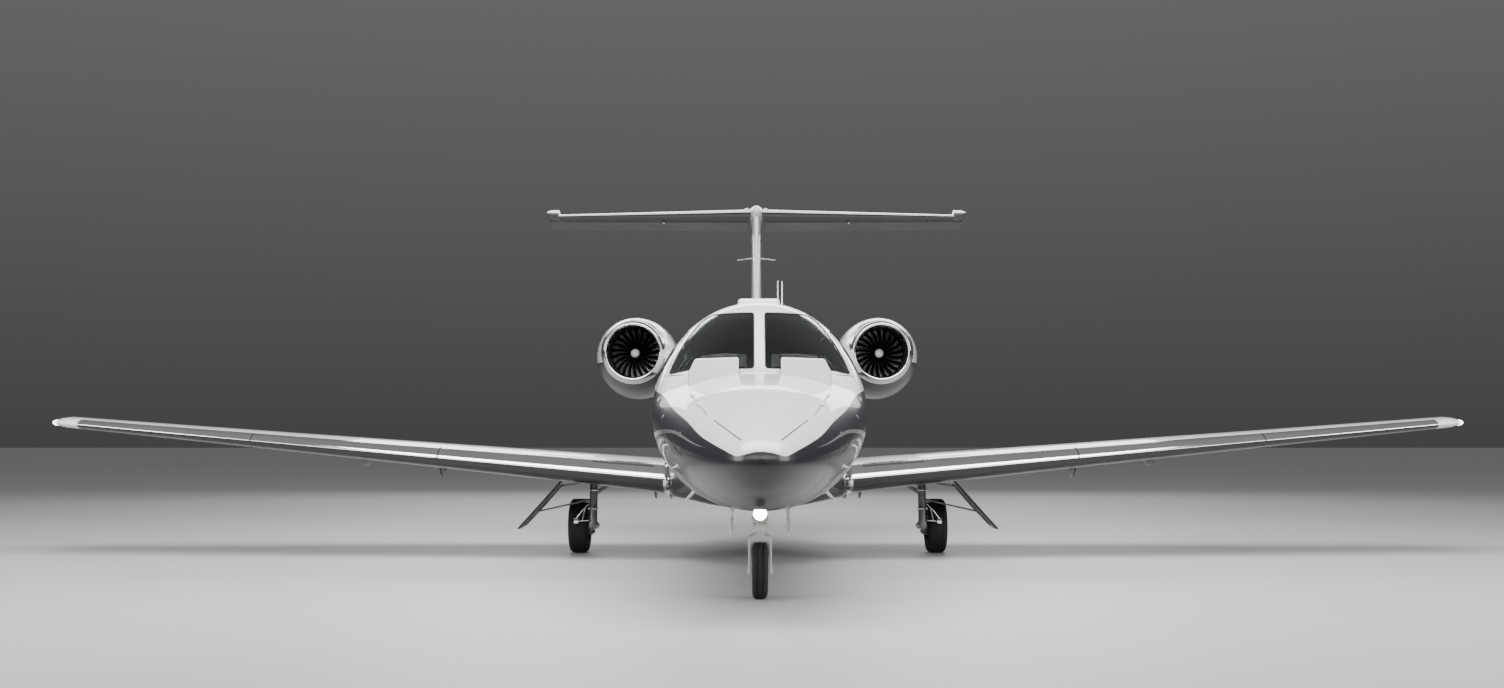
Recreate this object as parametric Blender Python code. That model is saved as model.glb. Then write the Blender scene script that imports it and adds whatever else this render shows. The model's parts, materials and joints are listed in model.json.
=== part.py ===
# A light twin-engined business jet with a low straight wing and a T-tail, parked on its landing gear.
# Units are metres, +Z is up, the nose points to -Y, and +X is the aircraft's own left side.
# Lengths along the aircraft are given as stations, measured aft from the tip of the nose.
# The origin is on the ground, under the middle of the length.
import math

import bmesh
import bpy
import numpy as np
from mathutils import Matrix, Vector

# Driving dimensions
LENGTH = 12.98
HALF_SPAN = 7.15
BODY_RADIUS = 0.87
BODY_AXIS_Z = 1.50
SEAT_GAP = 0.0003
END_GAP = 0.012
RUNNING_GAP = 0.006
PIN_GAP = 0.0004
HINGE_PIN_RADIUS = 0.008
HINGE_PIN_SEAT = 0.020
SIDES = ((1, "left"), (-1, "right"))

# Fuselage outline: station, half width, bottom, top, height of the widest point
BODY = (
    (0.00, 0.030, 1.010, 1.070, 1.040),
    (0.02, 0.085, 0.965, 1.112, 1.040),
    (0.07, 0.160, 0.915, 1.165, 1.040),
    (0.20, 0.262, 0.850, 1.238, 1.045),
    (0.45, 0.395, 0.780, 1.335, 1.065),
    (0.80, 0.530, 0.722, 1.440, 1.115),
    (1.20, 0.645, 0.685, 1.542, 1.185),
    (1.60, 0.740, 0.660, 1.628, 1.265),
    (2.02, 0.812, 0.645, 1.705, 1.345),
    (2.15, 0.830, 0.641, 1.750, 1.368),
    (2.55, 0.857, 0.634, 2.020, 1.430),
    (2.90, 0.868, 0.631, 2.225, 1.470),
    (3.20, 0.870, 0.630, 2.325, 1.490),
    (3.56, 0.870, 0.630, 2.370, 1.500),
    (7.90, 0.870, 0.630, 2.370, 1.500),
    (8.60, 0.822, 0.745, 2.366, 1.535),
    (9.40, 0.716, 0.965, 2.348, 1.605),
    (10.20, 0.565, 1.222, 2.315, 1.705),
    (11.00, 0.392, 1.482, 2.268, 1.820),
    (11.70, 0.228, 1.702, 2.212, 1.925),
    (12.20, 0.095, 1.865, 2.140, 2.000),
)
BODY_FACETS = 28
SKIN = 0.050
RADOME_END = 0.62
NOSE_END = 2.02
COCKPIT_END = 3.56
CABIN_END = 7.90
TAIL_END = 12.20
COCKPIT_STATIONS = (NOSE_END + SEAT_GAP, 2.15, 2.35, 2.60, 2.86, 3.14)
BAGGAGE_STATIONS = (0.82, 1.78)
BAGGAGE_ANGLE = 46.0
BAGGAGE_HINGE_OUT = 0.020
BAGGAGE_DEPTH = 0.330
BARREL_RADIUS = 0.012
GEAR_BAY = ((-0.215, 1.02, 0.30), (0.215, 1.98, 1.02))
TAIL_STATIONS = (CABIN_END, 8.20, 8.60, 9.40, 10.20, 11.00, 11.70, TAIL_END)
PITOT = (1.50, -48.0, 0.075, 0.15)

# Belly fairing: station, half width, bottom, top, then its underside as shares of the half width and of the rise
BELLY = (
    (4.36, 0.50, 0.72, 1.20),
    (4.62, 0.70, 0.600, 1.28),
    (4.90, 0.82, 0.540, 1.34),
    (5.20, 0.8597, 0.522, 1.37),
    (7.30, 0.8597, 0.522, 1.37),
    (7.70, 0.820, 0.545, 1.34),
    (8.15, 0.720, 0.640, 1.30),
    (8.60, 0.520, 0.850, 1.26),
)
BELLY_RISE = 0.115
BELLY_SHAPE = ((0.0, 0.0), (0.30, 0.0), (0.52, 0.26), (0.70, 0.54), (0.86, 0.80), (0.96, 0.98), (1.0, 1.25))

# Wing sections: distance from the centreline, leading-edge station, chord, height, thickness over chord
WING = (
    (0.86, 5.150, 2.150, 0.786, 0.158),
    (7.02, 5.800, 0.920, 1.342, 0.120),
    (7.09, 5.835, 0.870, 1.348, 0.105),
    (7.13, 5.885, 0.790, 1.351, 0.075),
    (HALF_SPAN, 5.960, 0.660, 1.352, 0.030),
)
CAMBER = 0.016
TRAILING_EDGE = 0.006
LEADING_EDGE_SHARE = 0.11
METAL_ENDS = (0.90, 6.86)
SURFACES = (
    # name, inner end, outer end, share of the chord at the hinge
    ("flap", 0.930, 4.080, 0.735),
    ("aileron", 4.150, 6.640, 0.735),
)
# Hinge fairings under the wing: distance from the centreline, ends as shares of the chord, depth, half width
FAIRINGS = (
    (1.055, 0.42, 0.665, 0.125, 0.020),
    (3.270, 0.42, 0.675, 0.135, 0.020),
    (4.115, 0.46, 0.900, 0.125, 0.017),
)
FAIRING_SHAPE = ((0.0, 0.06), (0.14, 0.42), (0.34, 0.80), (0.60, 1.0), (0.82, 0.72), (1.0, 0.06))

# Tailplane sections, in the same columns, drawn with no dihedral so that both elevators share one hinge line
TAILPLANE_Z = 4.305
TAILPLANE = (
    (0.00, 11.500, 1.300, TAILPLANE_Z, 0.090),
    (2.90, 11.930, 0.800, TAILPLANE_Z, 0.085),
    (2.95, 11.965, 0.740, TAILPLANE_Z, 0.060),
    (2.97, 12.020, 0.650, TAILPLANE_Z, 0.025),
)

# Fin sections: height, leading-edge station, trailing-edge station, thickness
FIN = (
    (2.100, 9.000, 12.170, 0.170),
    (2.360, 9.350, 12.250, 0.150),
    (2.480, 9.850, 12.290, 0.148),
    (2.640, 10.180, 12.330, 0.145),
    (4.230, 11.402, 12.707, 0.120),
)
FIN_TOP = 4.230
BULLET_Z = 4.318
RUDDER_HINGE = ((2.560, 11.940), (4.150, 12.300))
RUDDER_TIPS = ((2.560, 12.330), (4.150, 12.688))
RUDDER_RADII = (0.048, 0.040)
ELEVATOR_HINGE = 12.340
ELEVATOR_ROOT = 0.135
ELEVATOR_TIP = 2.955
ELEVATOR_RADII = (0.036, 0.025)
ELEVATOR_DROOP = 14.0
HORN_X = 2.800

# Aerials: on the fin, a height and how far they reach; on the roof, distance from the centreline, station, top
FIN_AERIAL = (3.641, 0.265)
BLADE_AERIAL = (0.195, 5.40, 2.755)
WHIP_AERIAL = (0.242, 5.66, 2.770)
ROOF_PLATE = ((-0.185, 3.62, 2.335), (0.185, 3.98, 2.415))
BELLY_AERIAL = (5.60, 0.440)

# Nacelle outline: station, outside radius, height of the section's centre
NACELLE_X = 1.42
NACELLE = (
    (7.930, 0.372, 2.172),
    (8.150, 0.428, 2.153),
    (8.450, 0.468, 2.138),
    (8.850, 0.480, 2.134),
    (9.250, 0.452, 2.140),
    (9.650, 0.376, 2.155),
    (10.050, 0.258, 2.172),
)
INLET_STATION = 7.800
DUCT_RADIUS = 0.292
NOZZLE_RADIUS = 0.236
ENGINE_Z = 2.175
# The inside from the rear forwards, in the same columns: a cowl round the engine, then the straight inlet duct
NACELLE_INSIDE = (
    (10.050, 0.240, ENGINE_Z),
    (9.650, 0.346, 2.155),
    (9.250, 0.422, 2.140),
    (9.020, 0.440, 2.137),
    (8.945, DUCT_RADIUS, ENGINE_Z),
    (7.930, DUCT_RADIUS, ENGINE_Z),
)
NACELLE_FACETS = 24
FAN_STATION = 8.300
FAN_BLADES = 16

# Landing gear
NOSE_GEAR_STATION = 1.80
NOSE_TYRE_RADIUS = 0.210
NOSE_TYRE_WIDTH = 0.120
NOSE_HUB_RADIUS = 0.105
MAIN_GEAR_STATION = 6.47
MAIN_GEAR_X = 1.86
MAIN_TYRE_RADIUS = 0.280
MAIN_TYRE_WIDTH = 0.205
MAIN_HUB_RADIUS = 0.150
LEG_X = 1.690

# Cabin
FLOOR_Z = 0.970
FLOOR_DEPTH = 0.040
DOOR_STATIONS = (3.66, 4.30)
DOOR_ANGLES = (-45.0, 45.0)
WINDOW_STATIONS = (4.78, 5.46, 6.14, 6.82)
WINDOW_WIDTH = 0.36
WINDOW_LOW = 1.660
WINDOW_HIGH = 2.060
PAINT_LINE = 1.610
DOOR_SIDE_WINDOW = 4.10
DOOR_OPEN = 128.0

# Windscreen half as distances from the centreline and heights, side window as stations and heights
WINDSCREEN = ((0.045, 1.735), (0.045, 2.235), (0.385, 2.215), (0.728, 1.705))
SIDE_WINDOW = ((2.66, 1.700), (3.34, 1.690), (3.34, 2.000), (3.10, 2.100), (2.84, 2.020))


def at(x, station, z):
    """The point of the row frame at a distance x from the centreline, a station and a height."""
    return Vector((x, station - LENGTH / 2, z))


# Scene and mesh helpers


def clear_scene():
    for obj in list(bpy.data.objects):
        bpy.data.objects.remove(obj)


def material(name, colour, roughness, metallic=0.0, alpha=1.0):
    made = bpy.data.materials.new(name)
    made.use_nodes = True
    shader = made.node_tree.nodes["Principled BSDF"]
    shader.inputs["Base Color"].default_value = (*colour, 1.0)
    shader.inputs["Roughness"].default_value = roughness
    shader.inputs["Metallic"].default_value = metallic
    shader.inputs["Alpha"].default_value = alpha
    return made


def add(name, mesh_builder, finish):
    """A named object from a bmesh, closed, with its faces pointing outwards."""
    bmesh.ops.recalc_face_normals(mesh_builder, faces=mesh_builder.faces)
    if mesh_builder.calc_volume(signed=True) < 0:
        bmesh.ops.reverse_faces(mesh_builder, faces=mesh_builder.faces)
    mesh = bpy.data.meshes.new(name)
    mesh_builder.to_mesh(mesh)
    mesh_builder.free()
    obj = bpy.data.objects.new(name, mesh)
    bpy.context.scene.collection.objects.link(obj)
    if finish is not None:
        mesh.materials.append(finish)
    return obj


def helper(obj):
    """Marks a cutter, which is no piece of the aircraft."""
    obj.hide_render = True
    obj.display_type = "WIRE"
    return obj


def boolean(obj, other, operation):
    modifier = obj.modifiers.new(operation.title() + " " + other.name, "BOOLEAN")
    modifier.operation = operation
    modifier.object = other
    modifier.solver = "EXACT"
    return obj


def cut(obj, *cutters):
    for cutter in cutters:
        boolean(obj, helper(cutter), "DIFFERENCE")
    return obj


def join(obj, *others):
    for other in others:
        boolean(obj, helper(other), "UNION")
    return obj


def keep_inside(obj, *others):
    for other in others:
        boolean(obj, helper(other), "INTERSECT")
    return obj


def loft(name, rings, finish=None, loop=False):
    """A solid through rings of equal point counts, capped at its ends, or closed on itself like a tube wall."""
    bm = bmesh.new()
    rows = [[bm.verts.new(p) for p in ring] for ring in rings]
    pairs = list(zip(rows, rows[1:]))
    if loop:
        pairs.append((rows[-1], rows[0]))
    for low, high in pairs:
        count = len(low)
        for i in range(count):
            # Triangles, so that two solids on the same surface are split along the same diagonals
            j = (i + 1) % count
            bm.faces.new((low[i], low[j], high[j]))
            bm.faces.new((low[i], high[j], high[i]))
    if not loop:
        bm.faces.new(rows[0])
        bm.faces.new(rows[-1])
    return add(name, bm, finish)


def box(name, low, high, finish=None, bevel=0.0, segments=2):
    """A box between two corners, with its edges rounded by bevel."""
    bm = bmesh.new()
    bmesh.ops.create_cube(bm, size=1.0)
    low, high = Vector(low), Vector(high)
    for v in bm.verts:
        v.co = Vector((low[k] + (v.co[k] + 0.5) * (high[k] - low[k]) for k in range(3)))
    if bevel:
        bmesh.ops.bevel(bm, geom=bm.edges[:], offset=bevel, segments=segments, profile=0.5, affect="EDGES")
    return add(name, bm, finish)


def prism(name, outline, axis, low, high, finish=None):
    """A flat outline of (u, v) points drawn out along axis X, Y or Z between low and high."""

    def place(u, v, w):
        return {"X": Vector((w, u, v)), "Y": Vector((u, w, v)), "Z": Vector((u, v, w))}[axis]

    rings = [[place(u, v, w) for u, v in outline] for w in (low, high)]
    return loft(name, rings, finish)


def rounded(u0, u1, v0, v1, radius, steps=3):
    """The outline of a rectangle with round corners."""
    points = []
    corners = ((u1, v1, 0), (u0, v1, 90), (u0, v0, 180), (u1, v0, 270))
    for u, v, start in corners:
        cu = u - math.copysign(radius, u - (u0 + u1) / 2)
        cv = v - math.copysign(radius, v - (v0 + v1) / 2)
        for k in range(steps + 1):
            a = math.radians(start + 90 * k / steps)
            points.append((cu + radius * math.cos(a), cv + radius * math.sin(a)))
    return points


def round_corners(outline, radius, steps=3):
    """An outline of straight sides with each corner replaced by an arc of about the given radius."""
    points, count = [], len(outline)
    for i in range(count):
        here = Vector(outline[i])
        before = (Vector(outline[i - 1]) - here).normalized()
        after = (Vector(outline[(i + 1) % count]) - here).normalized()
        for k in range(steps + 1):
            t = k / steps
            points.append(tuple(here + before * radius * (1 - t) ** 2 + after * radius * t**2))
    return points


def rod(name, start, end, radius, finish=None, end_radius=None, facets=12):
    """A round bar or cone between two points."""
    start, end = Vector(start), Vector(end)
    turn = (end - start).to_track_quat("Z", "Y").to_matrix()
    rings = []
    for centre, r in ((start, radius), (end, radius if end_radius is None else end_radius)):
        ring = []
        for k in range(facets):
            a = 2 * math.pi * (k + 0.5) / facets
            ring.append(centre + turn @ Vector((r * math.cos(a), r * math.sin(a), 0)))
        rings.append(ring)
    return loft(name, rings, finish)


def turned(name, profile, centre, axis, finish=None, facets=32, bored=False):
    """A solid turned about an axis through centre. Profile rows are (distance along the axis, radius).
    A bored profile is a closed loop that never meets the axis."""
    turn = Vector(axis).to_track_quat("Z", "Y").to_matrix()
    rings = []
    for along, radius in profile:
        ring = []
        for k in range(facets):
            a = 2 * math.pi * (k + 0.5) / facets
            ring.append(Vector(centre) + turn @ Vector((radius * math.cos(a), radius * math.sin(a), along)))
        rings.append(ring)
    return loft(name, rings, finish, loop=bored)


def frame_box(name, origin, axis, up, low, high, finish=None):
    """A box drawn in the frame of a hinge line: u along the axis, v square to it and to up, w the rest."""
    u = Vector(axis).normalized()
    v = Vector(up).cross(u).normalized()
    w = u.cross(v)
    obj = box(name, low, high, finish)
    obj.data.transform(Matrix((u, v, w)).transposed().to_4x4())
    obj.data.transform(Matrix.Translation(origin))
    return obj


# Fuselage surface


def hermite(table):
    """A smooth curve through each column of a table whose first column rises, with no overshoot between rows."""
    rows = np.array(table, float)
    x, y = rows[:, 0], rows[:, 1:]
    slope = np.diff(y, axis=0) / np.diff(x)[:, None]
    tangent = np.zeros_like(y)
    tangent[0], tangent[-1] = slope[0], slope[-1]
    product = slope[:-1] * slope[1:]
    total = slope[:-1] + slope[1:]
    safe = np.where(np.abs(total) < 1e-12, 1.0, total)
    tangent[1:-1] = np.where(product > 0, 2 * product / safe, 0.0)

    def read(s):
        k = int(np.clip(np.searchsorted(x, s) - 1, 0, len(x) - 2))
        h = x[k + 1] - x[k]
        t = (s - x[k]) / h
        t2, t3 = t * t, t * t * t
        return (
            (2 * t3 - 3 * t2 + 1) * y[k]
            + (t3 - 2 * t2 + t) * h * tangent[k]
            + (3 * t2 - 2 * t3) * y[k + 1]
            + (t3 - t2) * h * tangent[k + 1]
        )

    return read


body_row = hermite(BODY)


def body_point(station, degrees, inset=0.0):
    """A point of the fuselage surface. The angle is 0 on the left side and 90 on top."""
    half, bottom, top, widest = body_row(station)
    a = math.radians(degrees)
    x = (half - inset) * math.cos(a)
    reach = (top - widest if math.sin(a) > 0 else widest - bottom) - inset
    return at(x, station, widest + reach * math.sin(a))


def body_ring(station, inset=0.0):
    return [body_point(station, 360 * k / BODY_FACETS, inset) for k in range(BODY_FACETS)]


def body_solid(name, stations, inset, finish=None):
    return loft(name, [body_ring(s, inset) for s in stations], finish)


def body_tube(name, stations, finish=None, outer=0.0, inner=SKIN):
    """The fuselage skin between two stations, from an outer to an inner depth under the surface."""
    outside = [body_ring(s, outer) for s in stations]
    inside = [body_ring(s, inner) for s in reversed(stations)]
    return loft(name, outside + inside, finish, loop=True)


def spread(low, high, count):
    return [low + (high - low) * k / (count - 1) for k in range(count)]


# Lifting surfaces


def airfoil(chord, ratio, half_points=8):
    """Points of a wing section, from the upper trailing edge round the nose to the lower trailing edge."""
    shares = [(1 - math.cos(math.pi * k / half_points)) / 2 for k in range(half_points + 1)]

    def half_depth(c):
        curve = 0.2969 * math.sqrt(c) - 0.1260 * c - 0.3516 * c**2 + 0.2843 * c**3 - 0.1036 * c**4
        return 5 * ratio * chord * curve + TRAILING_EDGE / 2 * c

    upper = [(c * chord, CAMBER * chord * 4 * c * (1 - c) + half_depth(c)) for c in reversed(shares)]
    lower = [(c * chord, CAMBER * chord * 4 * c * (1 - c) - half_depth(c)) for c in shares[1:]]
    return upper + lower


def wing_solid(name, table, side, finish=None):
    rings = []
    for x, lead, chord, z, ratio in table:
        rings.append([at(side * x, lead + c, z + h) for c, h in airfoil(chord, ratio)])
    return loft(name, rings, finish)


def section_at(table, x):
    """Leading-edge station, chord, height and thickness ratio at a distance x, on the straight part."""
    inner, outer = table[0], table[1]
    t = (x - inner[0]) / (outer[0] - inner[0])
    return [inner[k] + (outer[k] - inner[k]) * t for k in range(1, 5)]


def chord_point(table, side, x, share):
    """The middle of the wing's depth at a share of the chord."""
    lead, chord, z, _ = section_at(table, x)
    return at(side * x, lead + share * chord, z + CAMBER * chord * 4 * share * (1 - share))


def half_depth(table, x, share):
    _, chord, _, ratio = section_at(table, x)
    curve = 0.2969 * math.sqrt(share) - 0.1260 * share - 0.3516 * share**2 + 0.2843 * share**3 - 0.1036 * share**4
    return 5 * ratio * chord * curve + TRAILING_EDGE / 2 * share


def plan_slab(name, table, side, x0, x1, share0, share1):
    """A tall block over the part of the wing between two distances and two shares of the chord."""
    corners = ((x0, share0), (x1, share0), (x1, share1), (x0, share1))
    outline = [chord_point(table, side, x, share) for x, share in corners]
    return loft(name, [[Vector((p.x, p.y, z)) for p in outline] for z in (0.0, 6.0)])


def flap_shape(name, hinge, tips, radii, up, finish, steps=7):
    """A control surface: a round nose about its hinge line, then two faces that run to a thin trailing edge."""
    rings = []
    for pivot, tip, radius in zip(hinge, tips, radii):
        back = (tip - pivot).normalized()
        side = (up - back * up.dot(back)).normalized()
        ring = []
        for k in range(steps + 1):
            a = math.radians(90 + 180 * k / steps)
            ring.append(pivot + back * radius * math.cos(a) + side * radius * math.sin(a))
        ring.append(tip - side * TRAILING_EDGE / 2)
        ring.append(tip + side * TRAILING_EDGE / 2)
        rings.append(ring)
    return loft(name, rings, finish)


def hinge_pins(name, hinge, grow=0.0):
    """A pin at each end of a control surface, or its bore, on the hinge line."""
    along = (hinge[1] - hinge[0]).normalized()
    reach = END_GAP + HINGE_PIN_SEAT + grow
    pins = []
    for number, (end, way) in enumerate(((hinge[0], -along), (hinge[1], along))):
        start = end - way * (0.02 + grow)
        pins.append(rod(f"{name} {number}", start, end + way * reach, HINGE_PIN_RADIUS + grow, facets=12))
    return pins


def cove(name, hinge, tips, radii, up):
    """The room that a control surface needs in the wing: its nose, its blade and its two pins."""
    along = (hinge[1] - hinge[0]).normalized()
    ends = [hinge[0] - along * END_GAP, hinge[1] + along * END_GAP]
    grown = [r + RUNNING_GAP for r in radii]
    slant = abs((tips[0] - hinge[0]).normalized().dot(along)) * 1.03
    nose_ends = [ends[0] - along * grown[0] * slant, ends[1] + along * grown[1] * slant]
    nose = rod(name + " nose", nose_ends[0], nose_ends[1], grown[0], end_radius=grown[1], facets=32)
    rings = []
    for end, pivot, tip, radius in zip(ends, hinge, tips, grown):
        back = (tip - pivot).normalized()
        side = (up - back * up.dot(back)).normalized()
        far = end + back * (tip - pivot).length * 1.5
        reach = side * radius * 4
        rings.append([end + reach, far + reach, far - reach, end - reach])
    return [nose, loft(name + " blade", rings)] + hinge_pins(name + " bore", hinge, PIN_GAP)


# Finishes

def make_finishes():
    return {
        "white_paint": material("white_paint", (0.86, 0.86, 0.85), 0.18),
        "charcoal_paint": material("charcoal_paint", (0.035, 0.037, 0.040), 0.20),
        "charcoal_composite": material("charcoal_composite", (0.035, 0.037, 0.040), 0.20),
        "white_composite": material("white_composite", (0.80, 0.80, 0.79), 0.25),
        "polished_metal": material("polished_metal", (0.80, 0.80, 0.79), 0.12, 1.0),
        "steel": material("steel", (0.55, 0.55, 0.55), 0.35, 1.0),
        "gear_paint": material("gear_paint", (0.78, 0.78, 0.76), 0.40),
        "tyre_rubber": material("tyre_rubber", (0.025, 0.025, 0.026), 0.85),
        "tinted_glass": material("tinted_glass", (0.05, 0.06, 0.065), 0.05, alpha=0.35),
        "dark_metal": material("dark_metal", (0.09, 0.09, 0.095), 0.45, 1.0),
        "leather": material("leather", (0.50, 0.45, 0.38), 0.55),
        "avionics": material("avionics", (0.08, 0.08, 0.085), 0.60),
        "trim": material("trim", (0.10, 0.10, 0.11), 0.65),
        "carpet": material("carpet", (0.22, 0.21, 0.20), 0.95),
    }


# Fuselage


def shrunk(outline, distance):
    """A convex outline with every side moved inwards by a distance."""
    count = len(outline)
    centre = sum((Vector(p) for p in outline), Vector((0.0, 0.0))) / count
    lines = []
    for i in range(count):
        a, b = Vector(outline[i]), Vector(outline[(i + 1) % count])
        if (b - a).length < 1e-9:
            continue
        normal = Vector((a.y - b.y, b.x - a.x)).normalized()
        if normal.dot(centre - a) < 0:
            normal = -normal
        lines.append((a + normal * distance, (b - a).normalized()))
    points = []
    for i in range(len(lines)):
        (p, d), (q, e) = lines[i - 1], lines[i]
        cross = d.x * e.y - d.y * e.x
        if abs(cross) < 1e-9:
            points.append(tuple(q))
            continue
        t = ((q - p).x * e.y - (q - p).y * e.x) / cross
        points.append(tuple(p + d * t))
    return points


def mirror_outline(outline, side):
    return [(side * u, v) for u, v in outline]


def y_of(outline):
    """An outline in stations and heights, moved to the row frame's Y."""
    return [(u - LENGTH / 2, v) for u, v in outline]


def cabin_window(station):
    half = WINDOW_WIDTH / 2
    return rounded(station - half, station + half, WINDOW_LOW, WINDOW_HIGH, 0.115, 2)


def door_block(name, grow):
    """The part of the cabin's left side that the door takes up, grown by a gap all round."""
    extra = math.degrees(grow / BODY_RADIUS)
    angles = spread(DOOR_ANGLES[0] - extra, DOOR_ANGLES[1] + extra, 7)
    rings = []
    for s in (DOOR_STATIONS[0] - grow, DOOR_STATIONS[1] + grow):
        ring = [body_point(s, a, -0.10) for a in angles]
        rings.append(ring + [body_point(s, a, SKIN + 0.12) for a in reversed(angles)])
    return loft(name, rings)


def baggage_frame(side):
    """The hinge line of a nose baggage door, just clear of the skin: its start, direction and outward normal."""
    ends = []
    for station in BAGGAGE_STATIONS:
        p = body_point(station, BAGGAGE_ANGLE)
        q = body_point(station, BAGGAGE_ANGLE, 0.1)
        ends.append(p + (p - q).normalized() * BAGGAGE_HINGE_OUT)
    start, end = ends
    axis = (end - start).normalized()
    middle = sum(BAGGAGE_STATIONS) / 2
    p, q = body_point(middle, BAGGAGE_ANGLE - 18), body_point(middle, BAGGAGE_ANGLE - 18, 0.1)
    out = (p - q).normalized()
    out = (out - axis * out.dot(axis)).normalized()
    flip = Vector((side, 1, 1))
    return start * flip, axis * flip, out * flip, (end - start).length


def baggage_block(name, side, grow):
    """A block round the baggage door, drawn in the frame of its hinge line."""
    start, axis, out, length = baggage_frame(side)
    down = BAGGAGE_DEPTH
    low = (-grow, -down - grow, -0.16) if side > 0 else (-grow, -grow, -0.16)
    high = (length + grow, grow, 0.10) if side > 0 else (length + grow, down + grow, 0.10)
    return frame_box(name, start, axis, out, low, high)


def nose_and_cockpit(f):
    outer = [body_ring(s) for s in (0.0, 0.02, 0.07, 0.18, 0.38, RADOME_END)]
    inner = [body_ring(s, 0.02) for s in (RADOME_END, 0.30, 0.12)]
    loft("radome", outer + inner, f["white_composite"])

    nose_stations = [RADOME_END + SEAT_GAP, 0.80, 1.00, 1.20, 1.40, 1.60, 1.80, NOSE_END]
    nose = body_solid("nose_section", nose_stations, 0.0, f["white_paint"])
    bay = body_solid("baggage bay", [0.76, 0.90, 1.05, 1.20, 1.40, 1.60, 1.80, 1.90], SKIN)
    floor = box("baggage bay floor", at(-1, 0.5, 0.4), at(1, 2.2, 1.12))
    cut(bay, floor)
    cut(nose, bay, box("nose gear bay", at(*GEAR_BAY[0]), at(*GEAR_BAY[1])))
    for side, word in SIDES:
        cut(nose, baggage_block("baggage opening " + word, side, 0.003))
        door = body_tube("nose_baggage_door_" + word, nose_stations[:-1] + [1.98], f["white_paint"])
        keep_inside(door, baggage_block("baggage door edge " + word, side, -0.003))
        # Each hinge is two short barrels on the hinge line, one on the nose and one on the door
        start, axis, out, length = baggage_frame(side)
        for number, share in enumerate((0.30, 0.66)):
            fixed, turning = (share, share + 0.04), (share + 0.04, share + 0.08)
            for shell, own, other in ((nose, fixed, turning), (door, turning, fixed)):
                tag = f"{shell.name} {word} {number}"
                ends = [start + axis * length * t for t in own]
                barrel = rod("barrel " + tag, ends[0] + axis * SEAT_GAP, ends[1], BARREL_RADIUS)
                ends = [start + axis * length * t for t in other]
                room = BARREL_RADIUS + 2 * SEAT_GAP
                cut(shell, rod("barrel room " + tag, ends[0], ends[1] + axis * SEAT_GAP, room))
                away = side if shell is nose else -side
                near, far = sorted((away * 0.0035, away * 0.0110))
                low = (length * own[0] + 2 * SEAT_GAP, near, -0.036)
                foot = frame_box("barrel foot " + tag, start, axis, out, low, (length * own[1] - SEAT_GAP, far, 0.003))
                join(shell, barrel, foot)

        station, degrees, out, reach = PITOT
        turn = degrees if side > 0 else 180 - degrees
        root, tip = body_point(station, turn, 0.03), body_point(station, turn, -out)
        join(
            nose,
            rod("pitot mast " + word, root, tip, 0.012, facets=8),
            rod("pitot tube " + word, tip + Vector((0, 0.012, 0)), tip - Vector((0, reach, 0)), 0.010, facets=8),
        )

    cockpit_stations = list(COCKPIT_STATIONS)
    cockpit = body_tube("cockpit_shell", cockpit_stations + [COCKPIT_END - SEAT_GAP], f["white_paint"])
    for side, word in SIDES:
        frame = round_corners(mirror_outline(WINDSCREEN, side), 0.05)
        glass_frame = shrunk(frame, 0.0006)
        low, high = NOSE_END - 0.2 - LENGTH / 2, 3.50 - LENGTH / 2
        cut(cockpit, prism("windscreen opening " + word, frame, "Y", low, high))
        pane = body_tube("windscreen_" + word, cockpit_stations + [COCKPIT_END], f["tinted_glass"], 0.006, 0.022)
        keep_inside(pane, prism("windscreen edge " + word, glass_frame, "Y", low, high))
        frame = round_corners(y_of(SIDE_WINDOW), 0.05)
        low, high = sorted((side * 0.35, side * 1.2))
        cut(cockpit, prism("cockpit window opening " + word, frame, "X", low, high))
        pane = body_tube("cockpit_window_" + word, cockpit_stations[3:] + [COCKPIT_END], f["tinted_glass"], 0.006, 0.022)
        keep_inside(pane, prism("cockpit window edge " + word, shrunk(frame, 0.0006), "X", low, high))


def roof_aerials():
    """A flat plate over the front of the cabin, and a blade and a whip aerial off to the left side."""
    plate = box("roof plate", at(*ROOF_PLATE[0]), at(*ROOF_PLATE[1]), bevel=0.014)
    x, station, top = BLADE_AERIAL
    rings = []
    for z, lead, trail, half in ((2.315, -0.10, 0.10, 0.009), (top, 0.05, 0.13, 0.005)):
        ring = [(0.0, lead), (half, lead + 0.03), (half, trail - 0.03), (0.0, trail)]
        ring += [(-half, trail - 0.03), (-half, lead + 0.03)]
        rings.append([at(x + u, station + v, z) for u, v in ring])
    blade = loft("blade aerial", rings)
    x, station, top = WHIP_AERIAL
    whip = rod("whip aerial", at(x, station, 2.300), at(x, station + 0.04, top), 0.009, end_radius=0.006, facets=8)
    return plate, blade, whip


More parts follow.
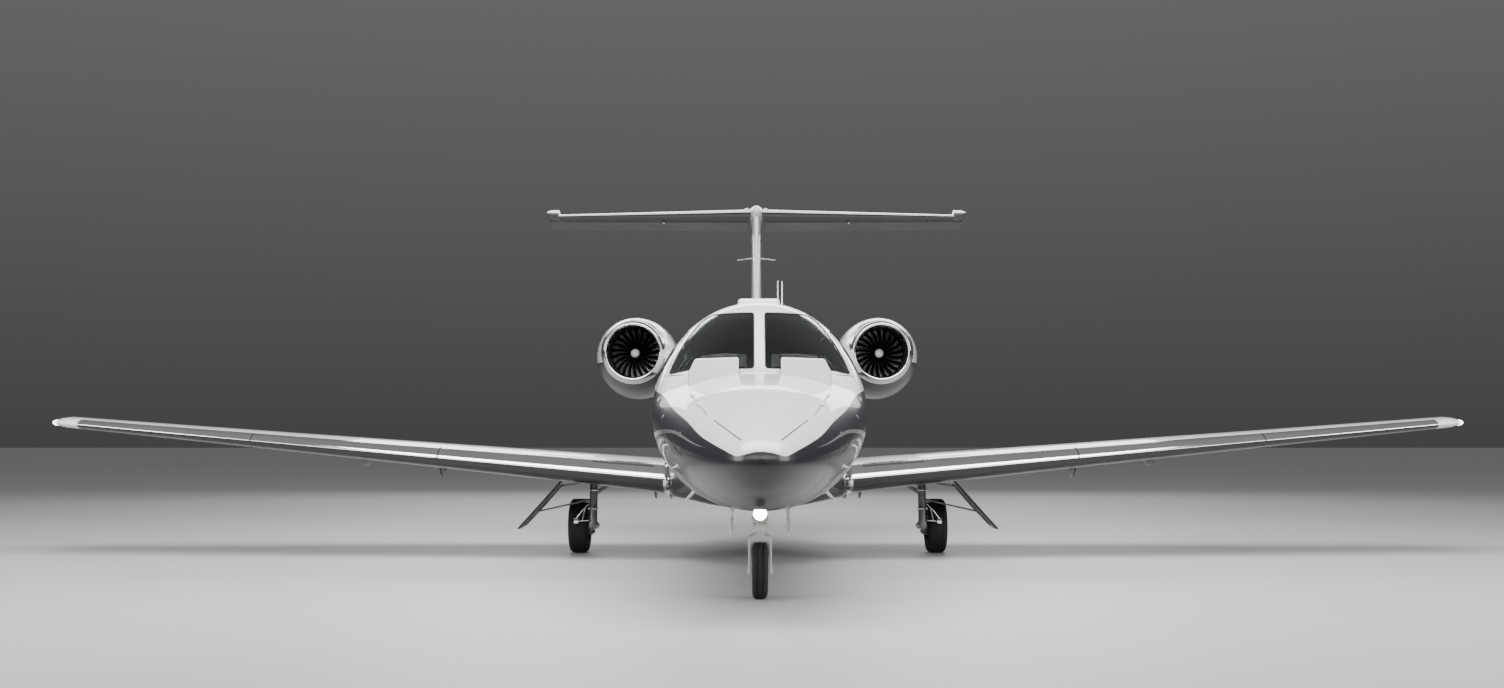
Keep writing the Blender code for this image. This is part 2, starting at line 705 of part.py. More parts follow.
def cabin(f):
    ends = [COCKPIT_END, CABIN_END - SEAT_GAP]
    upper = body_tube("cabin_upper", ends, f["white_paint"])
    keep_inside(upper, box("above the paint line", at(-2, 2, PAINT_LINE), at(2, 9, 4)))
    join(upper, *roof_aerials())
    lower = body_tube("cabin_lower", ends, f["charcoal_paint"])
    keep_inside(lower, box("below the paint line", at(-2, 2, 0), at(2, 9, PAINT_LINE - SEAT_GAP)))
    for shell in (upper, lower):
        cut(shell, door_block("doorway " + shell.name, RUNNING_GAP))
    for side, word in SIDES:
        low, high = sorted((side * 0.3, side * 1.2))
        stations = WINDOW_STATIONS if side > 0 else (DOOR_SIDE_WINDOW,) + WINDOW_STATIONS
        strip_ends = [stations[0] - 0.30, stations[-1] + 0.30]
        panes = body_tube("cabin_window_panes_" + word, strip_ends, f["tinted_glass"], SKIN + 0.0005, SKIN + 0.003)
        band = box("pane strip " + word, (low, -4, WINDOW_LOW - 0.04), (high, 4, WINDOW_HIGH + 0.04))
        keep_inside(panes, band)
        for number, station in enumerate(stations):
            frame = y_of(cabin_window(station))
            cut(upper, prism(f"window opening {word} {number}", frame, "X", low, high))
            plug = body_tube(f"window plug {word} {number}", strip_ends, None, 0.006, SKIN + 0.002)
            edge = prism(f"window edge {word} {number}", shrunk(frame, 0.0006), "X", low, high)
            keep_inside(plug, edge)
            join(panes, plug)


def cabin_door(f):
    door = body_tube("cabin_door", [COCKPIT_END, 4.6], f["white_paint"])
    keep_inside(door, door_block("door edge", 0.0))
    turn = math.radians(DOOR_OPEN)
    tread = Vector((math.cos(turn), math.sin(turn)))
    rise = Vector((math.sin(turn), -math.cos(turn)))
    low, high = DOOR_STATIONS[0] + 0.08, DOOR_STATIONS[1] - 0.08
    for number, degrees in enumerate((-33.0, -10.0, 13.0)):
        start = body_point(4.0, degrees, SKIN - 0.012)
        start = Vector((start.x, start.z))
        edge = start + tread * 0.20
        outline = [tuple(start), tuple(edge), tuple(edge + rise * 0.03), tuple(start + rise * 0.03)]
        step = prism(f"step {number}", outline, "Y", low - LENGTH / 2, high - LENGTH / 2)
        join(door, step)
    return door


def tail(f):
    inner = ((11.60, 0.03), (10.20, 0.022), (8.60, 0.022), (CABIN_END, 0.022))
    rings = [body_ring(s, inset) for s, inset in inner] + [body_ring(s) for s in TAIL_STATIONS]
    loft("tail_shell", rings, f["white_paint"])

    rings = []
    for station, half, bottom, top in BELLY:
        right = [(half * u, bottom + BELLY_RISE * v) for u, v in BELLY_SHAPE]
        right += [(half, top - 0.10), (half - 0.10, top)]
        ring = right + [(-u, v) for u, v in reversed(right[1:])]
        rings.append([at(u, station, v) for u, v in ring])
    fairing = loft("belly_fairing", rings, f["charcoal_composite"])
    body = body_solid("body for the fairing", (3.9,) + TAIL_STATIONS[:5], -SEAT_GAP)
    cut(fairing, body)
    station, low = BELLY_AERIAL
    aerial = []
    for z, lead, trail, half in ((0.540, -0.11, 0.11, 0.010), (low, 0.00, 0.10, 0.006)):
        ring = [(0.0, lead), (half, lead + 0.04), (half, trail - 0.03), (0.0, trail)]
        ring += [(-half, trail - 0.03), (-half, lead + 0.04)]
        aerial.append([at(u, station + v, z) for u, v in ring])
    join(fairing, loft("belly aerial", aerial))


def tail_feathers(f):
    rings = []
    for z, lead, trail, thick in FIN:
        chord = trail - lead
        shares = [(1 - math.cos(math.pi * k / 9)) / 2 for k in range(10)]

        def half(c, thick=thick):
            curve = 0.2969 * math.sqrt(c) - 0.1260 * c - 0.3516 * c**2 + 0.2843 * c**3 - 0.1036 * c**4
            return 5 * thick * curve + TRAILING_EDGE / 2 * c

        ring = [at(half(c), lead + c * chord, z) for c in reversed(shares)]
        ring += [at(-half(c), lead + c * chord, z) for c in shares[1:]]
        rings.append(ring)
    fin = loft("fin", rings, f["white_composite"])
    cut(fin, body_solid("body under the fin", TAIL_STATIONS[2:], -SEAT_GAP))
    z, reach = FIN_AERIAL
    for side, word in SIDES:
        outline = [(0.0, 11.26), (0.0, 11.50), (side * reach, 11.62), (side * reach, 11.53)]
        blade = prism("fin aerial " + word, [(u, s - LENGTH / 2) for u, s in outline], "Z", z - 0.009, z + 0.009)
        join(fin, blade)
    tips = [at(0, s, z) for z, s in RUDDER_TIPS]
    hinge = [at(0, s, z) for z, s in RUDDER_HINGE]
    rudder = flap_shape("rudder", hinge, tips, RUDDER_RADII, Vector((1, 0, 0)), f["white_composite"])
    join(rudder, *hinge_pins("rudder pin", hinge))
    cut(fin, *cove("rudder cove", hinge, tips, RUDDER_RADII, Vector((1, 0, 0))))

    stabiliser = wing_solid("stabiliser", TAILPLANE, 1, f["white_composite"])
    other = wing_solid("stabiliser half", TAILPLANE, -1)
    join(stabiliser, other)
    profile = [(0.0, 0.012), (0.06, 0.048), (0.20, 0.082), (0.45, 0.100), (1.20, 0.098), (1.50, 0.066), (1.63, 0.028)]
    bullet = turned("bullet", profile, at(0, LENGTH - 1.63, BULLET_Z), (0, 1, 0), facets=14)
    join(stabiliser, bullet)
    cut(stabiliser, box("fin seat", at(-1, 10, 4.0), at(1, 13, FIN_TOP + SEAT_GAP)))
    for side, word in SIDES:
        hinge, tips = elevator_lines(side)
        cut(stabiliser, *cove("elevator cove " + word, hinge, tips, ELEVATOR_RADII, Vector((0, 0, 1))))
        low, high = sorted((side * (HORN_X - END_GAP), side * 3.2))
        cut(stabiliser, box("horn notch " + word, (low, at(0, 11.0, 0).y, 4.0), (high, 9, 4.6)))
    ends = [at(x, ELEVATOR_HINGE, TAILPLANE_Z) for x in (-0.3, 0.3)]
    cut(stabiliser, rod("torque tube bore", *ends, 0.020 + PIN_GAP, facets=24))

    tube = at(0.2, ELEVATOR_HINGE, TAILPLANE_Z)
    elevator = rod("elevator", tube * Vector((-1, 1, 1)), tube, 0.020, f["white_composite"], facets=24)
    droop = Matrix.Rotation(math.radians(-ELEVATOR_DROOP), 4, "X")
    pivot = Matrix.Translation(at(0, ELEVATOR_HINGE, TAILPLANE_Z))
    turn = pivot @ droop @ pivot.inverted()
    for side, word in SIDES:
        hinge, tips = elevator_lines(side)
        half = flap_shape("elevator half " + word, hinge, tips, ELEVATOR_RADII, Vector((0, 0, 1)), None)
        horn = wing_solid("horn " + word, TAILPLANE, side)
        low, high = sorted((side * HORN_X, side * 3.2))
        keep_inside(horn, box("horn edge " + word, (low, at(0, 12.05, 0).y, 4.0), (high, at(0, 12.36, 0).y, 4.6)))
        horn.data.transform(turn)
        bpy.data.objects["horn edge " + word].data.transform(turn)
        half.data.transform(turn)
        join(elevator, half, horn)


def elevator_lines(side):
    hinge = [at(side * x, ELEVATOR_HINGE, TAILPLANE_Z) for x in (ELEVATOR_ROOT, ELEVATOR_TIP)]
    tips = [at(side * x, s, TAILPLANE_Z) for x, s in ((ELEVATOR_ROOT, 12.775), (ELEVATOR_TIP, 12.715))]
    return hinge, tips


def wings(f):
    for side, word in SIDES:
        wing = wing_solid("wing_" + word, WING, side, f["white_paint"])
        edge = wing_solid("leading_edge_" + word, WING, side, f["polished_metal"])
        cut(wing, plan_slab("leading edge room " + word, WING, side, *METAL_ENDS, -0.3, LEADING_EDGE_SHARE))
        inside = (METAL_ENDS[0] + SEAT_GAP, METAL_ENDS[1] - SEAT_GAP)
        slab = plan_slab("leading edge slab " + word, WING, side, *inside, -0.3, LEADING_EDGE_SHARE - 0.0004)
        keep_inside(edge, slab)
        for kind, x0, x1, share in SURFACES:
            hinge = [chord_point(WING, side, x, share) for x in (x0, x1)]
            tips = [chord_point(WING, side, x, 0.998) for x in (x0, x1)]
            radii = [half_depth(WING, x, share) * 0.985 for x in (x0, x1)]
            surface = flap_shape(f"{kind}_{word}", hinge, tips, radii, Vector((0, 0, 1)), f["white_paint"])
            join(surface, *hinge_pins(f"{kind} pin {word}", hinge))
            cut(wing, *cove(f"{kind} cove {word}", hinge, tips, radii, Vector((0, 0, 1))))
        low, high = sorted((side * 1.10, side * 2.02))
        well = box("wheel well " + word, (low, at(0, 5.92, 0).y, 0.40), (high, at(0, 6.46, 0).y, 0.905))
        cut(wing, well)
        profile = [(0.0, 0.006), (0.02, 0.022), (0.07, 0.032), (0.28, 0.030), (0.42, 0.010)]
        pod = turned("tip lamp " + word, profile, at(side * 7.115, 5.835, 1.350), (0, 1, 0), facets=10)
        join(wing, pod, *[hinge_fairing(f"fairing {word} {n}", side, *row) for n, row in enumerate(FAIRINGS)])


def hinge_fairing(name, side, x, share0, share1, depth, width):
    """A thin pod that hangs under the wing: deepest at two thirds of its length, and pointed at both ends."""
    rings = []
    for along, size in FAIRING_SHAPE:
        share = share0 + (share1 - share0) * along
        middle = chord_point(WING, side, x, share)
        under = middle.z - half_depth(WING, x, share)
        half = width * math.sqrt(size)
        ring = [(half, 0.012), (half, -0.45 * depth * size), (half * 0.55, -0.85 * depth * size)]
        ring += [(0.0, -depth * size)] + [(-u, v) for u, v in reversed(ring)]
        rings.append([Vector((middle.x + u, middle.y, under + v)) for u, v in ring])
    return loft(name, rings)


def engines(f):
    for side, word in SIDES:
        x = side * NACELLE_X
        outer = []
        for station, radius, z in NACELLE:
            ring = []
            for k in range(NACELLE_FACETS):
                a = 2 * math.pi * (k + 0.5) / NACELLE_FACETS
                ring.append(at(x + radius * math.cos(a), station, z + radius * math.sin(a)))
            outer.append(ring)
        inner = []
        for station, radius, z in NACELLE_INSIDE:
            ring = []
            for k in range(NACELLE_FACETS):
                a = 2 * math.pi * (k + 0.5) / NACELLE_FACETS
                ring.append(at(x + radius * math.cos(a), station, z + radius * math.sin(a)))
            inner.append(ring)
        loft("nacelle_" + word, outer + inner, f["white_composite"], loop=True)

        depth = NACELLE[0][0] - INLET_STATION - SEAT_GAP
        lip = [(depth, 0.3720), (0.065, 0.356), (0.022, 0.341), (0.004, 0.328), (0.0, 0.317), (0.006, 0.305)]
        lip += [(0.03, 0.296), (depth, DUCT_RADIUS)]
        turned("inlet_lip_" + word, lip, at(x, INLET_STATION, ENGINE_Z), (0, 1, 0), f["polished_metal"], NACELLE_FACETS, True)

        core = [(FAN_STATION + 0.13 + PIN_GAP, 0.030), (FAN_STATION + 0.13 + PIN_GAP, 0.050), (8.46, 0.060)]
        core += [(8.46, DUCT_RADIUS - 0.0008), (8.94, DUCT_RADIUS - 0.0008), (9.02, 0.190), (9.55, 0.190)]
        core += [(9.70, NOZZLE_RADIUS), (10.04, NOZZLE_RADIUS)]
        core += [(10.20, NOZZLE_RADIUS - 0.018), (10.20, NOZZLE_RADIUS - 0.030), (9.98, 0.195), (9.90, 0.110)]
        core += [(10.12, 0.060), (10.22, 0.015)]
        core = [(s - 8.46, r) for s, r in core]
        turned("engine_core_" + word, core, at(x, 8.46, ENGINE_Z), (0, 1, 0), f["dark_metal"], NACELLE_FACETS)

        hub = [(0.0, 0.008), (0.025, 0.045), (0.075, 0.078), (0.14, 0.095), (0.27, 0.100), (0.27, 0.020)]
        fan = turned("fan_" + word, hub, at(x, FAN_STATION - 0.14, ENGINE_Z), (0, 1, 0), f["steel"], 16)
        join(fan, fan_blades("blades " + word, x))

        rings = []
        for px, lead, trail, z, thick in ((0.37, 8.41, 9.93, 2.037, 0.150), (1.27, 8.55, 9.61, 2.117, 0.120)):
            shares = [(1 - math.cos(math.pi * k / 7)) / 2 for k in range(8)]
            ring = []
            for c in reversed(shares):
                ring.append(at(side * px, lead + c * (trail - lead), z + thick * math.sqrt(c) * (1.04 - c)))
            for c in shares[1:]:
                ring.append(at(side * px, lead + c * (trail - lead), z - thick * math.sqrt(c) * (1.04 - c)))
            rings.append(ring)
        pylon = loft("pylon_" + word, rings, f["white_composite"])
        cut(pylon, body_solid("body at the pylon " + word, TAIL_STATIONS[:6], -SEAT_GAP))
        grown = []
        for station, radius, z in NACELLE:
            ring = []
            for k in range(NACELLE_FACETS):
                a = 2 * math.pi * (k + 0.5) / NACELLE_FACETS
                reach = radius + SEAT_GAP
                ring.append(at(x + reach * math.cos(a), station, z + reach * math.sin(a)))
            grown.append(ring)
        cut(pylon, loft("nacelle at the pylon " + word, grown))


def fan_blades(name, x):
    bm = bmesh.new()
    for number in range(FAN_BLADES):
        a = 2 * math.pi * number / FAN_BLADES
        out = Vector((math.cos(a), 0, math.sin(a)))
        round_ = Vector((-math.sin(a), 0, math.cos(a)))
        axis = Vector((0, 1, 0))
        rows = []
        for radius, stagger, chord in ((0.080, 32, 0.080), (0.279, 58, 0.096)):
            t = math.radians(stagger)
            along = axis * math.cos(t) + round_ * math.sin(t)
            across = axis * -math.sin(t) + round_ * math.cos(t)
            centre = at(x, FAN_STATION + 0.04, ENGINE_Z) + out * radius
            corners = ((-0.5, -0.5), (0.5, -0.5), (0.5, 0.5), (-0.5, 0.5))
            rows.append([bm.verts.new(centre + along * chord * u + across * 0.004 * v) for u, v in corners])
        for low, high in zip(rows, rows[1:]):
            # The two wide faces are split along the same diagonal, so that the thin twisted blade never meets itself
            for i, j in ((0, 1), (1, 2), (3, 0)):
                bm.faces.new((low[i], low[j], high[j]))
                bm.faces.new((low[i], high[j], high[i]))
            bm.faces.new((low[2], low[3], high[2]))
            bm.faces.new((low[3], high[3], high[2]))
        bm.faces.new(rows[0])
        bm.faces.new(rows[-1])
    return add(name, bm, None)


def wheel(name, centre, radius, width, hub_radius, bore, f):
    """A tyre and its hub. Each is turned about the axle, and the tyre sits on the hub's rim."""
    half = width / 2
    shoulder = radius - 0.22 * (radius - hub_radius)
    tyre = [(-half * 0.62, hub_radius), (-half, shoulder * 0.90), (-half * 0.72, radius * 0.965), (-half * 0.3, radius)]
    tyre += [(half * 0.3, radius), (half * 0.72, radius * 0.965), (half, shoulder * 0.90), (half * 0.62, hub_radius)]
    turned("tyre_" + name, tyre, centre, (1, 0, 0), f["tyre_rubber"], 24, True)
    rim = hub_radius - SEAT_GAP
    hub = [(-half * 0.62, rim), (-half * 0.62, rim * 0.86), (-half * 0.30, rim * 0.72), (-half * 0.45, bore)]
    hub += [(half * 0.45, bore), (half * 0.30, rim * 0.72), (half * 0.62, rim * 0.86), (half * 0.62, rim)]
    turned("hub_" + name, hub, centre, (1, 0, 0), f["steel"], 24, True)


def nose_gear(f):
    station, z = NOSE_GEAR_STATION, NOSE_TYRE_RADIUS
    strut = rod("nose_strut", at(0, station, 0.505), at(0, station, 1.0197), 0.048, f["gear_paint"], facets=14)
    join(
        strut,
        rod("strut collar", at(0, station, 0.505), at(0, station, 0.560), 0.060, facets=14),
        rod("drag brace", at(0, station, 0.72), at(0, 1.30, 0.98), 0.022),
        box("brace foot", at(-0.06, 1.24, 0.95), at(0.06, 1.36, 1.0197)),
        rod("lamp", at(0, station - 0.115, 0.640), at(0, station - 0.040, 0.640), 0.055, end_radius=0.030, facets=14),
    )
    fork = rod("nose_fork", at(0, station, 0.440), at(0, station, 0.505 - PIN_GAP), 0.052, f["gear_paint"], facets=14)
    crown = box("fork crown", at(-0.091, station - 0.049, 0.424), at(0.091, station + 0.049, 0.478), bevel=0.016)
    join(fork, crown)
    for side, word in SIDES:
        low, high = sorted((side * 0.068, side * 0.0885))
        blade = [(station - 0.035, 0.45), (station + 0.035, 0.45), (station + 0.028, z - 0.028), (station - 0.028, z - 0.028)]
        join(fork, prism("fork blade " + word, y_of(blade), "X", low, high))
        # The door hangs straight from the edge of the bay, then bows outwards
        bow = [(0.2147, 0.72), (0.2147, 0.662), (0.2225, 0.622), (0.2240, 0.578), (0.2190, 0.535), (0.2080, 0.49)]
        bow += [(0.1980, 0.49), (0.2090, 0.538), (0.2135, 0.580), (0.2120, 0.622), (0.1997, 0.662), (0.1997, 0.72)]
        ends = at(0, 1.20, 0).y, at(0, 1.97, 0).y
        door = prism("nose_gear_door_" + word, mirror_outline(bow, side), "Y", *ends, f["white_paint"])
        edge = round_corners([(1.22, 0.70), (1.95, 0.69), (1.95, 0.50), (1.22, 0.50)], 0.04)
        low, high = sorted((side * 0.15, side * 0.27))
        keep_inside(door, prism("nose gear door edge " + word, y_of(edge), "X", low, high))
    join(fork, rod("nose axle", at(-0.098, station, z), at(0.098, station, z), 0.0176, facets=14))
    wheel("nose", at(0, station, z), NOSE_TYRE_RADIUS, NOSE_TYRE_WIDTH, NOSE_HUB_RADIUS, 0.0176 + PIN_GAP, f)


def main_gear(f):
    station, z = MAIN_GEAR_STATION, MAIN_TYRE_RADIUS
    for side, word in SIDES:
        x = side * LEG_X
        leg = rod("main_leg_" + word, at(x, 6.16, 0.285), at(x, 6.21, 0.9047), 0.045, f["gear_paint"], facets=14)
        join(
            leg,
            rod("trailing arm " + word, at(x, 6.14, 0.30), at(x, station + 0.03, z), 0.040, end_radius=0.034),
            rod("shock strut " + word, at(x, 6.36, 0.30), at(x, 6.24, 0.72), 0.026),
            link_foot("leg lug low " + word, side, 0.55, LEG_X, LEG_X + 0.060),
            link_foot("leg lug high " + word, side, 0.74, LEG_X, LEG_X + 0.060),
            rod("side brace " + word, at(x, 6.19, 0.62), at(side * 1.28, 6.19, 0.88), 0.022),
            rod("main axle " + word, at(side * (LEG_X - 0.02), station, z), at(side * 1.955, station, z), 0.0226, facets=14),
            rod("brake pack " + word, at(side * 1.712, station, z), at(side * 1.784, station, z), 0.098, facets=16),
        )
        cut(leg, box("well roof " + word, at(-3, 5.0, 0.9047), at(3, 8.0, 2.0)))
        wheel("main_" + word, at(side * MAIN_GEAR_X, station, z), z, MAIN_TYRE_WIDTH, MAIN_HUB_RADIUS, 0.023, f)
        plate = [(side * 2.000, 0.745), (side * 2.012, 0.757), (side * 2.447, 0.275), (side * 2.435, 0.263)]
        door = prism("main_gear_door_" + word, plate, "Y", at(0, 5.98, 0).y, at(0, 6.36, 0).y, f["charcoal_paint"])
        join(
            door,
            rod("door link low " + word, at(side * 2.30, 6.17, 0.43), at(side * (LEG_X + 0.068), 6.17, 0.55), 0.010),
            rod("door link high " + word, at(side * 2.06, 6.17, 0.69), at(side * (LEG_X + 0.068), 6.17, 0.74), 0.010),
            link_foot("link foot low " + word, side, 0.55, LEG_X + 0.060 + SEAT_GAP, LEG_X + 0.078),
            link_foot("link foot high " + word, side, 0.74, LEG_X + 0.060 + SEAT_GAP, LEG_X + 0.078),
        )


def link_foot(name, side, z, near, far):
    """A small block between the main leg and the gear door's link."""
    low, high = sorted((side * near, side * far))
    return box(name, (low, at(0, 6.145, 0).y, z - 0.022), (high, at(0, 6.200, 0).y, z + 0.022))


def interior(f):
    floor = box("cabin_floor", at(-0.598, NOSE_END + 0.06, FLOOR_Z - FLOOR_DEPTH), at(0.598, 7.82, FLOOR_Z), f["carpet"])
    inside = (CABIN_END, COCKPIT_END) + COCKPIT_STATIONS[::-1]
    fit = body_solid("inside of the skin", inside, SKIN + SEAT_GAP)
    keep_inside(floor, fit)
    wall = body_solid("aft_bulkhead", [7.84, 7.89], SKIN + SEAT_GAP, f["trim"])
    cut(wall, box("under the wall", at(-2, 7, 0), at(2, 9, FLOOR_Z + SEAT_GAP)))
    panel = body_solid("instrument_panel", inside, SKIN + SEAT_GAP, f["avionics"])
    keep_inside(panel, box("panel edge", at(-2, 2.30, 1.20), at(2, 2.42, 1.66)))
    for side, word in SIDES:
        x = side * 0.30
        join(
            panel,
            rod("yoke column " + word, at(x, 2.41, 1.38), at(x, 2.62, 1.40), 0.014, facets=12),
            box("yoke " + word, at(x - 0.13, 2.61, 1.37), at(x + 0.13, 2.635, 1.43)),
            box("yoke grip out " + word, at(x - 0.15, 2.61, 1.37), at(x - 0.125, 2.635, 1.50)),
            box("yoke grip in " + word, at(x + 0.125, 2.61, 1.37), at(x + 0.15, 2.635, 1.50)),
        )
    seat_row("cockpit_seats", ((0.30, 2.86, 1), (-0.30, 2.86, 1)), f)
    seats = ((0.40, 5.00, -1), (-0.40, 5.00, -1), (0.40, 6.20, 1), (-0.40, 6.20, 1), (-0.40, 7.15, 1), (0.40, 7.15, 1))
    seat_row("cabin_seats", seats, f)


def seat_row(name, places, f):
    """Seats that share floor rails. Each place is a distance from the centreline, a station and a facing."""
    stations = [s for _, s, _ in places]
    base = FLOOR_Z + SEAT_GAP
    seats = box(name, at(-0.42, min(stations) - 0.2, base), at(0.42, max(stations) + 0.2, base + 0.02), f["leather"])
    for number, (x, s, facing) in enumerate(places):
        tag = f"{name} {number}"
        near, far = sorted((s - facing * 0.22, s + facing * 0.22))
        join(seats, box("pedestal " + tag, at(x - 0.14, s - 0.14, base + 0.01), at(x + 0.14, s + 0.14, base + 0.20)))
        join(seats, box("cushion " + tag, at(x - 0.22, near, base + 0.18), at(x + 0.22, far, base + 0.32)))
        back = [(s + facing * 0.15, base + 0.26), (s + facing * 0.27, base + 0.26)]
        back += [(s + facing * 0.38, base + 0.92), (s + facing * 0.28, base + 0.94)]
        join(seats, prism("back " + tag, y_of(back), "X", x - 0.21, x + 0.21))


def air_nozzles(f):
    for side, word in SIDES:
        outline = [(0.160, 1.40), (0.160, 1.817), (0.496, 1.806), (0.548, 1.70), (0.548, 1.40)]
        outline = round_corners(mirror_outline(outline, side), 0.018, 2)
        ends = at(0, 1.93, 0).y, at(0, 2.06, 0).y
        nozzle = prism("windscreen_air_nozzle_" + word, outline, "Y", *ends, f["white_composite"])
        body = body_solid("body under the nozzle " + word, [1.60, 1.80, NOSE_END, 2.15, 2.28], -SEAT_GAP)
        cut(nozzle, body)


def build():
    clear_scene()
    f = make_finishes()
    nose_and_cockpit(f)
    cabin(f)
    cabin_door(f)
    tail(f)
    tail_feathers(f)
    wings(f)
    engines(f)
    nose_gear(f)
    main_gear(f)
    interior(f)
    air_nozzles(f)


build()
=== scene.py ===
# %% [markdown]
# # A light business jet, parked
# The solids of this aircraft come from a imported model: every one is closed, in metres, and already in
# place. Solids like these are drawn with few faces, so here each form that shows gets a finer surface over
# the same numbers, and each finish gets its gloss, grain and wear. We start with the frame, and keep its
# box to compare.

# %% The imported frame
import json
import math

import bmesh
import bpy
import numpy as np
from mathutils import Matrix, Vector


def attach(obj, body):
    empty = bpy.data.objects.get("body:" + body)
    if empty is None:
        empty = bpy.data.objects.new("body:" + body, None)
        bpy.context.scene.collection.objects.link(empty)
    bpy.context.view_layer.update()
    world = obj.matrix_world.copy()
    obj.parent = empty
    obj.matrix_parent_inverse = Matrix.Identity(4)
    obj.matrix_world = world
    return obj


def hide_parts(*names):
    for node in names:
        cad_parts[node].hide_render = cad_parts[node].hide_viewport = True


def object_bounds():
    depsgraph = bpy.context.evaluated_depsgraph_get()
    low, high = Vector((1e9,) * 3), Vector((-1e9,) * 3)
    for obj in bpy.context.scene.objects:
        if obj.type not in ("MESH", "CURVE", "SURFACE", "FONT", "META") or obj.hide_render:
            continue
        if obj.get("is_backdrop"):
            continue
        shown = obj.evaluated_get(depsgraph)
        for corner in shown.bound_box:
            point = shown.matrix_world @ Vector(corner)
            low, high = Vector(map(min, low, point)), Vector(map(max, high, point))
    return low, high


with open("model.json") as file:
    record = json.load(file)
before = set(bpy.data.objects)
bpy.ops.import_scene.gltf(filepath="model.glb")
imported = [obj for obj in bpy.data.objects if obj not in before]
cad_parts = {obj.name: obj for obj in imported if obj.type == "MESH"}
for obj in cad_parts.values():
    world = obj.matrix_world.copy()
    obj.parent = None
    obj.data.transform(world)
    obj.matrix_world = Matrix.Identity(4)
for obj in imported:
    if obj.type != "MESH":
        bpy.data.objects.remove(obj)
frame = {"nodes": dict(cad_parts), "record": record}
solids_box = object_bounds()

# %% [markdown]
# ## Camera
# The photograph looks at the nose from straight ahead and a little above knee height, so the wings spread
# over the whole frame. A lens of about 37 mm at 10 m in front of the nose gives the same spread from nose
# to tail. The camera looks up by a few degrees, which puts the horizon below the middle of the picture as
# it is there.

# %% Camera
LENGTH = 12.98
CAMERA_AHEAD = 10.0
EYE_HEIGHT = 1.218
LOOK_UP = 3.35


def y_at(station):
    """Where a station, measured aft from the tip of the nose, lies along Y."""
    return station - LENGTH / 2


camera = bpy.data.objects.new("camera", bpy.data.cameras.new("camera"))
bpy.context.scene.collection.objects.link(camera)
camera.data.sensor_width = 36.0
camera.data.lens = 37.46
camera.data.clip_end = 200.0
camera.location = (-0.06, y_at(-CAMERA_AHEAD), EYE_HEIGHT)
camera.rotation_euler = (math.radians(90 + LOOK_UP), 0, 0)
bpy.context.scene.camera = camera
print("camera", round(camera.data.lens, 1), "mm at", tuple(round(v, 2) for v in camera.location))

# %% [markdown]
# ## Studio
# Gloss paint and bare metal are mostly reflection, so the light matters as much as the paint. A large soft
# panel hangs over the nose and two long ones stand to the sides. The world is a soft grey that darkens
# towards the horizon, so that a polished edge has something light and something dark to mirror.

# %% Light panels and world


def soft_panel(name, place, target, size, power):
    """A rectangular area light that faces a target."""
    light = bpy.data.lights.new(name, "AREA")
    light.shape = "RECTANGLE"
    light.size, light.size_y = size
    light.energy = power
    panel = bpy.data.objects.new(name, light)
    panel.location = place
    panel.rotation_euler = (Vector(target) - Vector(place)).to_track_quat("-Z", "Y").to_euler()
    bpy.context.scene.collection.objects.link(panel)
    return panel


soft_panel("top panel", (0, -5.0, 9.0), (0, -0.5, 1.2), (14, 6), 2400)
soft_panel("left panel", (14, -8, 6.0), (0, 0, 1.2), (8, 5), 800)
soft_panel("right panel", (-14, -8, 6.0), (0, 0, 1.2), (8, 5), 800)
soft_panel("front panel", (0, -16, 9.0), (0, -2, 1.2), (30, 4), 1500)
soft_panel("rear panel", (0, 15, 8.0), (0, 2, 1.5), (16, 5), 1100)

world = bpy.data.worlds.new("studio")
bpy.context.scene.world = world
world.use_nodes = True
sky = world.node_tree
direction = sky.nodes.new("ShaderNodeTexCoord")
height = sky.nodes.new("ShaderNodeSeparateXYZ")
shade = sky.nodes.new("ShaderNodeValToRGB")
shade.color_ramp.elements[0].position = 0.0
shade.color_ramp.elements[0].color = (0.10, 0.10, 0.105, 1)
shade.color_ramp.elements[1].position = 0.75
shade.color_ramp.elements[1].color = (0.42, 0.425, 0.44, 1)
sky.links.new(direction.outputs["Generated"], height.inputs[0])
sky.links.new(height.outputs["Z"], shade.inputs["Fac"])
sky.links.new(shade.outputs["Color"], sky.nodes["Background"].inputs["Color"])
sky.nodes["Background"].inputs["Strength"].default_value = 0.62
print("the studio has", len(bpy.data.lights), "soft panels")

# %% [markdown]
# ## Meshes from arrays
# Every new surface here is a grid of points worked out at once with numpy. One function turns such a grid
# into a mesh, closing it round either way or capping its ends. A second one carves a mesh with other closed
# meshes, which is how windows and doors get their openings, and gives back a plain mesh with no modifier
# left.

# %% Grid and carving helpers
SHARP = 32.0


def make_object(name, points, faces, finish=None, smooth=True):
    """A mesh object at the origin from points and faces, closed forms turned to face outwards."""
    mesh = bpy.data.meshes.new(name)
    mesh.from_pydata(np.asarray(points, float).reshape(-1, 3).tolist(), [], faces)
    mesh.validate()
    build = bmesh.new()
    build.from_mesh(mesh)
    bmesh.ops.remove_doubles(build, verts=build.verts, dist=1e-6)
    bmesh.ops.recalc_face_normals(build, faces=build.faces)
    if build.calc_volume(signed=True) < 0:
        bmesh.ops.reverse_faces(build, faces=build.faces)
    build.to_mesh(mesh)
    build.free()
    return place_mesh(name, mesh, finish, smooth)


def soften(mesh, sharp=SHARP):
    """Smooth shading, apart from the edges that turn by more than an angle in degrees."""
    mesh.shade_smooth()
    mesh.set_sharp_from_angle(angle=math.radians(sharp))


def place_mesh(name, mesh, finish=None, smooth=True, sharp=SHARP):
    """An object for the mesh, with its finish and its shading."""
    obj = bpy.data.objects.new(name, mesh)
    bpy.context.scene.collection.objects.link(obj)
    if finish is not None:
        mesh.materials.clear()
        mesh.materials.append(finish)
    if smooth:
        soften(mesh, sharp)
    return obj


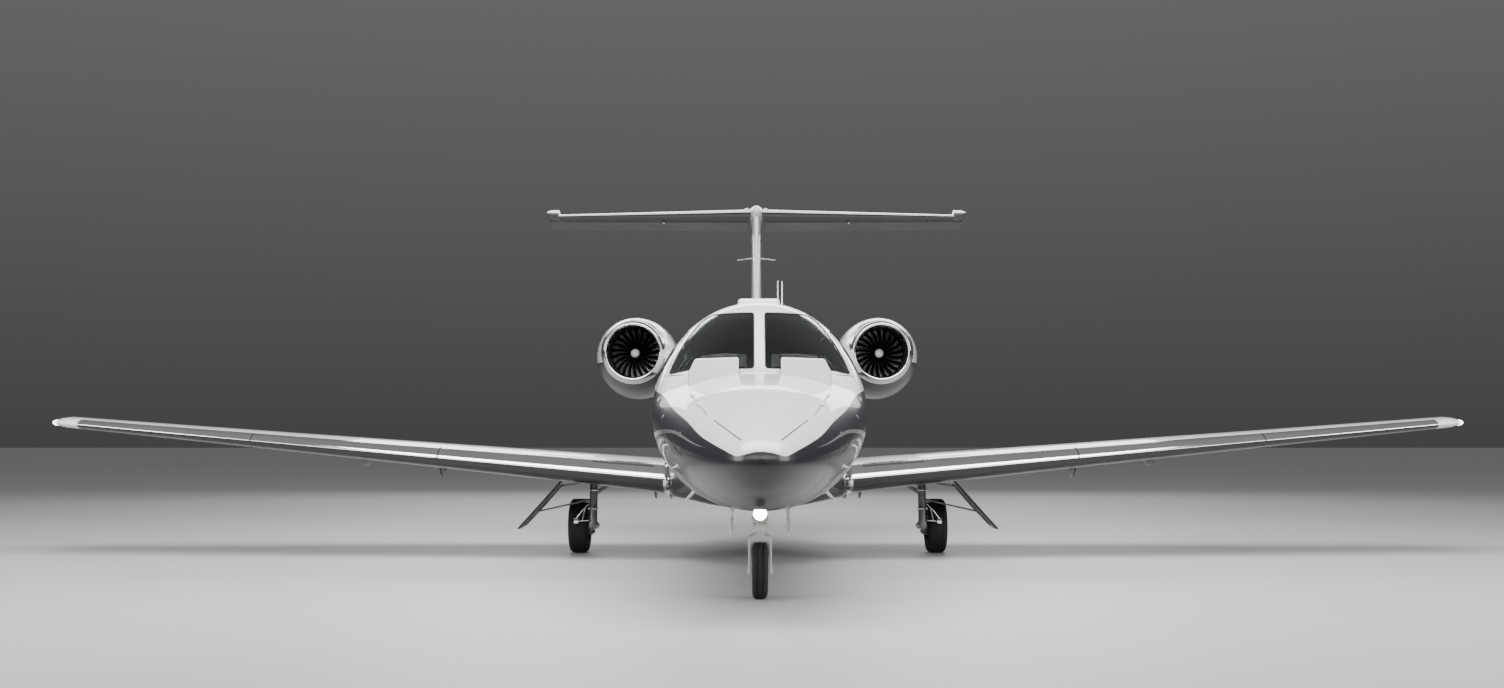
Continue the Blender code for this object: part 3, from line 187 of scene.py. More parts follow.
def read_points(mesh):
    """The points of a mesh, one row each."""
    points = np.zeros(len(mesh.vertices) * 3)
    mesh.vertices.foreach_get("co", points)
    return points.reshape(-1, 3)


def write_points(mesh, points):
    mesh.vertices.foreach_set("co", points.ravel())


def read_faces(mesh, name):
    """The center or the normal of each face, one row each."""
    values = np.zeros(len(mesh.polygons) * 3)
    mesh.polygons.foreach_get(name, values)
    return values.reshape(-1, 3)


def set_finish_places(mesh, chosen):
    """The chosen faces take the mesh's second finish."""
    mesh.polygons.foreach_set("material_index", chosen.astype(np.int32))


def grid_faces(rows, columns, wrap_rows=False, wrap_columns=False):
    """Quads between neighbouring points of a grid, as index numbers: row times columns plus column."""
    i = np.arange(rows if wrap_rows else rows - 1)[:, None]
    j = np.arange(columns if wrap_columns else columns - 1)[None, :]
    up, across = (i + 1) % rows, (j + 1) % columns
    corners = [i * columns + j, i * columns + across, up * columns + across, up * columns + j]
    return np.stack(np.broadcast_arrays(*corners), -1).reshape(-1, 4).tolist()


def tube(name, rings, finish=None, smooth=True):
    """Closed rings one after the other, with a cap at each end."""
    rings = np.asarray(rings, float)
    rows, columns = rings.shape[:2]
    faces = grid_faces(rows, columns, wrap_columns=True)
    faces += [list(range(columns)), list(range((rows - 1) * columns, rows * columns))]
    return make_object(name, rings, faces, finish, smooth)


def ring_solid(name, grid, finish=None, smooth=True):
    """A grid that closes on itself both ways, such as a pipe wall with an outside and an inside."""
    grid = np.asarray(grid, float)
    return make_object(name, grid, grid_faces(*grid.shape[:2], True, True), finish, smooth)


def sheet_solid(name, outer, inner, finish=None, smooth=True):
    """A plate between two grids of the same shape: each row runs out along one and back along the other."""
    loops = np.concatenate([outer, inner[:, ::-1]], axis=1)
    rows, columns = loops.shape[:2]
    faces = grid_faces(rows, columns, wrap_columns=True)
    j = np.arange(outer.shape[1] - 1)
    for start in (0, (rows - 1) * columns):
        cap = np.stack([j, j + 1, columns - 2 - j, columns - 1 - j], -1) + start
        faces += cap.tolist()
    return make_object(name, loops, faces, finish, smooth)


def carve(obj, *others, operation="DIFFERENCE"):
    """Cuts the other closed meshes from obj, or keeps what they share, and removes them."""
    for other in others:
        step = obj.modifiers.new(other.name, "BOOLEAN")
        step.operation = operation
        step.object = other
        step.solver = "EXACT"
    graph = bpy.context.evaluated_depsgraph_get()
    made = bpy.data.meshes.new_from_object(obj.evaluated_get(graph))
    obj.modifiers.clear()
    obj.data = made
    soften(made)
    for other in others:
        bpy.data.objects.remove(other)
    return obj


def joined(name, *parts):
    """One object from several that don't touch."""
    build = bmesh.new()
    for part in parts:
        build.from_mesh(part.data)
        bpy.data.objects.remove(part)
    mesh = bpy.data.meshes.new(name)
    build.to_mesh(mesh)
    build.free()
    return place_mesh(name, mesh, smooth=False)


def mirrored(obj, name):
    """The same piece on the other side: X changes sign, and each face is turned round to point outwards."""
    mesh = obj.data.copy()
    mesh.name = name
    write_points(mesh, read_points(mesh) * (-1, 1, 1))
    mesh.flip_normals()
    return place_mesh(name, mesh)


def outline_ring(outline, axis, place):
    """A flat outline of (u, v) points put into space, square to an axis at one place along it."""
    u, v = np.asarray(outline, float).T
    w = np.full(len(u), place)
    return np.stack({"X": (w, u, v), "Y": (u, w, v), "Z": (u, v, w)}[axis], -1)


def prism(name, outline, axis, low, high):
    """A flat outline drawn out along axis X, Y or Z, for cutting."""
    return tube(name, [outline_ring(outline, axis, w) for w in (low, high)], smooth=False)


def both_ways(side, near, far):
    """A range across one side of the aircraft as its low and high ends along X."""
    return sorted((side * near, side * far))


def block(name, low, high):
    """A plain box between two corners, for cutting."""
    outline = [(low[0], low[1]), (high[0], low[1]), (high[0], high[1]), (low[0], high[1])]
    return prism(name, outline, "Z", low[2], high[2])


def rounded_box(name, low, high, radius, finish, segments=3):
    """A box with its edges rounded by a bevel."""
    build = bmesh.new()
    bmesh.ops.create_cube(build, size=1.0)
    low, high = np.array(low, float), np.array(high, float)
    for v in build.verts:
        v.co = Vector(low + (np.array(v.co) + 0.5) * (high - low))
    bmesh.ops.bevel(build, geom=build.edges[:], offset=radius, segments=segments, profile=0.5,
                    affect="EDGES")
    mesh = bpy.data.meshes.new(name)
    build.to_mesh(mesh)
    build.free()
    return place_mesh(name, mesh, finish)


def turned(name, profile, centre, axis, finish=None, facets=64, closed=False):
    """A profile of (distance along the axis, radius) rows turned about an axis through centre."""
    profile = np.array(profile, float)
    turn = np.array(Vector(axis).to_track_quat("Z", "Y").to_matrix())
    a = 2 * np.pi * np.arange(facets) / facets
    along, radius = profile[:, :1], profile[:, 1:]
    local = np.stack(np.broadcast_arrays(radius * np.cos(a), radius * np.sin(a), along), -1)
    grid = local @ turn.T + np.array(centre, float)
    return ring_solid(name, grid, finish) if closed else tube(name, grid, finish)


def rod(name, start, end, radius, finish=None, end_radius=None, facets=24):
    """A round bar or cone between two points."""
    start, end = Vector(start), Vector(end)
    last = radius if end_radius is None else end_radius
    return turned(name, [(0, radius), ((end - start).length, last)], start, end - start, finish, facets)


def piece(obj, body, slot=None, *nodes):
    """Every piece rides on a body and stands for the solids that it replaces, which it hides. Its slot is
    not used.
    """
    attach(obj, body)
    if nodes:
        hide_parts(*nodes)
    return obj


def fitting(name, parts, finish, slot, body="airframe", sharp=None):
    """One piece from parts that share a finish. It is smooth up to the angle sharp, or keeps its shading."""
    made = joined(name, *parts)
    made.data.materials.append(finishes[finish])
    if sharp:
        soften(made.data, sharp)
    return piece(made, body, slot)


def line_work(name, lines, finish, slot):
    """One smooth piece from thin lines that lie on a surface."""
    made = joined(name, *lines)
    made.data.materials.append(finishes[finish])
    made.data.shade_smooth()
    return piece(made, "airframe", slot)


print("grid and carving helpers are ready")

# %% [markdown]
# ## Shared shading
# Several finishes want the same small effects: broad uneven gloss, as on any surface that has been wiped,
# and a fine ripple. They are node groups, so that they are drawn once and used in each material. A group
# gives only masks and heights; the shader itself stays in the material.

# %% Node helpers and shared groups


def link(tree, source, target):
    tree.links.new(source, target)


def new_node(tree, kind, **settings):
    """A node with its properties set, and its sockets filled by name where the name is one of its inputs."""
    node = tree.nodes.new(kind)
    for key, value in settings.items():
        socket = key.replace("_", " ")
        if hasattr(node, key):
            setattr(node, key, value)
        elif socket in node.inputs:
            node.inputs[socket].default_value = value
    return node


def fill(tree, socket, value):
    """A socket's input is another socket to link, a colour or a number."""
    if isinstance(value, bpy.types.NodeSocket):
        link(tree, value, socket)
    else:
        socket.default_value = (*value, 1) if isinstance(value, tuple) else value


def on_object(tree, kind, **settings):
    """A node that reads the object's own coordinates, so that its pattern moves along with the piece."""
    node = new_node(tree, kind, **settings)
    place = tree.nodes.new("ShaderNodeTexCoord")
    link(tree, place.outputs["Object"], node.inputs["Vector"])
    return node


def calculate(tree, operation, *values):
    """The result of one sum on sockets and numbers."""
    node = new_node(tree, "ShaderNodeMath", operation=operation)
    for place, value in enumerate(values):
        fill(tree, node.inputs[place], value)
    return node.outputs[0]


def remap(tree, value, low=0.0, high=1.0, start=0.0, end=1.0, clamp=True):
    """A value that runs from low to high, put on the range from start to end."""
    node = new_node(tree, "ShaderNodeMapRange", clamp=clamp)
    ends = {"From Min": low, "From Max": high, "To Min": start, "To Max": end}
    for socket, number in ends.items():
        node.inputs[socket].default_value = number
    link(tree, value, node.inputs["Value"])
    return node.outputs[0]


def mixed(tree, share, first, second):
    """A colour between two others."""
    node = new_node(tree, "ShaderNodeMix", data_type="RGBA")
    link(tree, share, node.inputs["Factor"])
    fill(tree, node.inputs[6], first)
    fill(tree, node.inputs[7], second)
    return node.outputs[2]


def colour_ramp(tree, value, first, last, start=0.0, end=1.0):
    """The colour runs from first to last while the value runs from start to end."""
    node = new_node(tree, "ShaderNodeValToRGB")
    for element, position, colour in zip(node.color_ramp.elements, (start, end), (first, last)):
        element.position = position
        element.color = (*colour, 1)
    link(tree, value, node.inputs["Fac"])
    return node.outputs["Color"]


def scaled(colour, factor):
    return tuple(c * factor for c in colour)


def add_relief(tree, shader, height, distance, strength=1.0):
    """A fine relief whose depth is distance, in the shading only."""
    node = new_node(tree, "ShaderNodeBump", Strength=strength, Distance=distance)
    link(tree, height, node.inputs["Height"])
    link(tree, node.outputs["Normal"], shader.inputs["Normal"])


def new_group(name, outputs, inputs=()):
    group = bpy.data.node_groups.new(name, "ShaderNodeTree")
    for socket, kind, value in inputs:
        made = group.interface.new_socket(socket, in_out="INPUT", socket_type=kind)
        made.default_value = value
    for socket, kind in outputs:
        group.interface.new_socket(socket, in_out="OUTPUT", socket_type=kind)
    return group, group.nodes.new("NodeGroupInput"), group.nodes.new("NodeGroupOutput")


def uneven_group():
    """Broad cloudy unevenness times fine specks, as a value about 0.5 and a small ripple height."""
    group, given, out = new_group(
        "Uneven surface",
        (("Unevenness", "NodeSocketFloat"), ("Height", "NodeSocketFloat")),
        (("Broad Scale", "NodeSocketFloat", 2.0), ("Fine Scale", "NodeSocketFloat", 60.0)),
    )
    broad = on_object(group, "ShaderNodeTexNoise", Detail=4.0, Roughness=0.55)
    fine = on_object(group, "ShaderNodeTexNoise", Detail=3.0, Roughness=0.6)
    for noise, scale in ((broad, "Broad Scale"), (fine, "Fine Scale")):
        link(group, given.outputs[scale], noise.inputs["Scale"])
    both = calculate(group, "MULTIPLY_ADD", fine.outputs["Fac"], 0.25, broad.outputs["Fac"])
    link(group, both, out.inputs["Unevenness"])
    link(group, fine.outputs["Fac"], out.inputs["Height"])
    return group


UNEVEN = uneven_group()


def start_material(name, colour, roughness, metallic=0.0, coat=0.0, coat_roughness=0.03):
    """A Principled material with the numbers that are the same all over set on the shader itself."""
    made = bpy.data.materials.new(name)
    made.use_nodes = True
    tree = made.node_tree
    shader = tree.nodes["Principled BSDF"]
    shader.inputs["Base Color"].default_value = (*colour, 1)
    shader.inputs["Roughness"].default_value = roughness
    shader.inputs["Metallic"].default_value = metallic
    shader.inputs["Coat Weight"].default_value = coat
    shader.inputs["Coat Roughness"].default_value = coat_roughness
    return made, tree, shader


def add_unevenness(tree, shader, colour, rough, tint=0.06, broad=2.0, fine=60.0, bump=0.0):
    """Roughness runs between two values and the colour darkens by tint, both after the shared group."""
    uneven = tree.nodes.new("ShaderNodeGroup")
    uneven.node_tree = UNEVEN
    uneven.inputs["Broad Scale"].default_value = broad
    uneven.inputs["Fine Scale"].default_value = fine
    level = uneven.outputs["Unevenness"]
    link(tree, remap(tree, level, 0.35, 0.85, *rough), shader.inputs["Roughness"])
    tinted = colour_ramp(tree, level, scaled(colour, 1 - tint), colour, 0.35, 0.80)
    link(tree, tinted, shader.inputs["Base Color"])
    if bump:
        add_relief(tree, shader, uneven.outputs["Height"], bump)
    return tinted


print("shared groups:", [group.name for group in bpy.data.node_groups])

# %% [markdown]
# ## The fuselage's numbers
# The body is a smooth tube. Each station has a half width, a bottom, a top and the height of its widest
# point, and the section is two half ellipses that meet there. A cubic through the table's rows gives every
# station between them. Its tangents are chosen so that nothing overshoots, which keeps the long middle dead
# straight.

# %% Body table and surface
BODY = (
    (0.00, 0.030, 1.010, 1.070, 1.040),
    (0.02, 0.085, 0.965, 1.112, 1.040),
    (0.07, 0.160, 0.915, 1.165, 1.040),
    (0.20, 0.262, 0.850, 1.238, 1.045),
    (0.45, 0.395, 0.780, 1.335, 1.065),
    (0.80, 0.530, 0.722, 1.440, 1.115),
    (1.20, 0.645, 0.685, 1.542, 1.185),
    (1.60, 0.740, 0.660, 1.628, 1.265),
    (2.02, 0.812, 0.645, 1.705, 1.345),
    (2.15, 0.830, 0.641, 1.750, 1.368),
    (2.55, 0.857, 0.634, 2.020, 1.430),
    (2.90, 0.868, 0.631, 2.225, 1.470),
    (3.20, 0.870, 0.630, 2.325, 1.490),
    (3.56, 0.870, 0.630, 2.370, 1.500),
    (7.90, 0.870, 0.630, 2.370, 1.500),
    (8.60, 0.822, 0.745, 2.366, 1.535),
    (9.40, 0.716, 0.965, 2.348, 1.605),
    (10.20, 0.565, 1.222, 2.315, 1.705),
    (11.00, 0.392, 1.482, 2.268, 1.820),
    (11.70, 0.228, 1.702, 2.212, 1.925),
    (12.20, 0.095, 1.865, 2.140, 2.000),
)
SKIN = 0.050


def smooth_table(table):
    """A cubic Hermite curve through each column, with the harmonic mean of the slopes beside a row."""
    rows = np.array(table, float)
    x, y = rows[:, 0], rows[:, 1:]
    slope = np.diff(y, axis=0) / np.diff(x)[:, None]
    tangent = np.zeros_like(y)
    tangent[0], tangent[-1] = slope[0], slope[-1]
    product, total = slope[:-1] * slope[1:], slope[:-1] + slope[1:]
    tangent[1:-1] = np.where(product > 0, 2 * product / np.where(np.abs(total) < 1e-12, 1.0, total), 0.0)

    def read(s):
        s = np.atleast_1d(np.asarray(s, float))
        k = np.clip(np.searchsorted(x, s) - 1, 0, len(x) - 2)
        h = (x[k + 1] - x[k])[..., None]
        t = (s - x[k])[..., None] / h
        first, second = 2 * t**3 - 3 * t**2 + 1, 3 * t**2 - 2 * t**3
        bend = (t**3 - 2 * t**2 + t) * tangent[k] + (t**3 - t**2) * tangent[k + 1]
        return first * y[k] + second * y[k + 1] + h * bend

    return read


body_rows = smooth_table(BODY)


def body_surface(stations, degrees, inset=0.0):
    """Points of the body: x = (half - inset) cos a and z = widest + (reach - inset) sin a."""
    stations = np.asarray(stations, float)
    a = np.radians(np.broadcast_to(np.asarray(degrees, float), (len(stations), np.shape(degrees)[-1])))
    half, bottom, top, widest = (column[:, None] for column in body_rows(stations).T)
    inset = np.broadcast_to(np.asarray(inset, float).reshape(-1, 1), half.shape)
    reach = np.where(np.sin(a) > 0, top - widest, widest - bottom) - inset
    y = np.broadcast_to(y_at(stations)[:, None], a.shape)
    return np.stack([(half - inset) * np.cos(a), y, widest + reach * np.sin(a)], -1)


def station_of(x, z, low=0.0, high=3.56):
    """Where the body's surface passes a point (x, z) seen from ahead, by halving the range."""
    x, z = np.asarray(x, float), np.asarray(z, float)
    low, high = np.full(x.shape, low), np.full(x.shape, high)
    for _ in range(40):
        middle = (low + high) / 2
        half, bottom, top, widest = body_rows(middle).T
        reach = np.where(z > widest, top - widest, widest - bottom)
        outside = (x / half) ** 2 + ((z - widest) / reach) ** 2 > 1
        low, high = np.where(outside, middle, low), np.where(outside, high, middle)
    return (low + high) / 2


print("the body is", round(2 * float(body_rows(5.0)[0, 0]), 2), "m wide in its middle")

# %% [markdown]
# ## Paint
# The aircraft is white above and charcoal below, with one bright accent line between the nose and the wing.
# The edge of the white is a height for each station, so the material reads the station and the height from
# its Object coordinates and compares them with a curve. The line is then sharp at any size of picture, and
# it runs on by itself over doors and fairings.

# %% Paint lines
PAINT_EDGE = ((0.0, 1.124), (0.03, 1.112), (0.07, 1.086), (0.155, 1.110), (0.30, 1.150), (0.50, 1.195),
              (0.64, 1.230), (0.935, 1.305), (1.39, 1.393), (1.88, 1.485), (2.40, 1.565), (3.00, 1.602),
              (3.50, 1.610), (6.0, 1.610))
ACCENT = ((0.45, 1.135), (0.58, 1.158), (0.77, 1.190), (0.98, 1.226), (1.14, 1.244), (1.35, 1.250),
          (1.60, 1.244), (1.90, 1.230), (2.40, 1.190), (3.00, 1.108), (3.60, 1.022), (4.20, 0.946),
          (4.70, 0.893), (5.40, 0.850))
ACCENT_WIDTH = ((0.45, 0.0), (0.60, 0.004), (0.90, 0.008), (1.20, 0.012), (1.60, 0.017), (2.40, 0.024),
                (3.40, 0.030), (5.40, 0.036))
ACCENT_END = 5.35
CURVE_REACH = 6.0
HEIGHTS = (0.5, 2.0)
WIDTHS = (0.0, 0.06)


def curve_of_station(group, station, rows, low, high):
    """A height as a curve over the station. Both run from 0 to 1 in the node, and then in metres again."""
    curve = group.nodes.new("ShaderNodeFloatCurve")
    points = curve.mapping.curves[0].points
    smooth = smooth_table(rows)
    stations = np.concatenate([(0.0, 0.03, 0.07, 0.12), np.linspace(0.1875, CURVE_REACH, 32)])
    for number, s in enumerate(stations):
        s_in = float(np.clip(s, rows[0][0], rows[-1][0]))
        value = (float(smooth(s_in)[0, 0]) - low) / (high - low)
        if 0 < number < len(stations) - 1:
            points.new(s / CURVE_REACH, value)
        else:
            points[0 if number == 0 else -1].location = (s / CURVE_REACH, value)
    curve.mapping.update()
    link(group, remap(group, station, 0.0, CURVE_REACH), curve.inputs["Value"])
    return remap(group, curve.outputs["Value"], 0.0, 1.0, low, high, clamp=False)


def paint_line_group():
    """Masks of the charcoal below the edge, and of the accent line, which is a band about its own curve."""
    group, _, out = new_group("Paint lines", (("Below", "NodeSocketFloat"), ("Accent", "NodeSocketFloat")))
    axes = on_object(group, "ShaderNodeSeparateXYZ")
    height = axes.outputs["Z"]
    station = calculate(group, "ADD", axes.outputs["Y"], LENGTH / 2)
    edge = curve_of_station(group, station, PAINT_EDGE, *HEIGHTS)
    over = calculate(group, "SUBTRACT", edge, height)
    link(group, remap(group, over, -0.0006, 0.0006), out.inputs["Below"])
    middle = curve_of_station(group, station, ACCENT, *HEIGHTS)
    width = curve_of_station(group, station, ACCENT_WIDTH, *WIDTHS)
    away = calculate(group, "ABSOLUTE", calculate(group, "SUBTRACT", height, middle))
    band = remap(group, calculate(group, "SUBTRACT", width, away), 0.0002, 0.0010)
    ahead = calculate(group, "LESS_THAN", station, ACCENT_END)
    link(group, calculate(group, "MULTIPLY", band, ahead), out.inputs["Accent"])
    return group


PAINT_LINES = paint_line_group()
print("the white ends at", PAINT_EDGE[0][1], "m at the nose and", PAINT_EDGE[-1][1], "m along the cabin")

# %% [markdown]
# ## Finishes
# Aircraft paint is a colour coat under a thick clear coat, so its colour is fairly rough and the coat over
# it is almost a mirror. The charcoal carries fine metal flake. Polished aluminium is never perfectly even:
# fine streaks run along the way it was buffed. Rubber, leather and carpet are rough, and what shows in them
# is their relief.

# %% White and charcoal paint
WHITE = (0.86, 0.86, 0.85)
CHARCOAL = (0.012, 0.013, 0.015)
SILVER = (0.82, 0.82, 0.81)
CHARCOAL_COAT = 0.3
ORANGE_PEEL = 0.00003


def plain_paint(name, colour, rough, broad=1.6, coat=1.0):
    """One colour under a clear coat."""
    made, tree, shader = start_material(name, colour, rough[0], coat=coat, coat_roughness=0.025)
    add_unevenness(tree, shader, colour, rough, tint=0.05, broad=broad, fine=420.0, bump=ORANGE_PEEL)
    return made


def white_base(name):
    """The start of a paint with white and charcoal parts: the shader, and the white as a socket."""
    made, tree, shader = start_material(name, WHITE, 0.3, coat=1.0, coat_roughness=0.022)
    white = add_unevenness(tree, shader, WHITE, (0.26, 0.40), tint=0.045, broad=1.4, fine=420.0,
                           bump=ORANGE_PEEL)
    return made, tree, shader, white


def add_thin_coat(tree, shader, mask):
    """The charcoal has a satin finish: where the mask is 1 the clear coat thins."""
    link(tree, remap(tree, mask, 0.0, 1.0, 1.0, CHARCOAL_COAT), shader.inputs["Coat Weight"])


def livery_paint(name):
    """White above and charcoal below the paint line, with the bright accent line over both."""
    made, tree, shader, white = white_base(name)
    flake = on_object(tree, "ShaderNodeTexVoronoi", feature="F1", Scale=900.0)
    dark = colour_ramp(tree, flake.outputs["Distance"], scaled(CHARCOAL, 0.75), scaled(CHARCOAL, 1.5))
    lines = tree.nodes.new("ShaderNodeGroup")
    lines.node_tree = PAINT_LINES
    below, accent = lines.outputs["Below"], lines.outputs["Accent"]
    two = mixed(tree, below, white, dark)
    link(tree, mixed(tree, accent, two, SILVER), shader.inputs["Base Color"])
    link(tree, accent, shader.inputs["Metallic"])
    add_thin_coat(tree, shader, below)
    return made


finishes = {
    "livery": livery_paint("livery_paint"),
    "white": plain_paint("white_paint_gloss", WHITE, (0.26, 0.40)),
    "white_composite": plain_paint("white_composite_gloss", (0.79, 0.79, 0.78), (0.30, 0.44)),
    "charcoal": plain_paint("charcoal_paint_gloss", CHARCOAL, (0.30, 0.46), coat=CHARCOAL_COAT),
    "gear": plain_paint("gear_enamel", (0.70, 0.70, 0.68), (0.34, 0.55), broad=9.0),
    # The main gear's enamel is darker than the nose gear's: painted shade for the gear under the wing.
    "shade-darkened gear": plain_paint("shade_darkened_gear_enamel", (0.16, 0.16, 0.165), (0.34, 0.55), broad=9.0, coat=0.4),
}
print("paints:", sorted(finishes))

# %% Metals
METALS = {
    "polished": ("polished_aluminium", (0.88, 0.88, 0.87), (0.05, 0.16), (0.5, 6.0, 6.0), 1.2, 0.00002),
    "lip": ("polished_lip", (0.88, 0.88, 0.87), (0.04, 0.12), (5.0, 5.0, 5.0), 4.0, 0.00001),
    "steel": ("machined_steel", (0.56, 0.56, 0.55), (0.22, 0.42), (9.0, 1.0, 1.0), 8.0),
    "chrome": ("ground_chrome", (0.86, 0.86, 0.87), (0.04, 0.12), (8.0, 8.0, 8.0), 8.0, 0.00001),
    "titanium": ("fan_titanium", (0.16, 0.16, 0.17), (0.20, 0.36), (3.0, 9.0, 3.0), 9.0),
    "nozzle": ("hot_nozzle", (0.20, 0.17, 0.15), (0.30, 0.58), (1.0, 7.0, 1.0), 5.0),
    "duct": ("duct_lining", (0.030, 0.030, 0.032), (0.45, 0.65), (6.0, 1.0, 6.0), 3.0),
}


def streaked_metal(name, colour, rough, stretch, broad, bump=0.00004):
    """Bare metal whose fine streaks are a noise drawn out along one axis, as a very small relief."""
    made, tree, shader = start_material(name, colour, rough[0], metallic=1.0)
    add_unevenness(tree, shader, colour, rough, tint=0.10, broad=broad, fine=180.0)
    pull = on_object(tree, "ShaderNodeMapping")
    pull.inputs["Scale"].default_value = stretch
    streak = new_node(tree, "ShaderNodeTexNoise", Scale=22.0, Detail=5.0, Roughness=0.65)
    link(tree, pull.outputs["Vector"], streak.inputs["Vector"])
    add_relief(tree, shader, streak.outputs["Fac"], bump)
    return made


for key, row in METALS.items():
    finishes[key] = streaked_metal(*row)
print("metals are ready, finishes so far:", len(finishes))

# %% Glass, rubber and cabin finishes
ROUGH = {
    "tyre": ("tyre_rubber", (0.020, 0.020, 0.021), (0.62, 0.90), 0.35, 14.0, 240.0, 0.0004),
    "seal": ("black_seal", (0.015, 0.015, 0.016), (0.45, 0.65), 0.2, 20.0, 200.0, 0.0001),
    "carpet": ("wool_carpet", (0.20, 0.19, 0.18), (0.85, 1.0), 0.35, 12.0, 700.0, 0.003, 0.3),
    "trim": ("soft_trim", (0.30, 0.295, 0.285), (0.50, 0.70), 0.08, 6.0, 500.0, 0.0002),
    "panel": ("panel_black", (0.030, 0.030, 0.032), (0.42, 0.62), 0.15, 20.0, 600.0, 0.0002),
}


def tinted_glass(name, colour):
    """Clear glass with a tint that is a little uneven."""
    made, tree, shader = start_material(name, colour, 0.02)
    shader.inputs["Transmission Weight"].default_value = 1.0
    shader.inputs["IOR"].default_value = 1.45
    cloud = on_object(tree, "ShaderNodeTexNoise", Scale=3.0, Detail=2.0)
    tint = colour_ramp(tree, cloud.outputs["Fac"], scaled(colour, 0.92), colour)
    link(tree, tint, shader.inputs["Base Color"])
    return made


def rough_finish(name, colour, rough, tint, broad, fine, bump, sheen=0.0):
    made, tree, shader = start_material(name, colour, rough[0])
    shader.inputs["Sheen Weight"].default_value = sheen
    add_unevenness(tree, shader, colour, rough, tint, broad, fine, bump)
    return made


def leather(name, colour):
    """Hide: cells of a Voronoi pattern with sunken edges, over broad changes of colour."""
    made, tree, shader = start_material(name, colour, 0.5)
    add_unevenness(tree, shader, colour, (0.38, 0.62), tint=0.22, broad=5.0, fine=90.0)
    grain = on_object(tree, "ShaderNodeTexVoronoi", feature="DISTANCE_TO_EDGE", Scale=260.0)
    add_relief(tree, shader, remap(tree, grain.outputs["Distance"], 0.0, 0.12), 0.0006, 0.6)
    return made


def glowing(name, colour, strength, base=(0.8, 0.8, 0.8)):
    """A lit lens: its glow is strongest in the middle of fine prisms moulded into the glass."""
    made, tree, shader = start_material(name, base, 0.08, coat=1.0)
    prisms = on_object(tree, "ShaderNodeTexVoronoi", feature="F1", Scale=110.0)
    glow = colour_ramp(tree, prisms.outputs["Distance"], colour, scaled(colour, 0.55))
    link(tree, glow, shader.inputs["Emission Color"])
    shader.inputs["Emission Strength"].default_value = strength
    return made


finishes["glass"] = tinted_glass("tinted_glazing", (0.56, 0.59, 0.60))
finishes["clear"] = tinted_glass("clear_lens", (0.86, 0.88, 0.90))
for key, row in ROUGH.items():
    finishes[key] = rough_finish(*row)
finishes["leather"] = leather("seat_leather", (0.30, 0.27, 0.23))
finishes["lamp"] = glowing("landing_lamp_lens", (1.0, 0.97, 0.90), 60.0)
finishes["tip light"] = glowing("position_light", (0.95, 1.0, 1.0), 5.0)
finishes["screen"] = glowing("dark_display", (0.05, 0.09, 0.14), 0.5, (0.02, 0.02, 0.025))
print(len(finishes), "finishes")

# %% [markdown]
# ## The fuselage skin
# One smooth tube carries the windows, the doorway and the doors in the nose. We work out an outer and an
# inner grid over the same stations. The stations crowd together where the section changes fast, at the nose
# and under the windscreen. Closed cutters then open it, each a little larger than the door or pane that
# fills it.

# %% Window, door and hatch outlines
WINDSCREEN = (
    (0.045, 1.735), (0.045, 2.235), (0.410, 2.235), (0.500, 2.155), (0.555, 2.072),
    (0.607, 1.990), (0.657, 1.884), (0.691, 1.800), (0.722, 1.700), (0.565, 1.728),
)
WINDSCREEN_CUT = (1.82, 3.50)
SIDE_WINDOW = ((2.70, 1.700), (3.34, 1.690), (3.34, 2.000), (3.16, 2.100), (2.98, 2.050))
WINDOW_STATIONS = (4.78, 5.46, 6.14, 6.82)
DOOR_SIDE_WINDOW = 4.10
DOOR_STATIONS = (3.66, 4.30)
DOOR_ANGLES = (-45.0, 45.0)
BAY_HALF = 0.215
HATCH_STATIONS = (0.82, 1.78)
HATCH_HINGE_ANGLE = 46.0
HATCH_DEPTH = 0.330
SIDES = ((1, "left"), (-1, "right"))


def round_corners(outline, radius, steps=8):
    """Each corner becomes p + before r (1 - t)^2 + after r t^2, a curve that leaves both sides smoothly."""
    points = np.array(outline, float)
    before = np.roll(points, 1, axis=0) - points
    after = np.roll(points, -1, axis=0) - points
    before /= np.linalg.norm(before, axis=1, keepdims=True)
    after /= np.linalg.norm(after, axis=1, keepdims=True)
    t = np.linspace(0, 1, steps + 1)[None, :, None]
    curve = points[:, None] + radius * (before[:, None] * (1 - t) ** 2 + after[:, None] * t**2)
    return curve.reshape(-1, 2)


def grown(outline, distance):
    """The outline moved outwards by a distance, along the normal of each of its points."""
    points = np.array(outline, float)
    along = np.roll(points, -1, axis=0) - np.roll(points, 1, axis=0)
    normal = np.stack([along[:, 1], -along[:, 0]], -1)
    normal /= np.linalg.norm(normal, axis=1, keepdims=True)
    x, y = points.T
    area = np.sum(x * np.roll(y, -1) - np.roll(x, -1) * y)
    return points + normal * distance * np.sign(area)


def windscreen_outline(side, more=0.0):
    return grown(round_corners([(side * x, z) for x, z in WINDSCREEN], 0.030), more)


def side_window_outline(more=0.0):
    return grown(round_corners([(y_at(s), z) for s, z in SIDE_WINDOW], 0.055), more)


def windscreen_block(side, word, more=0.0):
    """A closed block with the windscreen's outline, to cut its opening or to keep its pane."""
    low, high = WINDSCREEN_CUT
    return prism("screen " + word, windscreen_outline(side, more), "Y", y_at(low), y_at(high))


def side_window_block(side, word, more=0.0):
    return prism("side " + word, side_window_outline(more), "X", *both_ways(side, 0.35, 1.2))


def cabin_window_block(side, word, station, more=0.0):
    outline = cabin_window_outline(station, more)
    return prism(f"window {word} {station}", outline, "X", *both_ways(side, 0.3, 1.2))


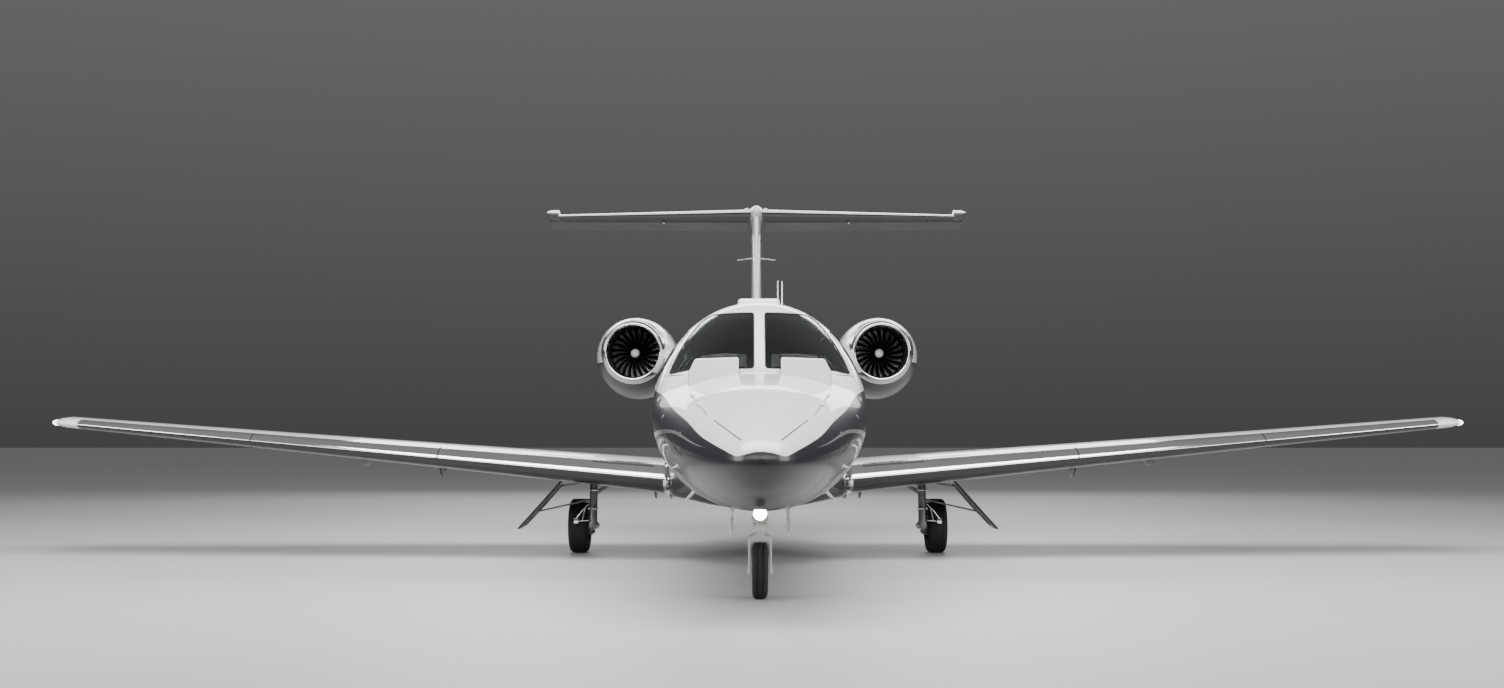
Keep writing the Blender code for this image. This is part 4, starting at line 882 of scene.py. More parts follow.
def cabin_window_outline(station, more=0.0):
    """A rectangle 0.36 m by 0.40 m whose corners are quarter circles of 0.115 m."""
    a = np.radians(np.linspace(0, 90, 9))
    quarter = np.stack([np.cos(a), np.sin(a)], -1) * 0.115
    turns = ((1, 1, 1), (-1, 1, -1), (-1, -1, 1), (1, -1, -1))
    corners = [(quarter[::way] * (u, v) + (u * 0.065, v * 0.085)) for u, v, way in turns]
    return grown(np.concatenate(corners) + (y_at(station), 1.860), more)


def baggage_frame(side):
    """The hinge line of a nose baggage door: its start, its direction, the outward normal and its length."""
    near = body_surface(HATCH_STATIONS, [HATCH_HINGE_ANGLE])[:, 0]
    inner = body_surface(HATCH_STATIONS, [HATCH_HINGE_ANGLE], 0.1)[:, 0]
    out = near - inner
    ends = near + out / np.linalg.norm(out, axis=1, keepdims=True) * 0.020
    axis = ends[1] - ends[0]
    length = float(np.linalg.norm(axis))
    axis /= length
    middle = (body_surface([1.30], [28.0]) - body_surface([1.30], [28.0], 0.1))[0, 0]
    middle -= axis * (middle @ axis)
    middle /= np.linalg.norm(middle)
    flip = np.array((side, 1, 1))
    return ends[0] * flip, axis * flip, middle * flip, length


def baggage_block(name, side, grow):
    """A block round the baggage door: along its hinge line, down the side, and outwards."""
    start, axis, out, length = baggage_frame(side)
    down = np.cross(out, axis)
    low, high = ((-HATCH_DEPTH - grow, grow) if side > 0 else (-grow, HATCH_DEPTH + grow))
    corners = [(-grow, low), (length + grow, low), (length + grow, high), (-grow, high)]
    rings = [[start + axis * u + down * v + out * w for u, v in corners] for w in (-0.16, 0.10)]
    return tube(name, rings, smooth=False)


def door_block(name, grow):
    """The doorway's block, bounded by two stations and two angles of the body's section."""
    extra = math.degrees(grow / 0.87)
    angles = np.linspace(DOOR_ANGLES[0] - extra, DOOR_ANGLES[1] + extra, 25)
    stations = [DOOR_STATIONS[0] - grow, DOOR_STATIONS[1] + grow]
    outer = body_surface(stations, angles, -0.10)
    inner = body_surface(stations, angles, SKIN + 0.12)
    return sheet_solid(name, outer, inner, smooth=False)


windows = {side: ((DOOR_SIDE_WINDOW,) if side < 0 else ()) + WINDOW_STATIONS for side, _ in SIDES}
print("cabin windows on the left and right:", [len(windows[side]) for side, _ in SIDES])

# %% Outer skin from nose cone to tail
PROUD = 0.003
RADOME_END = 0.62


def skin_offset(stations):
    """The skin stands 3 mm proud of the solids, and runs down to nothing at the tip of the nose."""
    return -PROUD * np.clip(np.asarray(stations) / 0.5, 0, 1)


def spaced(*ends):
    """Stations between the given ends, each span with its own step."""
    spans = [np.arange(a, b, step) for a, b, step in ends]
    return np.concatenate(spans + [[ends[-1][1]]])


nose_stations = spaced((RADOME_END + 0.002, 1.60, 0.05), (1.60, 2.02, 0.03))
cockpit_stations = spaced((2.02, 3.56, 0.03))
cabin_stations = spaced((3.56, 7.90, 0.06))
tail_stations = spaced((7.90, 12.20, 0.06))
around = np.arange(0, 360, 2.5)


def wall_depth(stations):
    """How far in the wall's inner face lies: thin on the solid nose, a real wall from the cockpit aft."""
    rows = ((0.0, -0.0005), (2.02, -0.0005), (2.03, SKIN), (7.90, SKIN), (8.00, 0.022), (13.0, 0.022))
    return np.interp(stations, *np.array(rows).T)


skin_stations = np.concatenate([nose_stations[:-1], cockpit_stations[:-1], cabin_stations[:-1],
                                tail_stations])
outside = body_surface(skin_stations, around, skin_offset(skin_stations))
inside = body_surface(skin_stations[::-1], around, wall_depth(skin_stations[::-1]))
fuselage = ring_solid("fuselage_skin", np.concatenate([outside, inside]), finishes["livery"])

bay = block("nose gear bay", (-BAY_HALF, y_at(1.02), 0.30), (BAY_HALF, y_at(1.98), 1.02))
first, second = [bay, door_block("doorway", 0.006)], []
for side, word in SIDES:
    first.append(windscreen_block(side, word))
    second.append(baggage_block("hatch " + word, side, 0.003))
    second.append(side_window_block(side, word))
    first += [cabin_window_block(side, word, station) for station in windows[side]]
carve(fuselage, joined("first openings", *first), joined("second openings", *second))
piece(fuselage, "airframe", "white_paint", "cockpit_shell", "cabin_upper", "cabin_lower", "tail_shell")
print("fuselage skin:", len(fuselage.data.polygons), "faces")

# %% Nose cone
cone_stations = np.concatenate([[0.0, 0.004, 0.01], np.linspace(0.02, 0.20, 13),
                                np.linspace(0.23, RADOME_END, 14)])
cone = np.concatenate([
    body_surface(cone_stations, around, skin_offset(cone_stations)),
    body_surface([RADOME_END, 0.30, 0.12], around, 0.02),
])
nose_cone = tube("nose_cone", cone, finishes["livery"])
piece(nose_cone, "airframe", "white_composite", "radome")
print("nose cone:", len(nose_cone.data.polygons), "faces")

# %% [markdown]
# ## Finishes for the solids that stay
# Many solids already have the right shape, such as doors, levers and flat covers. They keep it, and their
# plain colour gives way to the finish that their slot names.

# %% Assign finishes to the solids
SLOT_FINISH = {
    "white_paint": "white", "white_composite": "white_composite", "charcoal_paint": "charcoal",
    "charcoal_composite": "livery", "polished_metal": "polished", "steel": "steel", "gear_paint": "gear",
    "tyre_rubber": "tyre", "tinted_glass": "glass", "engine_metal": "nozzle", "leather": "leather",
    "avionics": "panel", "trim": "trim", "carpet": "carpet",
}
slot_of = {part["node"]: part["material_slot"] for part in frame["record"]["subparts"]}
for node, solid in frame["nodes"].items():
    for place in range(len(solid.material_slots)):
        solid.material_slots[place].material = finishes[SLOT_FINISH[slot_of[node]]]
print(len(slot_of), "solids have a finish")

# %% [markdown]
# ## Glass and seals
# The panes follow the body, so they are cut from thin tubes of the same surface, a little inside the skin.
# Round each opening runs a black seal: a small oval carried along the outline of the window, laid on the
# body.

# %% Points and normals on the body


def body_measure(points):
    """(x / half)^2 + ((z - widest) / reach)^2, which is 1 on the surface."""
    half, bottom, top, widest = body_rows(points[:, 1] + LENGTH / 2).T
    reach = np.where(points[:, 2] > widest, top - widest, widest - bottom)
    return (points[:, 0] / half) ** 2 + ((points[:, 2] - widest) / reach) ** 2


def body_normal(points):
    """The direction in which that measure grows fastest, from small differences along each axis."""
    steps = np.eye(3) * 1e-4
    slopes = [body_measure(points + step) - body_measure(points - step) for step in steps]
    normal = np.stack(slopes, -1)
    return normal / np.linalg.norm(normal, axis=1, keepdims=True)


def onto_nose(outline):
    """Points seen from ahead at (x, z), set back along Y to the surface."""
    x, z = np.asarray(outline, float).T
    return np.stack([x, y_at(station_of(np.abs(x), z, 1.9)), z], -1)


def onto_side(outline, side):
    """Points seen from the side at (y, z), set out along X to the surface."""
    y, z = np.asarray(outline, float).T
    half, bottom, top, widest = body_rows(y + LENGTH / 2).T
    reach = np.where(z > widest, top - widest, widest - bottom)
    x = half * np.sqrt(np.clip(1 - ((z - widest) / reach) ** 2, 0, 1))
    return np.stack([side * x, y, z], -1)


def bead(name, path, normal, width, height, finish, facets=10, closed=True):
    """An oval section, width across and height proud, carried along a path on a surface."""
    ahead = np.roll(path, -1, axis=0) - np.roll(path, 1, axis=0)
    if not closed:
        ahead[0], ahead[-1] = path[1] - path[0], path[-1] - path[-2]
    ahead /= np.linalg.norm(ahead, axis=1, keepdims=True)
    across = np.cross(normal, ahead)
    across /= np.linalg.norm(across, axis=1, keepdims=True)
    a = 2 * np.pi * np.arange(facets) / facets
    wide, tall = (width / 2 * np.cos(a))[:, None], (height * np.sin(a))[:, None]
    grid = path[:, None] + (across[:, None] * wide + normal[:, None] * tall)
    return ring_solid(name, grid, finish) if closed else tube(name, grid, finish)


def evenly(path, step, closed=True):
    """The same line with points a step apart."""
    points = np.concatenate([path, path[:1]]) if closed else np.asarray(path)
    lengths = np.concatenate([[0], np.cumsum(np.linalg.norm(np.diff(points, axis=0), axis=1))])
    keep = np.concatenate([[True], np.diff(lengths) > 1e-7])
    at = np.linspace(0, lengths[-1], max(int(lengths[-1] / step), 4) + 1)
    even = np.stack([np.interp(at, lengths[keep], points[keep, k]) for k in range(points.shape[1])], -1)
    return even[:-1] if closed else even


print("points on the body are ready")

# %% Panes
glass_stations = spaced((2.00, 3.56, 0.04))
PANE_GAP = 0.0006


def glazing(name, stations, cutter, depth, thick, *nodes):
    """A tube of glass over the stations, of which only what lies inside the cutter is kept."""
    skin = body_surface(stations, around, depth)
    back = body_surface(stations[::-1], around, depth + thick)
    pane = ring_solid(name, np.concatenate([skin, back]), finishes["glass"])
    carve(pane, cutter, operation="INTERSECT")
    return piece(pane, "airframe", "tinted_glass", *nodes)


screens = [windscreen_block(side, word, -PANE_GAP) for side, word in SIDES]
glazing("windscreen_panes", glass_stations, joined("screens", *screens), 0.001, 0.014,
        "windscreen_left", "windscreen_right")
sides = [side_window_block(side, word, -PANE_GAP) for side, word in SIDES]
glazing("cockpit_side_panes", glass_stations, joined("sides", *sides), 0.001, 0.012,
        "cockpit_window_left", "cockpit_window_right")
for side, word in SIDES:
    plugs = [cabin_window_block(side, word, station, -PANE_GAP) for station in windows[side]]
    stations = spaced((windows[side][0] - 0.25, windows[side][-1] + 0.25, 0.05))
    glazing("cabin_panes_" + word, stations, joined("plugs", *plugs), 0.002, 0.010,
            "cabin_window_panes_" + word)
print("panes are cut")

# %% Seals and inner window frames
for side, word in SIDES:
    paths = [onto_nose(evenly(windscreen_outline(side, 0.001), 0.02))]
    paths.append(onto_side(evenly(side_window_outline(0.001), 0.02), side))
    paths += [onto_side(evenly(cabin_window_outline(s, 0.001), 0.02), side) for s in windows[side]]
    seals, frames = [], []
    for number, path in enumerate(paths):
        out = body_normal(path)
        seals.append(bead(f"seal {word} {number}", path + out * 0.0022, out, 0.010, 0.0024,
                          finishes["seal"]))
        if number > 1:
            frames.append(bead(f"frame {word} {number}", path - out * 0.052, out, 0.060, 0.012,
                               finishes["trim"], 12))
    fitting("window_seals_" + word, seals, "seal", "trim")
    fitting("window_frames_" + word, frames, "trim", "trim")
    print(len(paths), "seals on the", word)

# %% [markdown]
# ## Doors in the skin
# A door has to close flush, so it is the same surface as the skin round it, between the same offsets. The
# cabin door is a plain patch of stations and angles. The hatches in the nose are cut from a patch with
# their own block.

# %% Cabin door
door_stations = np.linspace(*DOOR_STATIONS, 17)
door_angles = np.linspace(*DOOR_ANGLES, 49)
door_outside = body_surface(door_stations, door_angles, -PROUD)
door = sheet_solid("cabin_door_shell", door_outside, body_surface(door_stations, door_angles, SKIN),
                   finishes["livery"])
piece(door, "cabin_door", "white_paint", "cabin_door")

lining_stations = np.linspace(DOOR_STATIONS[0] + 0.02, DOOR_STATIONS[1] - 0.02, 15)
lining_angles = np.linspace(DOOR_ANGLES[0] + 2, DOOR_ANGLES[1] - 2, 41)
lining = sheet_solid("cabin_door_lining", body_surface(lining_stations, lining_angles, SKIN - 0.004),
                     body_surface(lining_stations, lining_angles, SKIN + 0.008), finishes["trim"])
piece(lining, "cabin_door", "trim")

DOOR_OPEN = 128.0
turn = math.radians(DOOR_OPEN)
tread = np.array((math.cos(turn), 0, math.sin(turn)))
rise = np.array((math.sin(turn), 0, -math.cos(turn)))
treads, grips = [], []
for number, degrees in enumerate((-33.0, -10.0, 13.0)):
    start = body_surface([4.0], [degrees], SKIN - 0.008)[0, 0]
    corners = []
    for reach, up in ((0, 0), (0.195, 0), (0.20, 0.004), (0.20, 0.026), (0.195, 0.03), (0, 0.03)):
        point = start + tread * reach + rise * up
        corners.append((point[0], point[2]))
    low, high = y_at(DOOR_STATIONS[0] + 0.085), y_at(DOOR_STATIONS[1] - 0.085)
    treads.append(prism(f"tread {number}", corners, "Y", low, high))
    for strip in range(5):
        near = start + tread * (0.045 + strip * 0.032) + rise * 0.030
        far = start + tread * (0.062 + strip * 0.032) + rise * 0.0325
        grip = [(near[0], near[2]), (near + tread * 0.017)[[0, 2]], far[[0, 2]],
                (far - tread * 0.017)[[0, 2]]]
        grips.append(prism(f"grip {number} {strip}", grip, "Y", low + 0.03, high - 0.03))
fitting("cabin_door_steps", treads, "steel", "steel", "cabin_door")
fitting("cabin_door_step_grips", grips, "seal", "trim", "cabin_door")
print("the door is", round(float(np.ptp(door_outside[..., 2])), 2), "m high and opens down by", DOOR_OPEN,
      "degrees")

# %% Door handle and hatch skins
plate_stations, plate_angles = np.linspace(3.90, 4.06, 9), np.linspace(12.0, 17.0, 7)
plate = [body_surface(plate_stations, plate_angles, depth) for depth in (-PROUD - 0.001, 0.002)]
handle_plate = sheet_solid("door_handle_plate", *plate, finishes["steel"])
piece(handle_plate, "cabin_door", "steel")
grip_path = body_surface(np.linspace(3.915, 4.045, 12), [14.5], -PROUD - 0.006)[:, 0]
handle = bead("door_handle", grip_path, body_normal(grip_path), 0.022, 0.006, finishes["polished"], 12,
              False)
piece(handle, "cabin_door", "steel")

hatch_stations = np.linspace(0.70, 1.90, 41)
for side, word in SIDES:
    angles = np.linspace(-20, 75, 41) if side > 0 else np.linspace(200, 105, 41)
    outer = body_surface(hatch_stations, angles, -PROUD)
    inner = body_surface(hatch_stations, angles, -0.0004)
    hatch = sheet_solid("baggage_hatch_skin_" + word, outer, inner, finishes["livery"])
    carve(hatch, baggage_block("hatch edge", side, -0.003), operation="INTERSECT")
    piece(hatch, "nose_baggage_door_" + word, "white_paint")
    latches = []
    for station in (0.98, 1.62):
        base = body_surface([station], [14.0 if side > 0 else 166.0], -PROUD)[0]
        out = body_normal(base)[0]
        latches.append(turned(f"latch {station}", [(-0.003, 0.019), (0.0015, 0.019), (0.0025, 0.015)],
                              base[0], out, None, 24))
    fitting("hatch_latches_" + word, latches, "steel", "steel", "nose_baggage_door_" + word)
    print(word, "hatch skin:", len(hatch.data.polygons), "faces")

# %% [markdown]
# ## Wings
# The wing is long, thin and nearly straight, so its section can be ruled from root to tip: the same curve,
# scaled by the chord at each distance. Its front is a separate strip of bare polished metal, and flaps and
# ailerons turn in round coves at the back. The underside of the wing, and of the strip below its chord line,
# is charcoal as painted shade. The solids of flaps and ailerons are flat enough to keep.

# %% Wing tables and section
WING = (
    (0.86, 5.150, 2.150, 0.786, 0.158),
    (7.02, 5.800, 0.920, 1.342, 0.120),
    (7.09, 5.835, 0.870, 1.348, 0.105),
    (7.13, 5.885, 0.790, 1.351, 0.075),
    (7.15, 5.960, 0.660, 1.352, 0.030),
)
TAILPLANE = (
    (0.00, 11.500, 1.300, 4.305, 0.090),
    (2.90, 11.930, 0.800, 4.305, 0.085),
    (2.95, 11.965, 0.740, 4.305, 0.060),
    (2.97, 12.020, 0.650, 4.305, 0.025),
)
CAMBER = 0.016
TRAILING_EDGE = 0.006
LEADING_EDGE_SHARE = 0.11


def half_depth(c):
    """0.2969 sqrt c - 0.126 c - 0.3516 c^2 + 0.2843 c^3 - 0.1036 c^4 at a share c of the chord."""
    return 0.2969 * np.sqrt(c) - 0.1260 * c - 0.3516 * c**2 + 0.2843 * c**3 - 0.1036 * c**4


def section(share, chord, ratio):
    """Middle line 4 m c (1 - c), and half depth 5 t times the curve above, plus the trailing edge."""
    c = np.clip(share, 0, 1)
    return CAMBER * chord * 4 * c * (1 - c), 5 * ratio * chord * half_depth(c) + TRAILING_EDGE / 2 * c


def crowded(points):
    """Shares from 0 to 1 that crowd together at both ends: (1 - cos a) / 2."""
    return (1 - np.cos(np.linspace(0, np.pi, points))) / 2


def there_and_back(share):
    """Shares from back to front and back again, with 1 along the first way and -1 along the second."""
    points = len(share)
    signs = np.concatenate([np.ones(points), -np.ones(points - 1)])
    return np.concatenate([share[::-1], share[1:]]), signs


def wing_rings(table, distances, last_share=1.0, points=34):
    """One ring per distance: along the top from the back to the front, and back along the bottom."""
    rows = np.array(table, float)
    x = np.asarray(distances, float)
    lead, chord, z, ratio = (np.interp(x, rows[:, 0], rows[:, k])[:, None] for k in range(1, 5))
    share = crowded(points) if last_share == 1 else last_share * np.linspace(0, 1, points) ** 2
    both, sign = there_and_back(share)
    middle, depth = section(both, chord, ratio)
    heights = z + middle + sign * depth
    return np.stack([np.broadcast_to(x[:, None], heights.shape), y_at(lead + both * chord), heights], -1)


def wing_row(x):
    """The wing's numbers at a distance from the middle, on the straight part."""
    inner, outer = np.array(WING[:2], float)
    return inner + (outer - inner) * (x - inner[0]) / (outer[0] - inner[0])


def chord_point(x, share):
    """The middle of the wing's depth at a share of the chord."""
    row = wing_row(x)
    return np.array((x, y_at(row[1] + share * row[2]), row[3] + float(section(share, row[2], row[4])[0])))


def chord_depth(x, share):
    row = wing_row(x)
    return float(section(share, row[2], row[4])[1])


def cove_cutters(name, hinge, tips, radii):
    """The room for a control surface: a cone about the hinge line, and a slab behind it."""
    hinge, tips = np.array(hinge), np.array(tips)
    along = (hinge[1] - hinge[0]) / np.linalg.norm(hinge[1] - hinge[0])
    ends = [hinge[0] - along * 0.012, hinge[1] + along * 0.012]
    grown_radii = [r + 0.006 for r in radii]
    slant = abs((tips[0] - hinge[0]) @ along) / np.linalg.norm(tips[0] - hinge[0]) * 1.03
    near, far = ends[0] - along * grown_radii[0] * slant, ends[1] + along * grown_radii[1] * slant
    nose = rod(name + " nose", near, far, grown_radii[0], None, grown_radii[1], 48)
    rings = []
    for end, pivot, tip, radius in zip(ends, hinge, tips, grown_radii):
        back = (tip - pivot) / np.linalg.norm(tip - pivot)
        up = np.array((0, 0, 1.0)) if abs(back[2]) < 0.9 and name != "rudder" else np.array((1.0, 0, 0))
        up = up - back * (up @ back)
        up /= np.linalg.norm(up)
        reach = up * radius * 4
        behind = end + back * np.linalg.norm(tip - pivot) * 1.5
        rings.append([end + reach, behind + reach, behind - reach, end - reach])
    return nose, tube(name + " blade", rings, smooth=False)


print("wing section ready, span", 2 * WING[-1][0], "m")

# %% White paint above, and painted shade below, a sloping plane


def plane_paint(name, height, rise_out=0.0, rise_aft=0.0):
    """White paint above, and charcoal as painted shade below, the plane z = height + rise_out |x| + rise_aft
    y.
    """
    made, tree, shader, white = white_base(name)
    axes = on_object(tree, "ShaderNodeSeparateXYZ")
    out = calculate(tree, "ABSOLUTE", axes.outputs["X"])
    level = calculate(tree, "MULTIPLY_ADD", out, rise_out, height)
    tilt = calculate(tree, "MULTIPLY_ADD", axes.outputs["Y"], rise_aft, level)
    # below is the mask of the charcoal painted shade.
    below = remap(tree, calculate(tree, "SUBTRACT", tilt, axes.outputs["Z"]), -0.0005, 0.0005)
    link(tree, mixed(tree, below, white, CHARCOAL), shader.inputs["Base Color"])
    add_thin_coat(tree, shader, below)
    return made


ROOT_X, ROOT_Z = WING[0][0], WING[0][3]
STRAIGHT_END = WING[1][0]
WING_RISE = (WING[1][3] - ROOT_Z) / (STRAIGHT_END - ROOT_X)
TAIL_Z = 4.305
ELEVATOR_HINGE = 12.340
droop = math.tan(math.radians(14.0))
# The wing is white above and charcoal below its chord plane, the charcoal being painted shade on the
# underside.
finishes["wing"] = plane_paint("wing_paint_and_painted_shade", ROOT_Z - ROOT_X * WING_RISE, WING_RISE)
# The cowls are white above and charcoal below 2.06 m, the charcoal being painted shade on their lower
# halves.
finishes["nacelle"] = plane_paint("nacelle_paint_and_painted_shade", 2.060)
# Tailplane and elevators are white above and charcoal below, the charcoal being painted shade on their
# undersides.
finishes["tailplane"] = plane_paint("tailplane_paint_and_painted_shade", TAIL_Z)
finishes["elevator"] = plane_paint("elevator_paint_and_painted_shade", TAIL_Z + droop * y_at(ELEVATOR_HINGE), 0.0, -droop)
print("split paints: wing, nacelle, tailplane and elevator")

# %% Wing skins and bright leading edges
SURFACES = (("flap", 0.930, 4.080, 0.735), ("aileron", 4.150, 6.640, 0.735))
tip_distances = STRAIGHT_END + 0.13 * np.sin(np.linspace(0, np.pi / 2, 9))
wing_distances = np.concatenate([np.linspace(ROOT_X, 7.00, 42), tip_distances])
wing = tube("wing_skin_left", wing_rings(WING, wing_distances), finishes["wing"])
METAL_ENDS = (0.90, 6.86)
edge_ends = [(x, -0.3) for x in METAL_ENDS] + [(x, LEADING_EDGE_SHARE) for x in METAL_ENDS[::-1]]
edge_corners = [chord_point(x, share)[:2] for x, share in edge_ends]
carve(wing, prism("leading edge room", edge_corners, "Z", 0.0, 3.0))
carve(wing, block("wheel well", (1.10, y_at(5.92), 0.40), (2.02, y_at(6.46), 0.905)))
for kind, x0, x1, share in SURFACES:
    hinge = [chord_point(x, share) for x in (x0, x1)]
    tips = [chord_point(x, 0.998) for x in (x0, x1)]
    radii = [chord_depth(x, share) * 0.985 for x in (x0, x1)]
    nose, blade = cove_cutters(kind, hinge, tips, radii)
    carve(wing, nose, blade)
wing.data.materials.append(finishes["white"])
set_finish_places(wing.data, read_faces(wing.data, "center")[:, 0] > METAL_ENDS[1])
edge_distances = np.linspace(METAL_ENDS[0] + 0.0003, METAL_ENDS[1] - 0.0003, 60)
edge = tube("bright_edge_left", wing_rings(WING, edge_distances, LEADING_EDGE_SHARE - 0.0004, 26),
            finishes["polished"])
# The part of the bright edge below the chord line is charcoal: painted shade in place of the dark it
# mirrored.
edge.data.materials.append(finishes["charcoal"])
edge_x, _, edge_z = read_faces(edge.data, "center").T
chord_line = ROOT_Z + (edge_x - ROOT_X) * WING_RISE
set_finish_places(edge.data, edge_z < chord_line - 0.001)
for word, skin, strip in (("left", wing, edge),
                          ("right", mirrored(wing, "wing_skin_right"), mirrored(edge, "bright_edge_right"))):
    piece(skin, "airframe", "white_paint", "wing_" + word)
    piece(strip, "airframe", "polished_metal", "leading_edge_" + word)
    # Flaps and ailerons take the wing paint with its charcoal painted shade underneath.
    for kind in ("flap", "aileron"):
        frame["nodes"][f"{kind}_{word}"].material_slots[0].material = finishes["wing"]
print("wing skin:", len(wing.data.polygons), "faces")

# %% [markdown]
# ## Wing fittings
# Under the wing hang slim pods that cover the flap hinges: a lens seen from below, deepest at two thirds of
# its length. At the tip a glass-nosed pod holds the position light. A small concave fillet leads the wing
# into the body, so that no sharp corner is left where the two meet.

# %% Hinge pods, tip lamps and root fillets
def smooth_path(points, steps=6):
    """A curve through all the points: with a, b, c, d as four in a row, it runs from b to c as
    (2 b + (c - a) t + (2 a - 5 b + 4 c - d) t^2 + (3 b - a - 3 c + d) t^3) / 2."""
    p = np.array(points, float)
    p = np.concatenate([[2 * p[0] - p[1]], p, [2 * p[-1] - p[-2]]])
    t = (np.arange(steps) / steps)[None, :, None]
    a, b, c, d = p[:-3, None], p[1:-2, None], p[2:-1, None], p[3:, None]
    curve = 0.5 * (2 * b + (c - a) * t + (2 * a - 5 * b + 4 * c - d) * t**2 + (3 * b - a - 3 * c + d) * t**3)
    return np.concatenate([curve.reshape(-1, p.shape[1]), p[-2:-1]])


FAIRINGS = ((1.055, 0.42, 0.665, 0.140, 0.020), (3.270, 0.42, 0.675, 0.155, 0.020),
            (4.115, 0.46, 0.900, 0.140, 0.017))
FAIRING_SHAPE = smooth_table(((0.0, 0.0), (0.14, 0.42), (0.34, 0.80), (0.60, 1.0), (0.82, 0.72), (1.0, 0.0)))


def hinge_pod(name, x, share0, share1, depth, width):
    """Rings along the chord: half an ellipse below the wing, whose size follows the pod's outline."""
    rows, facets = 26, 19
    along = (1 - np.cos(np.linspace(0.05, np.pi - 0.05, rows))) / 2
    size = FAIRING_SHAPE(along)[:, 0]
    shares = share0 + (share1 - share0) * along
    middle = np.array([chord_point(x, share) for share in shares])
    under = middle[:, 2] - np.array([chord_depth(x, share) for share in shares])
    a = np.radians(np.linspace(0, -180, facets))
    half = width * np.sqrt(size)[:, None]
    u = np.concatenate([np.broadcast_to(np.cos(a), (rows, facets)), [[-1.0, 1.0]] * rows], 1) * half
    curve = np.broadcast_to(np.sin(a), (rows, facets)) * depth * size[:, None]
    v = np.concatenate([curve, [[0.012, 0.012]] * rows], 1)
    y = np.broadcast_to(middle[:, 1:2], u.shape)
    return tube(name, np.stack([middle[:, :1] + u, y, under[:, None] + v], -1))


def root_fillet(name, finish, reach=0.052, width=0.060, last_share=1.0, more=0.0008):
    """The wing's section grown outwards by reach (1 - t)^2 while t runs from the body to the wing."""
    t = np.linspace(0, 1, 9)
    rings = wing_rings(WING, 0.858 + width * t, last_share, 40)
    along = np.roll(rings, -1, axis=1) - np.roll(rings, 1, axis=1)
    out = np.stack([0 * along[..., 0], along[..., 2], -along[..., 1]], -1)
    out /= np.linalg.norm(out, axis=-1, keepdims=True)
    centre = rings.mean(axis=1, keepdims=True)
    out *= np.sign(np.sum(out * (rings - centre), axis=(1, 2)))[:, None, None]
    return tube(name, rings + out * (reach * (1 - t) ** 2 + more)[:, None, None], finish)


pods = joined("hinge_pods_left", *[hinge_pod(f"pod {n}", *row) for n, row in enumerate(FAIRINGS)])
pods.data.materials.append(finishes["charcoal"])
pods.data.shade_smooth()
tip_lamp = (7.115, y_at(5.835), 1.350)
lamp_profile = smooth_path([(0.0, 0.003), (0.004, 0.012), (0.02, 0.022), (0.07, 0.0315)], 5)
lamp_lens = turned("tip_lamp_lens_left", lamp_profile, tip_lamp, (0, 1, 0), finishes["tip light"], 40)
pod_profile = smooth_path([(0.0705, 0.0320), (0.16, 0.0320), (0.28, 0.030), (0.37, 0.019), (0.42, 0.006)], 5)
lamp_pod = turned("tip_lamp_pod_left", pod_profile, tip_lamp, (0, 1, 0), finishes["white"], 40)
fillet = root_fillet("wing_root_fillet_left", finishes["wing"])
edge_cap = root_fillet("bright_root_cap_left", finishes["lip"], last_share=0.13, more=0.0022)


def upper_point(x, share, lift=0.0):
    """A point on the wing's upper surface, raised by lift."""
    return chord_point(x, share) + (0, 0, chord_depth(x, share) + lift)


slit_path = np.array([upper_point(x, 0.068, 0.0004) for x in np.linspace(1.02, 1.62, 20)])
slit = bead("slit", slit_path, np.tile((0.0, -0.31, 0.95), (20, 1)), 0.034, 0.0042, finishes["seal"], 12,
            False)
edge_lines = [slit]
for x in (3.15, 5.05):
    shares = np.linspace(0.0, 1.0, 14) ** 2 * LEADING_EDGE_SHARE
    around_edge = np.array([upper_point(x, share, 0.0006) for share in shares])
    edge_lines.append(bead(f"edge joint {x}", around_edge, np.tile((0.0, -0.5, 0.87), (14, 1)), 0.013,
                           0.0014, finishes["seal"], 6, False))
edge_marks = line_work("leading_edge_joints_left", edge_lines, "seal", "trim")
piece(mirrored(edge_marks, "leading_edge_joints_right"), "airframe", "trim")
for left, slot in ((pods, "charcoal_paint"), (lamp_lens, "tinted_glass"), (lamp_pod, "white_paint"),
                   (fillet, "white_paint"), (edge_cap, "polished_metal")):
    right = mirrored(left, left.name.replace("left", "right"))
    piece(left, "airframe", slot)
    piece(right, "airframe", slot)
print(len(FAIRINGS), "hinge pods a side, each", round(FAIRINGS[0][3] * 1000), "mm deep")

# %% [markdown]
# ## Fin and tailplane
# The fin leans back and carries the tailplane on its top, with a round bullet over the joint. Both use the
# wing's section with no camber. The elevators hang down by 14 degrees, as they do on a parked aircraft
# whose control column is free.

# %% Fin
FIN = (
    (2.100, 9.000, 12.170, 0.170),
    (2.360, 9.350, 12.250, 0.150),
    (2.480, 9.850, 12.290, 0.148),
    (2.640, 10.180, 12.330, 0.145),
    (4.230, 11.402, 12.707, 0.120),
)


def fin_rings(heights, points=34):
    """The section stands on end: half thickness along X, chord along Y, one ring per height."""
    rows = np.array(FIN)
    z = np.asarray(heights, float)
    lead, trail, thick = (np.interp(z, rows[:, 0], rows[:, k])[:, None] for k in (1, 2, 3))
    both, sign = there_and_back(crowded(points))
    x = sign * (5 * thick * half_depth(both) + TRAILING_EDGE / 2 * both)
    return np.stack([x, y_at(lead + both * (trail - lead)), np.broadcast_to(z[:, None], x.shape)], -1)


